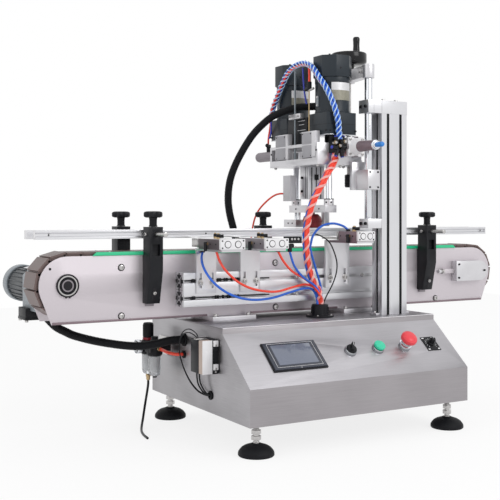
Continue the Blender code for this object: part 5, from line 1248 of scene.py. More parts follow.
@dataclass
class Conveyor:
    """Side plates, slat chain, shafts, drive and take-up of the conveyor."""

    slats: int = 74
    chain_r: float = 0.074
    slat_t: float = 0.0042

    def build(self) -> None:
        """Make every part of the conveyor."""
        self.plates()
        self.chain()
        self.bearing()
        self.strips()
        self.drive()
        self.takeup()

    def plates(self) -> None:
        """Dress the side plates, the bed, the folded lower edge and the screws."""
        def finish_of(face: bmesh.types.BMFace) -> Finish:
            """Frame bars are bright aluminium, the bearing rim is black, the rest is blasted plate."""
            middle = face.calc_center_median()
            if middle.z < 0.2800 and (middle.y < -0.0435 or face.normal.z < -0.5):
                return ALU_MILLED
            if middle.y < -0.0435 and math.hypot(middle.x + SHAFT_X, middle.z - SHAFT_Z) < 0.030:
                return DARK_STEEL
            return BLASTED

        dress("conveyor_front_plate", "front_plate", "frame", 0.4, "stainless_plate", finish_of)
        dress("conveyor_rear_plate", "rear_plate", "frame", 0.4, "stainless_plate", BLASTED)
        dress("conveyor_bed", "bed_channel", "frame", 0.5, "stainless_plate", BLASTED)
        band = Shape()
        for x0, x1 in ((-0.6345, -0.2510), (-0.1310, 0.1310), (0.2510, 0.6345)):
            band.box((x0, -0.0446, 0.2799), (x1, -0.0430, 0.2850), ALU_BROWN)
        band.piece("folded_lower_edge", "frame", 0.6)
        spots = [((x, PLATE_FRONT - 0.0001, z), (0, -1, 0))
                 for x, z in ((-0.4718, 0.4031), (-0.4718, 0.2917), (-0.0588, 0.4036), (-0.0579, 0.2927),
                              (0.4638, 0.2916))]
        spots += [((x, PLATE_BACK + 0.0001, z), (0, 1, 0))
                  for x in (-0.4590, 0.0, 0.5040) for z in (0.4045, 0.3000)]
        screws("plate_screws", "frame", Head.BUTTON, 7.0, spots)
        # Dark discs a little wider than the button heads leave a dark ring round each; one small dark dot
        # sits near the plate's left end
        small = Shape()
        for centre, normal in spots:
            middle, away = Vector(centre), Vector(normal)
            small.rod(middle - away * 0.0002, middle + away * 0.0006, 0.0083, DARK_STEEL, 32)
        small.rod((-0.6395, -0.0432, 0.4040), (-0.6395, -0.0420, 0.4040), 0.0030, DARK_STEEL, 16)
        small.piece("plate_hole_plug", "frame")
        spots = []
        for x in (-0.191, 0.191):
            spots += [((x + sx * 0.045, -0.0590, 0.2798), (0, 0, 1)) for sx in (-1, 1)]
        screws("frame_bar_screws", "frame", Head.CAP, 5.0, spots)

    def chain(self) -> None:
        """Lay the slats round the two wheels, each with its hinge knuckles beneath."""
        def spot(distance: float, radius: float) -> tuple[Vector, float]:
            """Return a point on the chain's path and the turn of the slat there."""
            straight, arc = 2 * SHAFT_X, math.pi * radius
            distance %= 2 * (straight + arc)
            if distance < straight:
                return Vector((-SHAFT_X + distance, LANE_Y, SHAFT_Z + radius)), 0.0
            distance -= straight
            if distance < arc:
                a = distance / radius
                return Vector((SHAFT_X + radius * math.sin(a), LANE_Y, SHAFT_Z + radius * math.cos(a))), a
            distance -= arc
            if distance < straight:
                return Vector((SHAFT_X - distance, LANE_Y, SHAFT_Z - radius)), math.pi
            a = (distance - straight) / radius
            return Vector((-SHAFT_X - radius * math.sin(a), LANE_Y,
                           SHAFT_Z - radius * math.cos(a))), math.pi + a

        pin_r = self.chain_r - 0.006
        pitch = (4 * SHAFT_X + 2 * math.pi * pin_r) / self.slats
        half = pitch / 2 - 0.0007
        slat = Shape()
        outline = [(-half, -0.0405), (-half + 0.004, -0.0411), (half, -0.0405), (half, 0.0405),
                   (-half + 0.004, 0.0411), (-half, 0.0405)]
        slat.prism(outline, self.slat_t, ACETAL, at((0, 0, 0.0058 - self.slat_t)))
        for y in (-0.0300, 0.0, 0.0300):
            slat.box((-half + 0.003, y - 0.0085, -0.0052), (half - 0.006, y + 0.0085, 0.0018), ACETAL)
        slat.rod((-half + 0.001, -0.0375, -0.0010), (-half + 0.001, 0.0375, -0.0010), 0.0032, ACETAL, 8)
        places = []
        for k in range(self.slats):
            a, _ = spot(k * pitch, pin_r)
            b, _ = spot((k + 1) * pitch, pin_r)
            along = (b - a).normalized()
            middle, _ = spot((k + 0.5) * pitch, pin_r)
            middle = (a + b) / 2 * 0.4 + middle * 0.6
            up = along.cross(Vector((0, 1, 0)))
            side = up.cross(along)
            places.append(Matrix((
                (along.x, side.x, up.x, middle.x), (along.y, side.y, up.y, middle.y),
                (along.z, side.z, up.z, middle.z), (0, 0, 0, 1))))
        Copies.piece("chain_slats", "frame", slat, places, ACETAL, 1.0, ["slat_chain"], "slat_plastic")

    def bearing(self) -> None:
        """Make the bearing's rings and seal, the shafts and the chain wheels."""
        place = at((-SHAFT_X, PLATE_FRONT - 0.0040, SHAFT_Z), (0, -1, 0))
        rings = Shape().revolve([(0.0256, -0.0002), (0.0262, 0.0006), (0.0262, 0.0012), (0.0232, 0.0014),
                                 (0.0228, 0.0003)], DARK_STEEL, place, 44)
        rings.revolve([(0.0226, 0.0001), (0.0226, 0.0008), (0.0198, 0.0009), (0.0196, 0.0001)], STEEL, place,
                      44)
        rings.revolve([(0.0194, 0.0001), (0.0194, 0.0005), (0.0140, 0.0006), (0.0138, 0.0001)], RUBBER, place,
                      44)
        rings.revolve([(0.0136, 0.0001), (0.0136, 0.0012), (0.0106, 0.0013), (0.0104, 0.0001)], ALU_GREY_AND_PAINTED_SHADE,
                      place, 36)
        for side in (-1, 1):
            tab = place @ Matrix.Rotation(side * 0.16, 4, "Z")
            rings.box((-0.0016, -0.0282, 0.0), (0.0016, -0.0236, 0.0013), DARK_STEEL, tab)
        rings.piece("drive_bearing_rings", "frame")

        def shaft_finish(face: bmesh.types.BMFace) -> Finish:
            """Chain wheels are black nylon, the shafts are bright steel."""
            middle = face.calc_center_median()
            off = math.hypot(abs(middle.x) - SHAFT_X, middle.z - SHAFT_Z)
            return NYLON if off > 0.012 or abs(middle.y - LANE_Y) < 0.0215 and off > 0.0105 else STEEL

        for name, body, slot in (("drive_shaft", "drive", "bright_steel"),
                                 ("idler_shaft", "idler", "bright_steel")):
            dress(name, f"{name}_turned", body, 0.5, slot, shaft_finish)
        key = Shape().box((-SHAFT_X - 0.0026, PLATE_FRONT - 0.00432, SHAFT_Z + 0.0052),
                          (-SHAFT_X + 0.0026, PLATE_FRONT - 0.0035, SHAFT_Z + 0.0098), DARK_STEEL)
        key.revolve([(0.0032, 0.0), (0.0028, 0.0006)], DARK_STEEL,
                    at((-SHAFT_X, PLATE_FRONT - 0.0039, SHAFT_Z), (0, -1, 0)), 16)
        key.piece("shaft_key_end", "drive")

    def strips(self) -> None:
        """Dress the green strips and their countersunk screws."""
        for name in ("wear_strip_front", "wear_strip_rear"):
            dress(name, f"{name}_moulded", "frame", 0.6, "green_strip", POLYETHYLENE)
        spots = [((x, y, 0.4394), (0, 0, 1))
                 for x in (-0.500, -0.360, -0.220, -0.080, 0.060, 0.200, 0.340, 0.480)
                 for y in (-0.0428, 0.0468)]
        screws("strip_screws", "frame", Head.PAN, 2.0, spots)

    def drive(self) -> None:
        """Make the gearmotor: cast gearbox, motor barrel with fins, fan cover and terminal box."""
        x, z = -SHAFT_X, SHAFT_Z - 0.015
        shape = Shape()
        turn = Matrix(((1, 0, 0, x), (0, 0, 1, 0), (0, 1, 0, z), (0, 0, 0, 1)))
        taper = [(-0.045, -0.050), (0.045, -0.050), (0.045, 0.030), (0.0225, 0.050), (-0.0225, 0.050),
                 (-0.045, 0.030)]
        shape.prism(taper[::-1], 0.1025, ENAMEL_GREY, turn @ Matrix.Translation((0, 0, 0.0476)))
        along = at((x, 0, z), (0, 1, 0))
        shape.revolve([(0.0424, 0.1495), (0.0444, 0.1520), (0.0444, 0.1600), (0.0419, 0.1610),
                       (0.0419, 0.2800), (0.0444, 0.2810), (0.0444, 0.2895)], ENAMEL, along, 48)
        for turn in turns(24):
            shape.box((0.0409, -0.0009, 0.1620), (0.0447, 0.0009, 0.2790), ENAMEL, along @ turn)
        shape.revolve([(0.0444, 0.2896), (0.0464, 0.2906), (0.0464, 0.3220), (0.0440, 0.3270),
                       (0.0360, 0.3298), (0.0, 0.3299)], ENAMEL_GREY, along, 48)
        shape.box((x - 0.0565, 0.0855, 0.2840), (x + 0.0025, 0.1445, 0.3065), NYLON)
        shape.box((x - 0.0575, 0.0848, 0.2788), (x + 0.0035, 0.1452, 0.2850), NYLON)
        shape.revolve([(0.0100, 0.0), (0.0118, 0.0005), (0.0118, 0.0060), (0.0106, 0.0074)], NYLON,
                      at((-0.6120, 0.0850, 0.2888), (0, -1, 0)), 16)
        shape.piece("drive_gearmotor_cast", "frame", 0.9, ["drive_gearmotor"], "motor_paint")
        spots = [((x + sx * 0.036, 0.1506, z + sz), (0, 1, 0)) for sx in (-1, 1) for sz in (-0.041, 0.022)]
        spots += [((x - 0.027 + sx * 0.026, 0.1150 + sy * 0.026, 0.2787), (0, 0, -1)) for sx in (-1, 1)
                  for sy in (-1, 1)]
        screws("drive_screws", "frame", Head.CAP, 4.0, spots)
        slot = Shape().box((-0.0012, 0.0, -0.0002), (0.0012, 0.0160, 0.0003), DARK_STEEL)
        places = [along @ turn @ Matrix.Translation((0, 0.0130, 0.3298)) for turn in turns(16)]
        Copies.piece("fan_cover_slots", "frame", slot, places, DARK_STEEL)
        plate = Shape()
        plate.patch(FOIL, along, 0.0450, [math.radians(68 + 6 * k) for k in range(7)], 0.20, 0.24)
        plate.piece("drive_plate_blank", "frame")

    def takeup(self) -> None:
        """Dress the take-up cover with its screws, washers and lock nut."""
        dress("takeup_cover", "takeup_cover_milled", "frame", 0.8, "aluminium", ALU_MILLED)
        y = -0.0634
        spots = [((0.5330, y, 0.3850), (0, -1, 0)), ((0.5330, y, 0.3470), (0, -1, 0)),
                 ((0.6290, y, 0.3660), (0, -1, 0))]
        screws("takeup_screws", "frame", Head.CAP, 2.7, spots, DARK_STEEL)
        shape = Shape()
        for x, r, w in ((0.4840, 0.0078, 0.0045), (0.5235, 0.0075, 0.0050)):
            shape.prism(hexagon(r), w, STEEL, at((x, -0.0488, SHAFT_Z), (1, 0, 0)))
        for k in range(14):
            shape.revolve([(0.0040, 0.0), (0.0046, 0.0006), (0.0040, 0.0012)], STEEL,
                          at((0.4790 + k * 0.0007, -0.0485, SHAFT_Z), (1, 0, 0)), 12)
        shape.piece("takeup_nuts", "frame", 0.3)


@dataclass
class GuideRails:
    """The two rails with their rods, brackets and star knobs."""

    front_x: tuple[float, ...] = (-0.4025, 0.4145)
    rear_x: tuple[float, ...] = (-0.4270, -0.0275, 0.4145)
    rod_z: float = 0.479

    def build(self) -> None:
        """Make rails, brackets and knobs."""
        for name, body, y, side, xs in (("rail_front", "front_rail", -0.0380, -1, self.front_x),
                                        ("rail_rear", "rear_rail", 0.0420, 1, self.rear_x)):
            def finish_of(face: bmesh.types.BMFace) -> Finish:
                """Rods are plated steel, the rail is extruded aluminium."""
                middle = face.calc_center_median()
                return STEEL if (middle.y - y) * side > 0.0005 else ALU_X

            dress(name, f"{name}_bar", body, 0.8, "aluminium", finish_of)
            caps = Shape()
            inner = y + (0.0121 if side < 0 else -0.0121)
            for x in (-0.6722, 0.6562):
                caps.box((x, min(y, inner), 0.4692), (x + 0.0010, max(y, inner), 0.4888), WHITE)
            for x in xs:
                place = at((x, y + side * 0.0002, self.rod_z), (0, side, 0))
                caps.revolve([(0.0078, 0.0), (0.0082, 0.0002), (0.0080, 0.0004), (0.0062, 0.0005)], STEEL,
                             place, 20)
                caps.revolve([(0.0042, 0.0), (0.0056, 0.0004), (0.0056, 0.0010), (0.0040, 0.0013)], STEEL,
                             at((x, y + side * 0.0970, self.rod_z), (0, side, 0)), 16)
            caps.piece(f"{name}_ends", body, 0.2)
            holes = [((x, y - side * 0.0001 + (0.0031 if side < 0 else -0.0031), self.rod_z), (0, side, 0))
                     for x in (-0.640, -0.250, 0.250, 0.640)]
            screws(f"{name}_set_screws", body, Head.PAN, 2.0, holes, DARK_STEEL)
        for x_list, side, row, plate in ((self.front_x, -1, "front", PLATE_FRONT),
                                         (self.rear_x, 1, "rear", PLATE_BACK)):
            for index, x in enumerate(x_list, 1):
                self.bracket(f"bracket_{row}_{index}", x, side, plate)
                self.star_knob(f"star_knob_{row}_{index}", f"knob_{row}_{index}", x,
                               -0.066 if side < 0 else 0.070)

    def bracket(self, name: str, x: float, side: int, plate: float) -> None:
        """Dress one moulded bracket with its slot, bolt and feet.

        Args:
            name: The bracket's solid.
            x: Its middle along the conveyor.
            side: -1 in front, 1 at the back.
            plate: Face of the side plate that it stands on.
        """
        dress(name, f"{name}_moulded", "frame", 0.8, "black_plastic", NYLON)
        far = plate + side * 0.0420
        slope = math.atan2(0.018, 0.076)
        foot = Vector((x, far - side * 0.018, 0.319))
        up = Vector((0, side * math.sin(slope), math.cos(slope)))
        out = Vector((0, side * math.cos(slope), -math.sin(slope)))
        across = up.cross(out)
        middle = foot + up * 0.022
        place = Matrix(((across.x, up.x, out.x, middle.x), (across.y, up.y, out.y, middle.y),
                        (across.z, up.z, out.z, middle.z), (0, 0, 0, 1)))
        detail = Shape()
        outline = [(0.0045 * math.cos(a), 0.0045 * math.sin(a) + s)
                   for s, a in [(0.0115, math.pi * k / 8) for k in range(9)]
                   + [(-0.0115, math.pi + math.pi * k / 8) for k in range(9)]]
        detail.prism(outline, 0.0003, DARK_STEEL, place)
        detail.box((x - 0.0105, min(plate, plate + side * 0.0035), 0.3115),
                   (x + 0.0105, max(plate, plate + side * 0.0035), 0.3190), ALU_GREY_AND_PAINTED_SHADE)
        detail.piece(f"{name}_slot", "frame", 0.2)
        screws(f"{name}_bolts", "frame", Head.CAP, 4.2,
               [(tuple(middle + up * 0.004 + out * 0.0003), tuple(out)),
                ((x - 0.0168, plate + side * 0.0230, self.rod_z), (-1, 0, 0)),
                ((x + 0.0168, plate + side * 0.0230, self.rod_z), (1, 0, 0))])

    def star_knob(self, name: str, body: str, x: float, y: float) -> None:
        """Make a six-lobed knob with a domed head, a ribbed hub and a steel stud.

        Args:
            name: The knob's solid.
            body: Body that it rides on.
            x: Place of its axis along the machine.
            y: Place of its axis across the machine.
        """
        low = 0.4963
        steps = 72
        shape = Shape()
        levels = ((0.0, 0.72), (0.0016, 0.93), (0.0040, 1.0), (0.0105, 1.0), (0.0132, 0.93), (0.0147, 0.72),
                  (0.0150, 0.4))
        rings = []
        for height, share in levels:
            ring = []
            for i in range(steps):
                a = 2 * math.pi * i / steps
                lobe = 0.5 + 0.5 * math.cos(6 * a)
                radius = (0.0188 + 0.0042 * lobe ** 0.6) * share
                ring.append(shape.bm.verts.new((x + radius * math.cos(a), y + radius * math.sin(a),
                                                low + 0.021 + height)))
            rings.append(ring)
        faces = [shape.bm.faces.new(rings[0][::-1]), shape.bm.faces.new(rings[-1])]
        for a, b in zip(rings, rings[1:]):
            faces += shape.skin(a, b, steps)
        shape.take(NYLON, faces)
        place = at((x, y, low))
        shape.revolve([(0.0100, 0.0002), (0.0100, 0.0030), (0.0088, 0.0034), (0.0088, 0.0150),
                       (0.0098, 0.0215)],
                      NYLON, place, 32)
        shape.revolve([(0.0040, -0.0118), (0.0040, 0.001)], STEEL, place, 16)
        shape.revolve([(0.0078, 0.0355), (0.0078, 0.0359), (0.0, 0.0360)], NYLON, place, 24)
        shape.piece(f"{name}_moulded", body, 0.0, [name], "black_plastic")


@dataclass
class Column:
    """Slotted column, guide rod and the arm with the lift screw and handwheel."""

    left: float = 0.1835
    front: float = -0.1635
    width: float = 0.080
    depth: float = 0.040
    top: float = 0.7818

    def build(self) -> None:
        """Make the column, its blocks, the arm and the handwheel."""
        dress("column", "column_profile", "frame", 0.5, "aluminium", ALU_Z)
        dress("guide_rod", "guide_rod_ground", "frame", 0.6, "chrome", CHROME)
        dress("lift_arm", "lift_arm_milled", "frame", 0.8, "aluminium", ALU_MILLED)
        self.slot_strips()
        self.fixings()
        self.handwheel()

    def slot_strips(self) -> None:
        """Lay black strips in the column's slots."""
        shape = Shape()
        low, high = DECK_Z + 0.001, self.top - 0.001
        for x in (self.left + 0.020, self.left + 0.060):
            for y, side in ((self.front, 1), (self.front + self.depth, -1)):
                shape.box((x - 0.0039, min(y + side * 0.0012, y + side * 0.0030), low),
                          (x + 0.0039, max(y + side * 0.0012, y + side * 0.0030), high), RUBBER)
        y = self.front + 0.020
        for x, side in ((self.left, 1), (self.left + self.width, -1)):
            shape.box((min(x + side * 0.0024, x + side * 0.0042), y - 0.0039, low),
                      (max(x + side * 0.0024, x + side * 0.0042), y + 0.0039, high), RUBBER)
        shape.piece("slot_cover_strips", "frame")

    def fixings(self) -> None:
        """Set the clamp screws of the two blocks, of the column's foot and of the arm."""
        left = 0.1415
        spots = [((left, y, z), (-1, 0, 0)) for y in (-0.1530, -0.1330) for z in (0.7975, 0.5020)]
        screws("clamp_screws", "frame", Head.CAP, 4.0, spots, DARK_STEEL)
        screws("top_block_screws", "frame", Head.CAP, 5.0,
               [((self.left + u, self.front + 0.020, 0.8138), (0, 0, 1)) for u in (0.020, 0.060)])
        seam = Shape()
        seam.box((left + 0.0170, self.front - 0.0007, 0.7822), (left + 0.0173, self.front + 0.0405, 0.8136),
                 DARK_STEEL)
        seam.box((self.left - 0.0002, self.front - 0.0007, 0.7822),
                 (self.left + 0.0002, self.front + 0.0407, 0.8140), DARK_STEEL)
        seam.piece("clamp_seams", "frame")
        angle = math.atan2(-0.039 + 0.1435, 0.1715 - 0.1565)
        side = Vector((math.sin(angle), -math.cos(angle), 0))
        middle = Vector((0.1565, -0.1435, 0.8875)) + Vector((math.cos(angle), math.sin(angle), 0)) * 0.019
        screws("arm_screws", "frame", Head.CAP, 3.6, [(tuple(middle + side * 0.0126), tuple(side)),
                                                      (tuple(middle - side * 0.0126), tuple(-side))])
        feet = Shape()
        for x in (self.left - 0.0130, self.left + self.width + 0.0002):
            feet.box((x, self.front + 0.006, DECK_Z + 0.0004),
                     (x + 0.0128, self.front + 0.034, DECK_Z + 0.0054), ALU_MILLED)
        feet.piece("column_foot_angles", "frame", 0.5)
        screws("column_foot_screws", "frame", Head.CAP, 3.6,
               [((x, self.front + 0.020, DECK_Z + 0.0054), (0, 0, 1))
                for x in (self.left - 0.0065, self.left + 0.0866)])

    def handwheel(self) -> None:
        """Make the dished handwheel with its ribbed screw, stop collar and turning grip."""
        x, y, rise = 0.1715, -0.0390, 0.9053
        place = at((x, y, 0))
        low, high, r = rise + 0.010, rise + 0.044, 0.0465
        shape = Shape()
        shape.revolve([(0.0090, 0.5962), (0.0110, 0.5980), (0.0110, 0.6290), (0.0095, 0.6300)], DARK_STEEL,
                      place, 32)
        for k in range(7):
            z = 0.6010 + k * 0.0040
            shape.revolve([(0.0108, z), (0.0118, z + 0.0010), (0.0118, z + 0.0018), (0.0108, z + 0.0028)],
                          RUBBER, place, 32)
        thread = []
        z = 0.6300
        while z < rise - 0.002:
            thread += [(0.0048, z), (0.0060, z + 0.0008), (0.0060, z + 0.0017), (0.0048, z + 0.0025)]
            z += 0.0030
        thread.append((0.0058, rise + 0.001))
        shape.revolve(thread, STEEL, place, 16)
        wheel = [(0.0060, rise), (0.0140, rise + 0.0004), (0.0140, low - 0.001), (0.0165, low + 0.001),
                 (r - 0.008, low + 0.002), (r - 0.003, low + 0.005), (r, low + 0.010), (r, high - 0.004),
                 (r - 0.0012, high - 0.001), (r - 0.003, high), (r - 0.0050, high - 0.001),
                 (r - 0.0062, high - 0.004), (r - 0.0070, low + 0.014), (r - 0.012, low + 0.0095),
                 (0.0170, low + 0.0080), (0.0145, low + 0.0110), (0.0130, high - 0.0105),
                 (0.0118, high - 0.0095), (0.0, high - 0.0095)]
        shape.revolve(wheel, GLOSS_BLACK, place, 64)
        shape.revolve([(0.0050, high - 0.0096), (0.0050, high - 0.0090), (0.0, high - 0.0088)], STEEL, place,
                      16)
        gx, gy = x + 0.0320, y + 0.0110
        grip = at((gx, gy, 0))
        shape.revolve([(0.0093, low + 0.005), (0.0093, high - 0.0005), (0.0085, high)], GLOSS_BLACK, grip, 24)
        shape.revolve([(0.0040, high - 0.001), (0.0040, high + 0.0380)], STEEL, grip, 12)
        shape.piece("handwheel_moulded", "handwheel", 0.0, ["handwheel"], "black_plastic")
        base = high + 0.0003
        knob = [(0.0043, base + 0.0002), (0.0074, base), (0.0088, base + 0.003), (0.0093, base + 0.008),
                (0.0090, base + 0.015), (0.0084, base + 0.024), (0.0086, base + 0.034),
                (0.0092, base + 0.041), (0.0088, base + 0.0450), (0.0068, base + 0.0478),
                (0.0030, base + 0.0485), (0.0, base + 0.0485)]
        Shape().revolve(knob, GLOSS_BLACK, grip, 32).piece(
            "handwheel_grip_moulded", "grip", 0.0, ["handwheel_grip"], "black_plastic")


# Routes as listed points; the first three repeat the solids' routes

CONDUIT_LEFT = [
    (-0.6120, 0.0846, 0.2888), (-0.6120, 0.0770, 0.2888), (-0.6070, 0.0635, 0.2790),
    (-0.5940, 0.0530, 0.2640), (-0.5730, 0.0510, 0.2520), (-0.5478, 0.0500, 0.2401),
    (-0.4936, 0.0350, 0.2247), (-0.4282, 0.0100, 0.2138), (-0.3808, 0.0000, 0.2140),
    (-0.3300, -0.0040, 0.2215), (-0.2929, -0.0040, 0.2215),
]
CONDUIT_HEAD = [
    (0.0825, -0.0458, 0.8065), (0.0825, -0.0290, 0.8065), (0.0690, -0.0030, 0.8067),
    (0.0403, 0.0150, 0.8041), (-0.0058, 0.0430, 0.7856), (-0.0336, 0.0650, 0.7598),
    (-0.0613, 0.0800, 0.7237), (-0.0900, 0.0950, 0.6678), (-0.1075, 0.1020, 0.6190),
    (-0.1130, 0.1050, 0.5720), (-0.1090, 0.1050, 0.5300), (-0.0975, 0.1050, 0.4880),
    (-0.0835, 0.1050, 0.4313), (-0.0700, 0.1050, 0.3600), (-0.0630, 0.1050, 0.3100),
    (-0.0630, 0.1050, 0.2699),
]
BUNDLE = [
    (0.0325, -0.1080, 0.3011), (0.0325, -0.1080, 0.3120), (0.0240, -0.1110, 0.3370),
    (0.0026, -0.1150, 0.3674), (-0.0140, -0.1200, 0.4175), (-0.0202, -0.1250, 0.4744),
    (-0.0170, -0.1290, 0.5137), (-0.0101, -0.1320, 0.5431), (0.0011, -0.1350, 0.5702),
    (0.0183, -0.1380, 0.5999), (0.0355, -0.1370, 0.6273), (0.0510, -0.1320, 0.6430),
    (0.0645, -0.1260, 0.6600), (0.0665, -0.1235, 0.6700), (0.0665, -0.1235, 0.6786),
]
ARCH = [
    (0.0665, -0.1440, 0.7120), (0.0640, -0.1450, 0.7350), (0.0580, -0.1490, 0.7625),
    (0.0480, -0.1440, 0.8001), (0.0360, -0.1310, 0.8386), (0.0290, -0.1090, 0.8680),
    (0.0260, -0.0820, 0.8970), (0.0260, -0.0560, 0.9090), (0.0260, -0.0270, 0.9120), (0.0260, 0.0040, 0.9080),
    (0.0260, 0.0317, 0.8964), (0.0260, 0.0516, 0.8789), (0.0260, 0.0717, 0.8569), (0.0260, 0.0870, 0.8384),
    (0.0260, 0.1056, 0.8135), (0.0260, 0.1182, 0.7833),
]
LOOP_RED = [
    (0.0560, 0.0463, 0.5760), (0.0400, 0.0620, 0.5800), (0.0200, 0.0800, 0.5780), (0.0000, 0.0980, 0.5600),
    (-0.0130, 0.1250, 0.5300), (-0.0140, 0.1480, 0.4900), (-0.0160, 0.1560, 0.4300),
    (-0.0180, 0.1480, 0.3600), (-0.0200, 0.1340, 0.3000), (-0.0200, 0.1260, 0.2700),
]
CLAMP_TUBES = (
    ("tube_blue_1", 0.0029, TUBE_BLUE, [
        (-0.2870, -0.0910, 0.4375), (-0.2970, -0.1050, 0.4250), (-0.3047, -0.1250, 0.4098),
        (-0.3035, -0.1410, 0.3916), (-0.2889, -0.1480, 0.3696), (-0.2637, -0.1470, 0.3503),
        (-0.2321, -0.1440, 0.3351), (-0.1994, -0.1400, 0.3262), (-0.1597, -0.1340, 0.3222),
        (-0.1145, -0.1290, 0.3252), (-0.0683, -0.1240, 0.3348), (-0.0203, -0.1180, 0.3430),
        (0.0080, -0.1120, 0.3380), (0.0220, -0.1080, 0.3190), (0.0250, -0.1080, 0.2990)]),
    ("tube_red_1", 0.0029, TUBE_RED, [
        (-0.2870, -0.1600, 0.4410), (-0.2816, -0.1620, 0.4222), (-0.2671, -0.1580, 0.4021),
        (-0.2455, -0.1520, 0.3828), (-0.2180, -0.1460, 0.3647), (-0.1840, -0.1400, 0.3506),
        (-0.1440, -0.1340, 0.3419), (-0.1032, -0.1280, 0.3393), (-0.0561, -0.1220, 0.3472),
        (-0.0162, -0.1160, 0.3520), (0.0130, -0.1120, 0.3430), (0.0260, -0.1100, 0.3220),
        (0.0290, -0.1090, 0.2990)]),
    ("tube_red_2", 0.0029, TUBE_RED, [
        (-0.1253, -0.1650, 0.4381), (-0.1068, -0.1620, 0.4118), (-0.0738, -0.1500, 0.3865),
        (-0.0303, -0.1360, 0.3673), (0.0054, -0.1220, 0.3455), (0.0313, -0.1150, 0.3170),
        (0.0330, -0.1140, 0.2990)]),
    ("tube_blue_2", 0.0029, TUBE_BLUE, [
        (-0.0912, -0.1630, 0.4373), (-0.0862, -0.1610, 0.4244), (-0.0750, -0.1560, 0.4035),
        (-0.0536, -0.1480, 0.3819), (-0.0251, -0.1380, 0.3642), (0.0065, -0.1240, 0.3482),
        (0.0310, -0.1130, 0.3250), (0.0370, -0.1090, 0.2990)]),
    ("tube_blue_3", 0.0029, TUBE_BLUE, [
        (0.0390, -0.1020, 0.2990), (0.0410, -0.1000, 0.3400), (0.0260, -0.0980, 0.3900),
        (0.0110, -0.0990, 0.4350), (0.0111, -0.1000, 0.4536), (0.0167, -0.1050, 0.4761),
        (0.0340, -0.1150, 0.4961), (0.0568, -0.1300, 0.5023), (0.0766, -0.1450, 0.4961),
        (0.0890, -0.1500, 0.4860)]),
    ("sensor_cable", 0.0017, CABLE, [
        (0.0250, -0.0960, 0.4760), (0.0450, -0.0965, 0.4700), (0.0685, -0.1000, 0.4528),
        (0.0850, -0.1030, 0.4146), (0.0860, -0.1050, 0.3843), (0.0740, -0.1060, 0.3520),
        (0.0540, -0.1060, 0.3200), (0.0430, -0.1060, 0.2990)]),
)


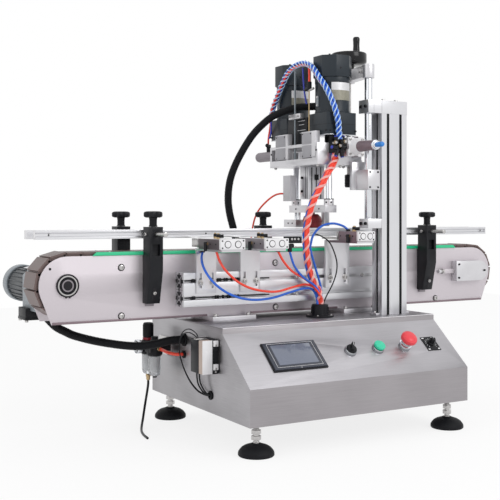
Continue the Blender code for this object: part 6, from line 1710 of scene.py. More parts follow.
@dataclass
class CappingHead:
    """The moving head: casing, motors, press, chuck, valves, cylinders and fittings."""

    x: float = 0.0825
    lane_y: float = LANE_Y
    motor_y: tuple[float, ...] = (-0.091, 0.095)
    valve_y: tuple[float, ...] = (-0.0714, 0.0580)
    valve_ends: tuple[tuple[float, float], ...] = ((-0.0859, -0.0400), (0.0375, 0.0885))
    plate_low: float = 0.650
    label_deg: tuple[float, float] = (232.0, 306.0)
    pin_y: tuple[float, float] = (-0.075, 0.079)
    front_cylinder: tuple[float, float, float] = (0.1125, -0.1485, 0.694)
    rear_cylinder: tuple[float, float, float] = (0.044, 0.1165, 0.684)

    def build(self) -> None:
        """Make every part of the head."""
        self.casing()
        self.valves()
        self.cylinders()
        self.manifold()
        for name, y in zip(("capping_motor_front", "capping_motor_rear"), self.motor_y):
            self.motor(name, y)
        self.motor_fittings()
        self.press()
        self.chuck()

    def casing(self) -> None:
        """Dress the casing and the slide block, and set their screws."""
        def finish_of(face: bmesh.types.BMFace) -> Finish | None:
            """The barrels are made apart; valves are pale, the manifold is black and the nut steel."""
            middle = face.calc_center_median()
            if middle.y < -0.1486 and abs(middle.x - self.front_cylinder[0]) < 0.0140:
                return None
            if middle.y > 0.1168 and abs(middle.x - self.rear_cylinder[0]) < 0.0140:
                return None
            if 0.0563 < middle.x < 0.0767 and middle.y < -0.1127 and 0.6785 < middle.z < 0.7095:
                return NYLON
            if any(all(v.co.x < 0.0362 and v.co.z > 0.6665 and abs(v.co.y - y) < 0.0315 for v in face.verts)
                   for y in self.valve_y):
                return VALVE_PALE
            if middle.x > 0.158 and middle.z > 0.6672:
                return STEEL
            return ALU_MILLED

        dress("head_frame", "head_casing", "head", 0.6, "aluminium", finish_of)
        dress("carriage", "slide_block", "head", 0.6, "aluminium", ALU_MILLED)
        below = [((x, y, self.plate_low - 0.0001), (0, 0, -1))
                 for x, y in ((0.033, 0.105), (0.033, -0.098), (0.066, -0.098), (0.100, -0.100),
                              (0.118, -0.074), (0.140, -0.058), (0.145, 0.105), (0.1830, -0.0550),
                              (0.1830, -0.0230))]
        screws("casing_bolts", "head", Head.HEX, 4.6, below)
        face = [((x, -0.1740, z), (0, -1, 0)) for x in (0.1385, 0.1635) for z in (0.593, 0.631)]
        face += [((0.0225 - 0.0001, y, 0.686), (-1, 0, 0)) for y in (-0.106, 0.110)]
        screws("slide_screws", "head", Head.PAN, 2.6, face, DARK_STEEL)

    def valves(self) -> None:
        """Make the two solenoid valves, each of two stacked pale blocks with a darker left face of painted
        shade.
        """
        shape = Shape()
        for y0, y1 in self.valve_ends:
            x0, x1 = 0.0222, 0.0345
            shape.box((x0 + 0.0012, y0 + 0.002, 0.6665), (x1 - 0.0012, y1 - 0.002, 0.6692), DARK_STEEL)
            for low, high in ((0.6690, 0.7010), (0.7022, 0.7335)):
                shape.box((x0 + 0.0008, y0, low), (x1, y1, high), VALVE_PALE)
                # The thin darker plate on each block's left face is painted shade
                shape.box((x0, y0 + 0.0008, low + 0.0008), (x0 + 0.0012, y1 - 0.0008, high - 0.0008),
                          VALVE_PAINTED_SHADE)
            shape.box((x0 + 0.0010, y0 + 0.0010, 0.7005), (x1 - 0.0010, y1 - 0.0010, 0.7027), DARK_STEEL)
        shape.piece("solenoid_valves", "head", 0.5)
        spots = [((0.0221, y, z), (-1, 0, 0)) for ends in self.valve_ends
                 for y in (ends[0] + 0.0045, ends[1] - 0.0045)
                 for z in (0.6735, 0.7290)]
        screws("valve_screws", "head", Head.PAN, 1.6, spots, DARK_STEEL)
        block = Shape()
        block.box((0.0366, -0.0440, 0.7052), (0.0560, 0.0480, 0.7740), NYLON)
        for z, y0, y1 in ((0.7660, -0.0330, 0.0000), (0.7560, -0.0300, -0.0060), (0.7420, -0.0360, 0.0020),
                          (0.7350, -0.0360, -0.0100)):
            block.box((0.0363, y0, z), (0.0367, y1, z + 0.0014), PRINT)
        block.piece("connection_box", "head", 0.7)

    def cylinders(self) -> None:
        """Make the two cylinder barrels with their noses, rings and tips."""
        shape = Shape()
        x, front, z = self.front_cylinder
        half, near, far = 0.0240, front - 0.0030, front + 0.0060
        nose = at((x, front, z), (0, -1, 0))
        shape.box((x - half, near, z - half), (x + half, far, z + half), WHITE)
        shape.revolve([(0.0200, 0.0025), (0.0200, 0.0060), (0.0182, 0.0085), (0.0175, 0.0120),
                       (0.0150, 0.0165), (0.0136, 0.0195), (0.0130, 0.0215)], WHITE, nose, 40)
        barrel = [(0.0134, 0.0200)]
        for k in range(18):
            height = 0.0215 + k * 0.0032
            r = 0.0136 - 0.0016 * k / 18
            barrel += [(r, height), (r, height + 0.0020), (r - 0.0006, height + 0.0024),
                       (r - 0.0006, height + 0.0029)]
        barrel.append((0.0118, 0.0795))
        shape.revolve(barrel, ALU_BROWN, nose, 32)
        shape.revolve([(0.0119, 0.0794), (0.0124, 0.0800), (0.0124, 0.0835), (0.0112, 0.0850)], CHROME, nose,
                      32)
        shape.revolve([(0.0098, 0.0845), (0.0104, 0.0855), (0.0104, 0.0885), (0.0090, 0.0895)], CHROME, nose,
                      32)
        shape.revolve([(0.0058, 0.0890), (0.0062, 0.0895), (0.0062, 0.1080), (0.0050, 0.1105), (0.0, 0.1110)],
                      BLUE_TIP, nose, 24)
        for side in (-1, 1):
            u, v = x + side * half, z + side * half
            shape.box((u - 0.0022, near, z - 0.0065), (u + 0.0022, far, z + 0.0065), ALU_GREY_AND_PAINTED_SHADE)
            shape.box((x - 0.0065, near, v - 0.0022), (x + 0.0065, far, v + 0.0022), ALU_GREY_AND_PAINTED_SHADE)
        rear = at(self.rear_cylinder, (0, 1, 0))
        body = [(0.0135, -0.0005), (0.0135, 0.0060)]
        for k in range(14):
            height = 0.0065 + k * 0.0062
            body += [(0.0128, height), (0.0128, height + 0.0008), (0.0135, height + 0.0012),
                     (0.0135, height + 0.0056)]
        body += [(0.0128, 0.0950), (0.0105, 0.0990), (0.0060, 0.1000), (0.0, 0.1000)]
        shape.revolve(body, ALU_GREY_AND_PAINTED_SHADE, rear, 32)
        elbow = (0.044, 0.1600, 0.6965)
        shape.rod(elbow, (elbow[0], elbow[1], 0.7170), 0.0062, NYLON, 16, 0.0012)
        shape.rod((0.044, 0.1600, 0.7110), (0.0330, 0.1520, 0.7150), 0.0052, NYLON, 16, 0.001)
        shape.piece("air_cylinders", "head", 0.5)
        spots = [((x + sx * 0.0185, front - 0.0031, z + sz * 0.0185), (0, -1, 0)) for sx in (-1, 1)
                 for sz in (-1, 1)]
        screws("cylinder_screws", "head", Head.CAP, 3.2, spots)

    def manifold(self) -> None:
        """Make the cluster of push-in elbows on the manifold."""
        shape = Shape()
        x, y, z = 0.0665, -0.1345, 0.694
        for u, v, dx, dz in ((-0.0075, 0.010, -0.30, 1.0), (0.0075, 0.011, 0.25, 1.0),
                             (-0.0080, -0.004, -1.0, 0.10), (0.0085, -0.002, 1.0, 0.20),
                             (-0.0050, -0.010, -0.45, -1.0), (0.0060, -0.011, 0.15, -1.0)):
            start = Vector((x + u, y + 0.001, z + v))
            knee = start + Vector((0, -0.0095, 0))
            way = Vector((dx, -0.12, dz)).normalized()
            shape.rod(start, knee + Vector((0, -0.0040, 0)), 0.0050, NYLON, 16, 0.001)
            shape.rod(knee, knee + way * 0.0150, 0.0048, NYLON, 16, 0.0008)
            shape.rod(knee + way * 0.0145, knee + way * 0.0168, 0.0042, TUBE_NAVY, 16, 0.0004)
        for u, v in ((0.0, 0.0015), (-0.0130, 0.0090), (0.0150, 0.0120)):
            shape.rod((x + u, y - 0.002, z + v), (x + u, y - 0.0165, z + v), 0.0034, STEEL, 16, 0.0006)
            shape.prism(hexagon(0.0046), 0.0040, BRASS, at((x + u, y - 0.0090, z + v), (0, -1, 0)))
        shape.piece("push_in_elbows", "head", 0.0)

    def motor(self, name: str, y: float) -> None:
        """Dress one capping motor.

        Args:
            name: The motor's solid.
            y: Place of its axis across the machine.
        """
        def finish_of(face: bmesh.types.BMFace) -> Finish:
            """The foot is blackened steel, the rest is enamelled."""
            return DARK_STEEL if face.calc_center_median().z < 0.7252 else ENAMEL

        place = at((self.x, y, 0))
        shape = Shape().node(name, finish_of)
        half, cut = 0.0462, 0.0065
        corner = [(-half + cut, -half), (half - cut, -half), (half, -half + cut), (half, half - cut),
                  (half - cut, half), (-half + cut, half), (-half, half - cut), (-half, -half + cut)]
        shape.prism(corner, 0.0016, CHROME, place @ Matrix.Translation((0, 0, 0.7236)))
        shape.prism([(p * 0.98, q * 0.98) for p, q in corner], 0.0010, NYLON,
                    place @ Matrix.Translation((0, 0, 0.7506)))
        shape.revolve([(0.0441, 0.8560), (0.0447, 0.8566), (0.0447, 0.8695), (0.0441, 0.8701)], ENAMEL, place,
                      64)
        shape.revolve([(0.0442, 0.7802), (0.0449, 0.7806), (0.0449, 0.7850), (0.0442, 0.7856)], ENAMEL, place,
                      64)
        shape.revolve([(0.0300, 0.9238), (0.0300, 0.9252), (0.0285, 0.9262), (0.0, 0.9264)], ENAMEL, place,
                      48)
        shape.piece(f"{name}_painted", "head", 0.9, [name], "motor_paint")
        dots = Shape()
        for point, normal in (((self.x - 0.0063, y - 0.0456, 0.8915), (0, -1, 0)),
                              ((self.x - 0.0456, y - 0.0110, 0.8915), (-1, 0, 0))):
            dots.revolve([(0.0030, -0.0002), (0.0026, 0.0003), (0.0012, 0.0004), (0.0, 0.0001)], DARK_STEEL,
                         at(point, normal), 16)
        dots.piece(f"{name}_cap_holes", "head")
        spots = [((self.x + sx * 0.029, y + sy * 0.029, 0.9243), (0, 0, 1)) for sx in (-1, 1)
                 for sy in (-1, 1)]
        spots += [((self.x + sx * 0.0385, y - 0.0452, 0.7340), (0, -1, 0)) for sx in (-1, 1)]
        spots += [((self.x - 0.0452, y + sy * 0.0385, 0.7340), (-1, 0, 0)) for sy in (-1, 1)]
        screws(f"{name}_screws", "head", Head.CAP, 2.4, spots, DARK_STEEL)
        self.label(f"{name}_label", Matrix.Translation((self.x, y, 0)))

    def label(self, name: str, place: Matrix) -> None:
        """Wrap a blank two-tone foil label round a motor's body.

        Args:
            name: Name of the label.
            place: Place of the motor's axis.
        """
        shape = Shape()
        first, last = (math.radians(d) for d in self.label_deg)
        steps = 14
        angles = [first + (last - first) * k / steps for k in range(steps + 1)]
        for low, high, finish in ((0.8110, 0.8360, FOIL_DULL), (0.8360, 0.8555, FOIL)):
            shape.patch(finish, place, 0.0448, angles, low, high)
        turn = place @ Matrix.Rotation(math.radians(178), 4, "Z")
        for k in range(2):
            shape.rod(turn @ Vector((0.0430, 0, 0.800 + 0.020 * k)),
                      turn @ Vector((0.0475, 0, 0.800 + 0.020 * k)), 0.0030, STEEL, 12, 0.0006)
        shape.box((0.0435, -0.0045, 0.7965), (0.0462, 0.0045, 0.8235), ENAMEL_GREY, turn)
        shape.piece(name, "head")

    def motor_fittings(self) -> None:
        """Make the thin guide rod beside the motors, its clamp bar and the small black fitting."""
        shape = Shape()
        shape.rod((0.0300, 0.0032, 0.6665), (0.0300, 0.0032, 0.9045), 0.0026, ROD_STEEL, 16, 0.0006)
        shape.box((0.0235, -0.0300, 0.7720), (0.0352, 0.0240, 0.7850), ALU_MILLED)
        shape.rod((0.0320, -0.0600, 0.7345), (0.0320, -0.0600, 0.8500), 0.0017, BRASS, 12, 0.0004)
        shape.rod((0.0300, -0.0640, 0.8430), (0.0300, -0.0640, 0.8620), 0.0062, NYLON, 16, 0.001)
        shape.rod((0.0300, -0.0640, 0.8460), (0.0310, -0.0400, 0.8430), 0.0042, NYLON, 16, 0.001)
        shape.rod((0.0300, -0.0640, 0.8400), (0.0330, -0.0800, 0.8440), 0.0030, STEEL, 12, 0.0006)
        shape.piece("motor_fittings", "head", 0.3)
        screws("clamp_bar_screws", "head", Head.CAP, 2.6,
               [((0.0235, y, 0.7785), (-1, 0, 0)) for y in (-0.0220, 0.0160)])

    def press(self) -> None:
        """Dress the guided press cylinder, its plate and its pins."""
        dress("press_cylinder", "press_barrel", "head", 0.7, "aluminium", ALU_Z)
        detail = Shape()
        left, front = 0.0575, -0.0180
        detail.box((left - 0.0004, 0.0000, 0.5700), (left + 0.0001, 0.0195, 0.6480), ALU_MILLED)
        for y in (-0.0045, -0.0120):
            detail.box((left - 0.0002, y - 0.0012, 0.5660), (left + 0.0001, y + 0.0012, 0.6480), DARK_STEEL)
        for x in (0.0680, 0.0820, 0.0960):
            detail.box((x - 0.0016, front - 0.0002, 0.5660), (x + 0.0016, front + 0.0001, 0.6480), DARK_STEEL)
        detail.box((0.0770, front - 0.0040, 0.6150), (0.0870, front, 0.6290), NYLON)
        detail.box((0.0225, 0.0150, 0.5600), (0.0400, 0.0500, 0.6270), VALVE_PALE)
        detail.piece("press_barrel_grooves", "head", 0.2)
        screws("press_barrel_screws", "head", Head.CAP, 3.4,
               [((left - 0.0004, 0.0098, z), (-1, 0, 0)) for z in (0.6211, 0.5856)], DARK_STEEL)

        def finish_of(face: bmesh.types.BMFace) -> Finish:
            """Pins and studs are chromed, the rest is milled aluminium."""
            middle = face.calc_center_median()
            for y, r in (*((y, 0.0085) for y in self.pin_y), (self.lane_y, 0.0065)):
                if math.hypot(middle.x - self.x, middle.y - y) < r and middle.z > 0.5632 or \
                        math.hypot(middle.x - self.x, middle.y - y) < 0.0065 and middle.z > 0.5492:
                    return CHROME
            return CHROME if 0.5112 < middle.z < 0.5298 and middle.y > 0.050 else ALU_MILLED

        dress("press_plate", "press_yoke", "press", 0.6, "aluminium", finish_of)
        rings = Shape()
        for y in self.pin_y:
            rings.revolve([(0.0081, 0.5632), (0.0128, 0.5632), (0.0128, 0.5652), (0.0081, 0.5656)], RUBBER,
                          at((self.x, y, 0)), 32)
        rings.revolve([(0.0074, 0.5490), (0.0100, 0.5491), (0.0100, 0.5520), (0.0072, 0.5530)], STEEL,
                      at((self.x, 0.002, 0)), 24)
        rings.piece("pin_rings", "press")
        spots = []
        for y in self.pin_y:
            for deg in (205, 262):
                way = Vector((math.cos(math.radians(deg)), math.sin(math.radians(deg)), 0))
                spots.append((tuple(Vector((self.x, y, 0.5560)) + way * 0.0130), tuple(way)))
        spots += [((0.0635, y, 0.5013), (-1, 0, 0)) for y in (0.0700, 0.0901)]
        spots += [((0.0655, y, 0.5395), (-1, 0, 0)) for y in (-0.055, 0.055)]
        screws("press_screws", "press", Head.PAN, 2.2, spots, DARK_STEEL)

    def chuck(self) -> None:
        """Make the soft chuck with its rings and its upright ribs."""
        dress("chuck", "chuck_moulded", "chuck", 0.5, "silicone", SILICONE)
        place = at((self.x, self.lane_y, 0))
        rings = Shape()
        for k in range(5):
            z = 0.4935 + k * 0.0036
            rings.revolve([(0.0249, z), (0.0255, z + 0.0006), (0.0255, z + 0.0014), (0.0249, z + 0.0020)],
                          SILICONE, place, 48)
        rings.piece("chuck_rings", "chuck")
        rib = Shape().box((0.0, -0.0007, -0.0070), (0.0012, 0.0007, 0.0070), SILICONE)
        places = [place @ turn @ Matrix.Translation((0.0230, 0, 0.5130)) @ Matrix.Rotation(-0.35, 4, "Y")
                  for turn in turns(28)]
        Copies.piece("chuck_ribs", "chuck", rib, places, SILICONE)


@dataclass
class BottleClamps:
    """Cross beam with the three stations whose twin-rod cylinders push the front rail's fingers."""

    xs: tuple[float, ...] = (-0.2765, -0.1575, 0.0995)
    plates: tuple[float, ...] = (0.052, 0.054, 0.074)
    widths: tuple[float, ...] = (0.062, 0.062, 0.050)
    fronts: tuple[float, ...] = (-0.219, -0.213, -0.211)
    backs: tuple[float, ...] = (-0.110, -0.105, -0.130)
    lows: tuple[float, ...] = (0.446, 0.446, 0.460)

    def build(self) -> None:
        """Make the beam and each station."""
        dress("cross_beam", "beam_profile", "frame", 0.4, "aluminium", ALU_X)
        self.beam_parts()
        for index in range(3):
            self.station(index)

    def beam_parts(self) -> None:
        """Show the profile's end section and lay the draw bars with their nuts in its two slots."""
        end = Shape()
        left = -0.3337
        end.box((left - 0.0008, -0.0828, 0.3085), (left, -0.0438, 0.3875), NYLON)
        for z in (0.328, 0.368):
            middle = Matrix.Translation((left - 0.0009, -0.0633, z))
            end.box((-0.0010, -0.0055, -0.0055), (0.0002, 0.0055, 0.0055), ALU_MILLED, middle)
            end.rod(middle @ Vector((-0.0013, 0, 0)), middle @ Vector((-0.0005, 0, 0)), 0.0034, NYLON, 20)
            for quarter in range(4):
                turn = middle @ Matrix.Rotation(math.pi / 2 * quarter, 4, "X")
                end.box((-0.0010, 0.0130, 0.0130), (0.0002, 0.0197, 0.0197), ALU_MILLED, turn)
                end.box((-0.0010, 0.0150, 0.0042), (0.0002, 0.0195, 0.0135), ALU_MILLED, turn)
                end.box((-0.0010, 0.0150, -0.0135), (0.0002, 0.0195, -0.0042), ALU_MILLED, turn)
                end.box((-0.0010, 0.0050, -0.0009), (0.0002, 0.0190, 0.0009), ALU_MILLED,
                        turn @ Matrix.Rotation(math.pi / 4, 4, "X"))
        for z, nuts in ((0.3290, (-0.3075, -0.2480, -0.2420, -0.2290, -0.2160, -0.2100, -0.1970, -0.1880)),
                        (0.3695,
                         (-0.3085, -0.2430, -0.2370, -0.2250, -0.2190, -0.2060, -0.1950, -0.1890, -0.1500))):
            end.rod((-0.3300, -0.0822, z), (-0.1000, -0.0822, z), 0.0016, DARK_STEEL, 12)
            for x in nuts:
                half = 0.0042 if x < -0.3 else 0.0019
                end.rod((x - half, -0.0834, z), (x + half, -0.0834, z), 0.0044, NYLON, 6, 0.0004)
        end.piece("beam_end_and_bar", "frame", 0.4)
        spots = [((x, -0.0834, z), (0, -1, 0))
                 for x, z in ((-0.020, 0.368), (0.020, 0.368), (-0.020, 0.328), (0.180, 0.368),
                                                           (0.225, 0.328), (0.225, 0.368))]
        screws("beam_screws", "frame", Head.BUTTON, 5.2, spots)

    def station(self, index: int) -> None:
        """Dress one station: upright, shelf, cylinder, plugs, screws and fittings.

        Args:
            index: Which of the three, from the left.
        """
        x, width = self.xs[index], self.widths[index]
        front, back, low = self.fronts[index], self.backs[index], self.lows[index]
        high = low + 0.023
        number = index + 1

        def finish_of(face: bmesh.types.BMFace) -> Finish:
            """The cylinder is pale with a darker left face of painted shade, the third one bronze; brackets
            are milled.
            """
            middle = face.calc_center_median()
            if middle.z > low + 0.0002:
                # The first two cylinders' left faces are painted shade
                side = (ALU_PAINTED_SHADE, ALU_GREY_AND_PAINTED_SHADE, ALU_BROWN)[index]
                return side if face.normal.x < -0.5 or index == 2 else VALVE_PALE
            return ALU_MILLED

        dress(f"clamp_station_{number}", f"clamp_unit_{number}", "frame", 0.6, "aluminium", finish_of)
        dress(f"clamp_rods_{number}", f"clamp_piston_{number}", f"clamp_{number}", 0.5, "bright_steel", STEEL)
        face = Shape()
        middle_z = (low + high) / 2
        face.box((x - width / 2 - 0.0003, front - 0.0012, low + 0.0002),
                 (x + width / 2 + 0.0003, front + 0.0060, high + 0.0003), WHITE)
        for side in (-1, 1):
            plug = at((x + side * width * 0.21, front - 0.0012, middle_z), (0, -1, 0))
            # A dark disc under each white plug leaves a ring of painted shadow round it
            face.revolve([(0.0084, -0.0001), (0.0084, 0.0003), (0.0, 0.0004)], DARK_STEEL, plug, 32)
            face.revolve([(0.0068, 0.0002), (0.0068, 0.0010), (0.0062, 0.0014), (0.0044, 0.0012),
                          (0.0, 0.0011)],
                         WHITE, plug, 32)
        face.piece(f"clamp_face_{number}", "frame", 0.4)
        spots = [((x + sx * (width / 2 - 0.0042), front - 0.0012, middle_z + sz * 0.0080), (0, -1, 0))
                 for sx in (-1, 1) for sz in (-1, 1)]
        spots += [((x - width / 2, y, middle_z), (-1, 0, 0))
                  for y in (front + 0.022, front + 0.050, front + 0.074)]
        screws(f"clamp_face_screws_{number}", "frame", Head.PAN, 1.9, spots, DARK_STEEL)
        slot_x = self.plates[index] * 0.3
        spots = [((x + side * slot_x, -0.0896, z), (0, -1, 0)) for side in (-1, 1) for z in (0.3645,)]
        washers = Shape()
        for (sx, sy, sz), _ in spots:
            washers.revolve([(0.0075, -0.0002), (0.0075, 0.0010), (0.0040, 0.0011)], STEEL,
                            at((sx, sy, sz), (0, -1, 0)), 24)
        washers.piece(f"clamp_washers_{number}", "frame")
        screws(f"clamp_bolts_{number}", "frame", Head.CAP, 4.6,
               [((px, py - 0.0010, pz), n) for (px, py, pz), n in spots])
        self.fittings(number, x, width, front, back, low, high)

    def fittings(self, number: int, x: float, width: float, front: float, back: float, low: float,
                 high: float) -> None:
        """Make a station's brass speed controls, its black elbows and its cushion screws.

        Args:
            number: Number of the station.
            x: Middle of the station.
            width: Width of its cylinder.
            front: Front of the cylinder.
            back: Back of the cylinder.
            low: Underside of the cylinder.
            high: Top of the cylinder.
        """
        shape = Shape()
        for k, y in enumerate((front + 0.034, back - 0.026)):
            side = x - width / 2 + 0.012 + 0.018 * k
            shape.rod((side, y, high - 0.001), (side, y, high + 0.0045), 0.0044, BRASS, 6, 0.0004)
            shape.rod((side, y, high + 0.0040), (side, y, high + 0.0110), 0.0042, NYLON, 16, 0.0008)
            shape.rod((side, y, high + 0.0060), (side + 0.0110, y - 0.0060, high + 0.0070), 0.0040, NYLON, 16,
                      0.0008)
            shape.rod((side, y, high + 0.0108), (side, y, high + 0.0135), 0.0026, BRASS, 12, 0.0004)
        shape.rod((x - width / 2 + 0.001, back - 0.045, low + 0.012),
                  (x - width / 2 - 0.0060, back - 0.045, low + 0.012), 0.0042, BRASS, 6, 0.0004)
        shape.rod((x - width / 2 - 0.0050, back - 0.045, low + 0.016),
                  (x - width / 2 - 0.0050, back - 0.045, low - 0.0050), 0.0042, NYLON, 16, 0.0008)
        shape.piece(f"clamp_fittings_{number}", "frame")


@dataclass
class Hoses:
    """Conduits, the wrapped bundles and the loose air tubes."""

    gland: tuple[float, float] = (0.0325, -0.108)

    def build(self) -> None:
        """Make the gland, the conduits, the bundles and the tubes."""
        self.gland_nut()
        self.conduits()
        self.main_bundle()
        self.arch()
        self.head_tubes()
        self.clamp_tubes()

    def gland_nut(self) -> None:
        """Dress the deck gland with its lobed nut and its screws."""
        dress("deck_gland", "cable_gland", "frame", 0.6, "black_plastic", NYLON)
        low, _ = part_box("deck_gland")
        x, y = self.gland
        rib = Shape().box((0.0196, -0.0018, 0.0), (0.0222, 0.0018, 0.0170), NYLON)
        places = [Matrix.Translation((x, y, low.z + 0.0080)) @ turn for turn in turns(12)]
        Copies.piece("gland_lobes", "frame", rib, places, NYLON)
        spots = [((x + 0.0285 * math.cos(a), y + 0.0285 * math.sin(a), low.z + 0.0040), (0, 0, 1))
                 for a in (0.8, 2.37, 3.94, 5.5)]
        screws("gland_screws", "frame", Head.PAN, 2.8, spots)

    def conduits(self) -> None:
        """Lay the two ribbed conduits along the same routes as their solids."""
        left = Route(CONDUIT_LEFT).line
        mounted(hose("conduit_left_ribbed", left, 0.0096, RUBBER, 0.0034, 0.0005, 20), "frame",
                ["conduit_left"])
        head = hose("conduit_head_ribbed", Route(CONDUIT_HEAD).line, 0.0096, RUBBER, 0.0034, 0.0005, 20)
        self.bend(head, "conduit_head")
        rings = Shape()
        end = Vector(CONDUIT_HEAD[-1])
        rings.revolve([(0.0104, 0.0), (0.0160, 0.0002), (0.0160, 0.0030), (0.0135, 0.0040), (0.0135, 0.0120),
                       (0.0108, 0.0140)],
                      NYLON, at(end), 32)
        rings.piece("conduit_socket_deck", "frame")
        start = Vector(CONDUIT_HEAD[0])
        sock = Shape().revolve([(0.0104, -0.0010), (0.0145, -0.0008), (0.0145, 0.0060), (0.0120, 0.0090),
                                (0.0120, 0.0160), (0.0106, 0.0175)], NYLON,
                                at(start, Vector(CONDUIT_HEAD[1]) - start), 32)
        sock.piece("conduit_socket_head", "head")

    def bend(self, obj: bpy.types.Object,
             solid: str = "") -> None:
        """Bake a hose's place into its mesh and hide the solid that it stands for.

        Args:
            obj: The hose.
            solid: Solid that it stands for.
        """
        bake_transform(obj)
        if solid:
            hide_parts(solid)
        LOG.info("%s bends between frame and head", obj.name)

    def main_bundle(self) -> None:
        """Twist red and blue tubes along the main bundle's route, inside a pink spiral wrap."""
        route = Route(BUNDLE)
        strands = ((TUBE_RED, 0.0043, 3.5, 0.0040), (TUBE_RED, 0.0043, 5.6, 0.0040),
                   (TUBE_BLUE, 0.0036, 1.9, 0.0050), (TUBE_NAVY, 0.0030, 1.0, 0.0058))
        parts = [hose(f"strand_{k}", route.strand(reach, -0.55, phase), radius, finish, sides=12)
                 for k, (finish, radius, phase, reach) in enumerate(strands)]
        parts += [hose(f"wrap_{k}", route.strand(0.0087, 19.0, math.pi * (k // 3) + 0.30 * (k % 3)), 0.0011,
                       WRAP_PINK, sides=6, step=0.0026) for k in range(6)]
        self.bend(joined("hose_bundle_wrapped", parts), "hose_bundle")

    def arch(self) -> None:
        """Arch the second bundle over the motors, inside its milky spiral wrap."""
        route = Route(ARCH)
        parts = [hose("arch_red", route.strand(0.0040, 0.8, -0.5), 0.0032, TUBE_RED, sides=10),
                 hose("arch_blue", route.strand(0.0040, 0.8, 1.6), 0.0032, TUBE_BLUE, sides=10),
                 hose("arch_second_blue", route.strand(0.0040, 0.8, 3.6), 0.0032, TUBE_BLUE, sides=10)]
        parts += [hose(f"arch_wrap_{k}", route.strand(0.0071, 24.0, 2.094 * (k // 2) + 0.30 * (k % 2)),
                       0.0009, WRAP, sides=6, step=0.0026) for k in range(6)]
        mounted(joined("arch_bundle", parts), "head", ())

    def head_tubes(self) -> None:
        """Lead single tubes from the arch to the valves and the rear cylinder, and one to the deck."""
        runs = (
            ("arch_end_red", 0.0026, TUBE_RED,
             [ARCH[-1], (0.030, 0.130, 0.7600), (0.036, 0.148, 0.7340), (0.0400, 0.156, 0.7180)]),
            ("arch_end_blue", 0.0024, TUBE_NAVY,
             [ARCH[-1], (0.024, 0.114, 0.7560), (0.016, 0.104, 0.7380), (0.008, 0.098, 0.7290)]),
            ("drop_navy", 0.0023, TUBE_NAVY,
             [(0.026, -0.040, 0.9000), (0.027, -0.041, 0.8700), (0.030, -0.042, 0.8350),
                                             (0.036, -0.042, 0.8080)]),
            ("drop_red", 0.0030, TUBE_RED,
             [(0.028, -0.066, 0.8980), (0.029, -0.0655, 0.8800), (0.030, -0.064, 0.8600)]),
        )
        for name, radius, finish, points in runs:
            mounted(hose(name, Route(points).line, radius, finish, sides=12), "head", ())
        red = hose("loop_red", Route(LOOP_RED).line, 0.0024, TUBE_RED, sides=12)
        self.bend(red, "")

    def clamp_tubes(self) -> None:
        """Make the elbows at the clamps, and lay the loose tubes to the gland and the sensor's cable."""
        elbows = Shape()
        for name, radius, finish, points in CLAMP_TUBES:
            if name == "sensor_cable":
                continue
            up = -1.0 if name == "tube_blue_3" else 1.0
            start = Vector(points[-1] if name == "tube_blue_3" else points[0])
            knee = start + Vector((0.0, 0.0, 0.0130 * up))
            elbows.rod(start - Vector((0.0, 0.0, 0.0020 * up)), knee + Vector((0.0, 0.0, 0.0040 * up)),
                       0.0056, NYLON, 16, 0.0008)
            elbows.rod(knee, knee + Vector((0.0100, 0.0, 0.0)), 0.0050, NYLON, 16, 0.0008)
        elbows.box((-0.0994, -0.1680, 0.4560), (-0.0600, -0.1480, 0.4720), NYLON)
        for x in (-0.0880, -0.0800, -0.0700):
            elbows.rod((x, -0.1690, 0.4660), (x, -0.1675, 0.4660), 0.0028, STEEL, 16, 0.0004)
        for y in (-0.0910, -0.1100, -0.1370, -0.1600):
            elbows.rod((-0.2800, y, 0.4600), (-0.2776, y, 0.4600), 0.0034, STEEL, 16, 0.0004)
        elbows.piece("clamp_elbows", "frame")
        for name, radius, finish, points in CLAMP_TUBES:
            mounted(hose(name, Route(points).line, radius, finish, sides=12), "frame", ())


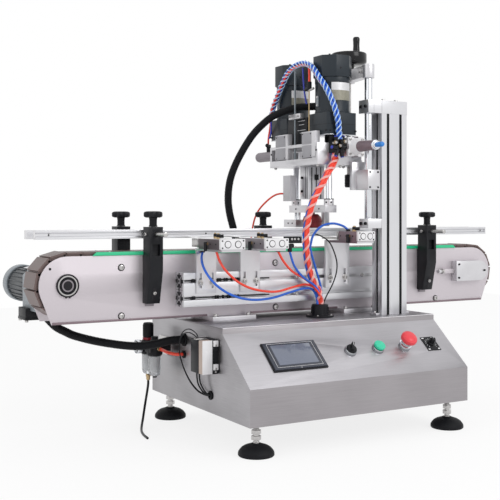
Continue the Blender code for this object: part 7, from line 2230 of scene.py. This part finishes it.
@dataclass
class Studio:
    """Floor, backdrop, light and camera."""

    eye: tuple[float, float, float] = (-1.2767, -2.0439, 0.52306)
    turn_deg: float = -29.78
    lens_mm: float = 67.1
    rise: float = -0.0697
    glow_share: float = 0.8

    def build(self) -> None:
        """Set the floor, the world, the lamps and the camera."""
        bpy.context.scene.view_settings.view_transform = "Standard"
        self.floor()
        self.world()
        self.lamps()
        self.camera()

    def floor(self) -> None:
        """Lay a plain pale floor."""
        mesh = bpy.data.meshes.new("floor")
        half = 3.2
        mesh.from_pydata([(-half, -half, 0), (half, -half, 0), (half, half, 0), (-half, half, 0)], [],
                         [(0, 1, 2, 3)])
        obj = new_object("floor", mesh)
        mat = bpy.data.materials.new("pale_paper")
        mat.use_nodes = True
        tree = mat.node_tree
        shader = tree.nodes["Principled BSDF"]
        shader.inputs["Roughness"].default_value = 0.9
        place = add_node(tree, "ShaderNodeTexCoord").outputs["Object"]
        cloud = add_node(tree, "ShaderNodeTexNoise", {"Scale": 1.5, "Detail": 2.0}, {"Vector": place})
        tint = add_node(tree, "ShaderNodeMix", {6: linear("#F4F4F4"), 7: linear("#F6F6F6")},
                        {0: cloud.outputs[0]}, data_type="RGBA")
        tree.links.new(tint.outputs[2], shader.inputs["Base Color"])
        share = math_node(tree, "MULTIPLY", self.bright_rays(tree), self.glow_share)
        glow = add_node(tree, "ShaderNodeEmission", {"Color": (1.0, 1.0, 1.0, 1.0), "Strength": 1.0})
        pale = add_node(tree, "ShaderNodeMixShader",
                        links={0: share, 1: shader.outputs[0], 2: glow.outputs[0]})
        tree.links.new(pale.outputs[0], tree.nodes["Material Output"].inputs["Surface"])
        mesh.materials.append(mat)

    @staticmethod
    def bright_rays(tree: bpy.types.NodeTree) -> bpy.types.NodeSocket:
        """Tell apart the rays that show the white background.

        Args:
            tree: Node tree of the floor or the world.

        Returns:
            A socket that is 1 for camera, glossy and transmission rays, else 0.
        """
        ray = add_node(tree, "ShaderNodeLightPath")
        first = math_node(tree, "MAXIMUM", ray.outputs["Is Camera Ray"], ray.outputs["Is Glossy Ray"])
        return math_node(tree, "MAXIMUM", first, ray.outputs["Is Transmission Ray"])

    def world(self) -> None:
        """Make the backdrop white to the camera and a soft gradient for the light."""
        world = bpy.data.worlds.new("soft room")
        bpy.context.scene.world = world
        world.use_nodes = True
        tree = world.node_tree
        tree.nodes.clear()
        place = add_node(tree, "ShaderNodeTexCoord").outputs["Generated"]
        split = add_node(tree, "ShaderNodeSeparateXYZ", links={0: place})
        tone = add_node(tree, "ShaderNodeMapRange",
                        {"From Min": -0.2, "From Max": 1.0, "To Min": 0.55, "To Max": 1.0},
                        {"Value": split.outputs["Z"]})
        soft = add_node(tree, "ShaderNodeBackground", {"Color": (1.0, 1.0, 1.0, 1.0)},
                        {"Strength": tone.outputs[0]})
        white = add_node(tree, "ShaderNodeBackground", {"Color": (1.0, 1.0, 1.0, 1.0), "Strength": 1.0})
        pick = add_node(tree, "ShaderNodeMixShader", links={
            0: self.bright_rays(tree), 1: soft.outputs[0], 2: white.outputs[0]})
        out = add_node(tree, "ShaderNodeOutputWorld", links={0: pick.outputs[0]})
        out.is_active_output = True

    def lamps(self) -> None:
        """Hang one large soft lamp in front, right and above, and a weak fill from the left."""
        for name, spot, size, power in (("key", (0.9, -3.0, 2.2), 1.6, 34.0),
                                        ("fill", (-2.2, -0.6, 1.4), 1.8, 4.0)):
            lamp = bpy.data.lights.new(name, "AREA")
            lamp.size = size
            lamp.energy = power
            obj = new_object(name, lamp)
            obj.location = spot
            obj.rotation_euler = (Vector((0, 0, 0.45)) - Vector(spot)).to_track_quat("-Z", "Y").to_euler()

    def camera(self) -> None:
        """Stand the camera where the photo was taken."""
        data = bpy.data.cameras.new("photo_view")
        data.lens = self.lens_mm
        data.sensor_width = 36.0
        data.shift_y = self.rise
        data.clip_start = 0.05
        data.clip_end = 30.0
        obj = new_object("photo_view", data)
        obj.location = self.eye
        obj.rotation_euler = (math.radians(90), 0.0, math.radians(self.turn_deg))
        bpy.context.scene.camera = obj


def write_sizes() -> None:
    """Bring the view layer up to date."""
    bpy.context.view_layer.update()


def main() -> None:
    """Build every sub-assembly, then the studio."""
    logging.basicConfig(level=logging.INFO, format="%(message)s")
    for part in (Cabinet(), ControlPanel(), AirService(), Conveyor(), GuideRails(), Column(), CappingHead(),
                 BottleClamps(), Hoses()):
        part.build()
    write_sizes()
    Studio().build()


if __name__ == "__main__":
    main()
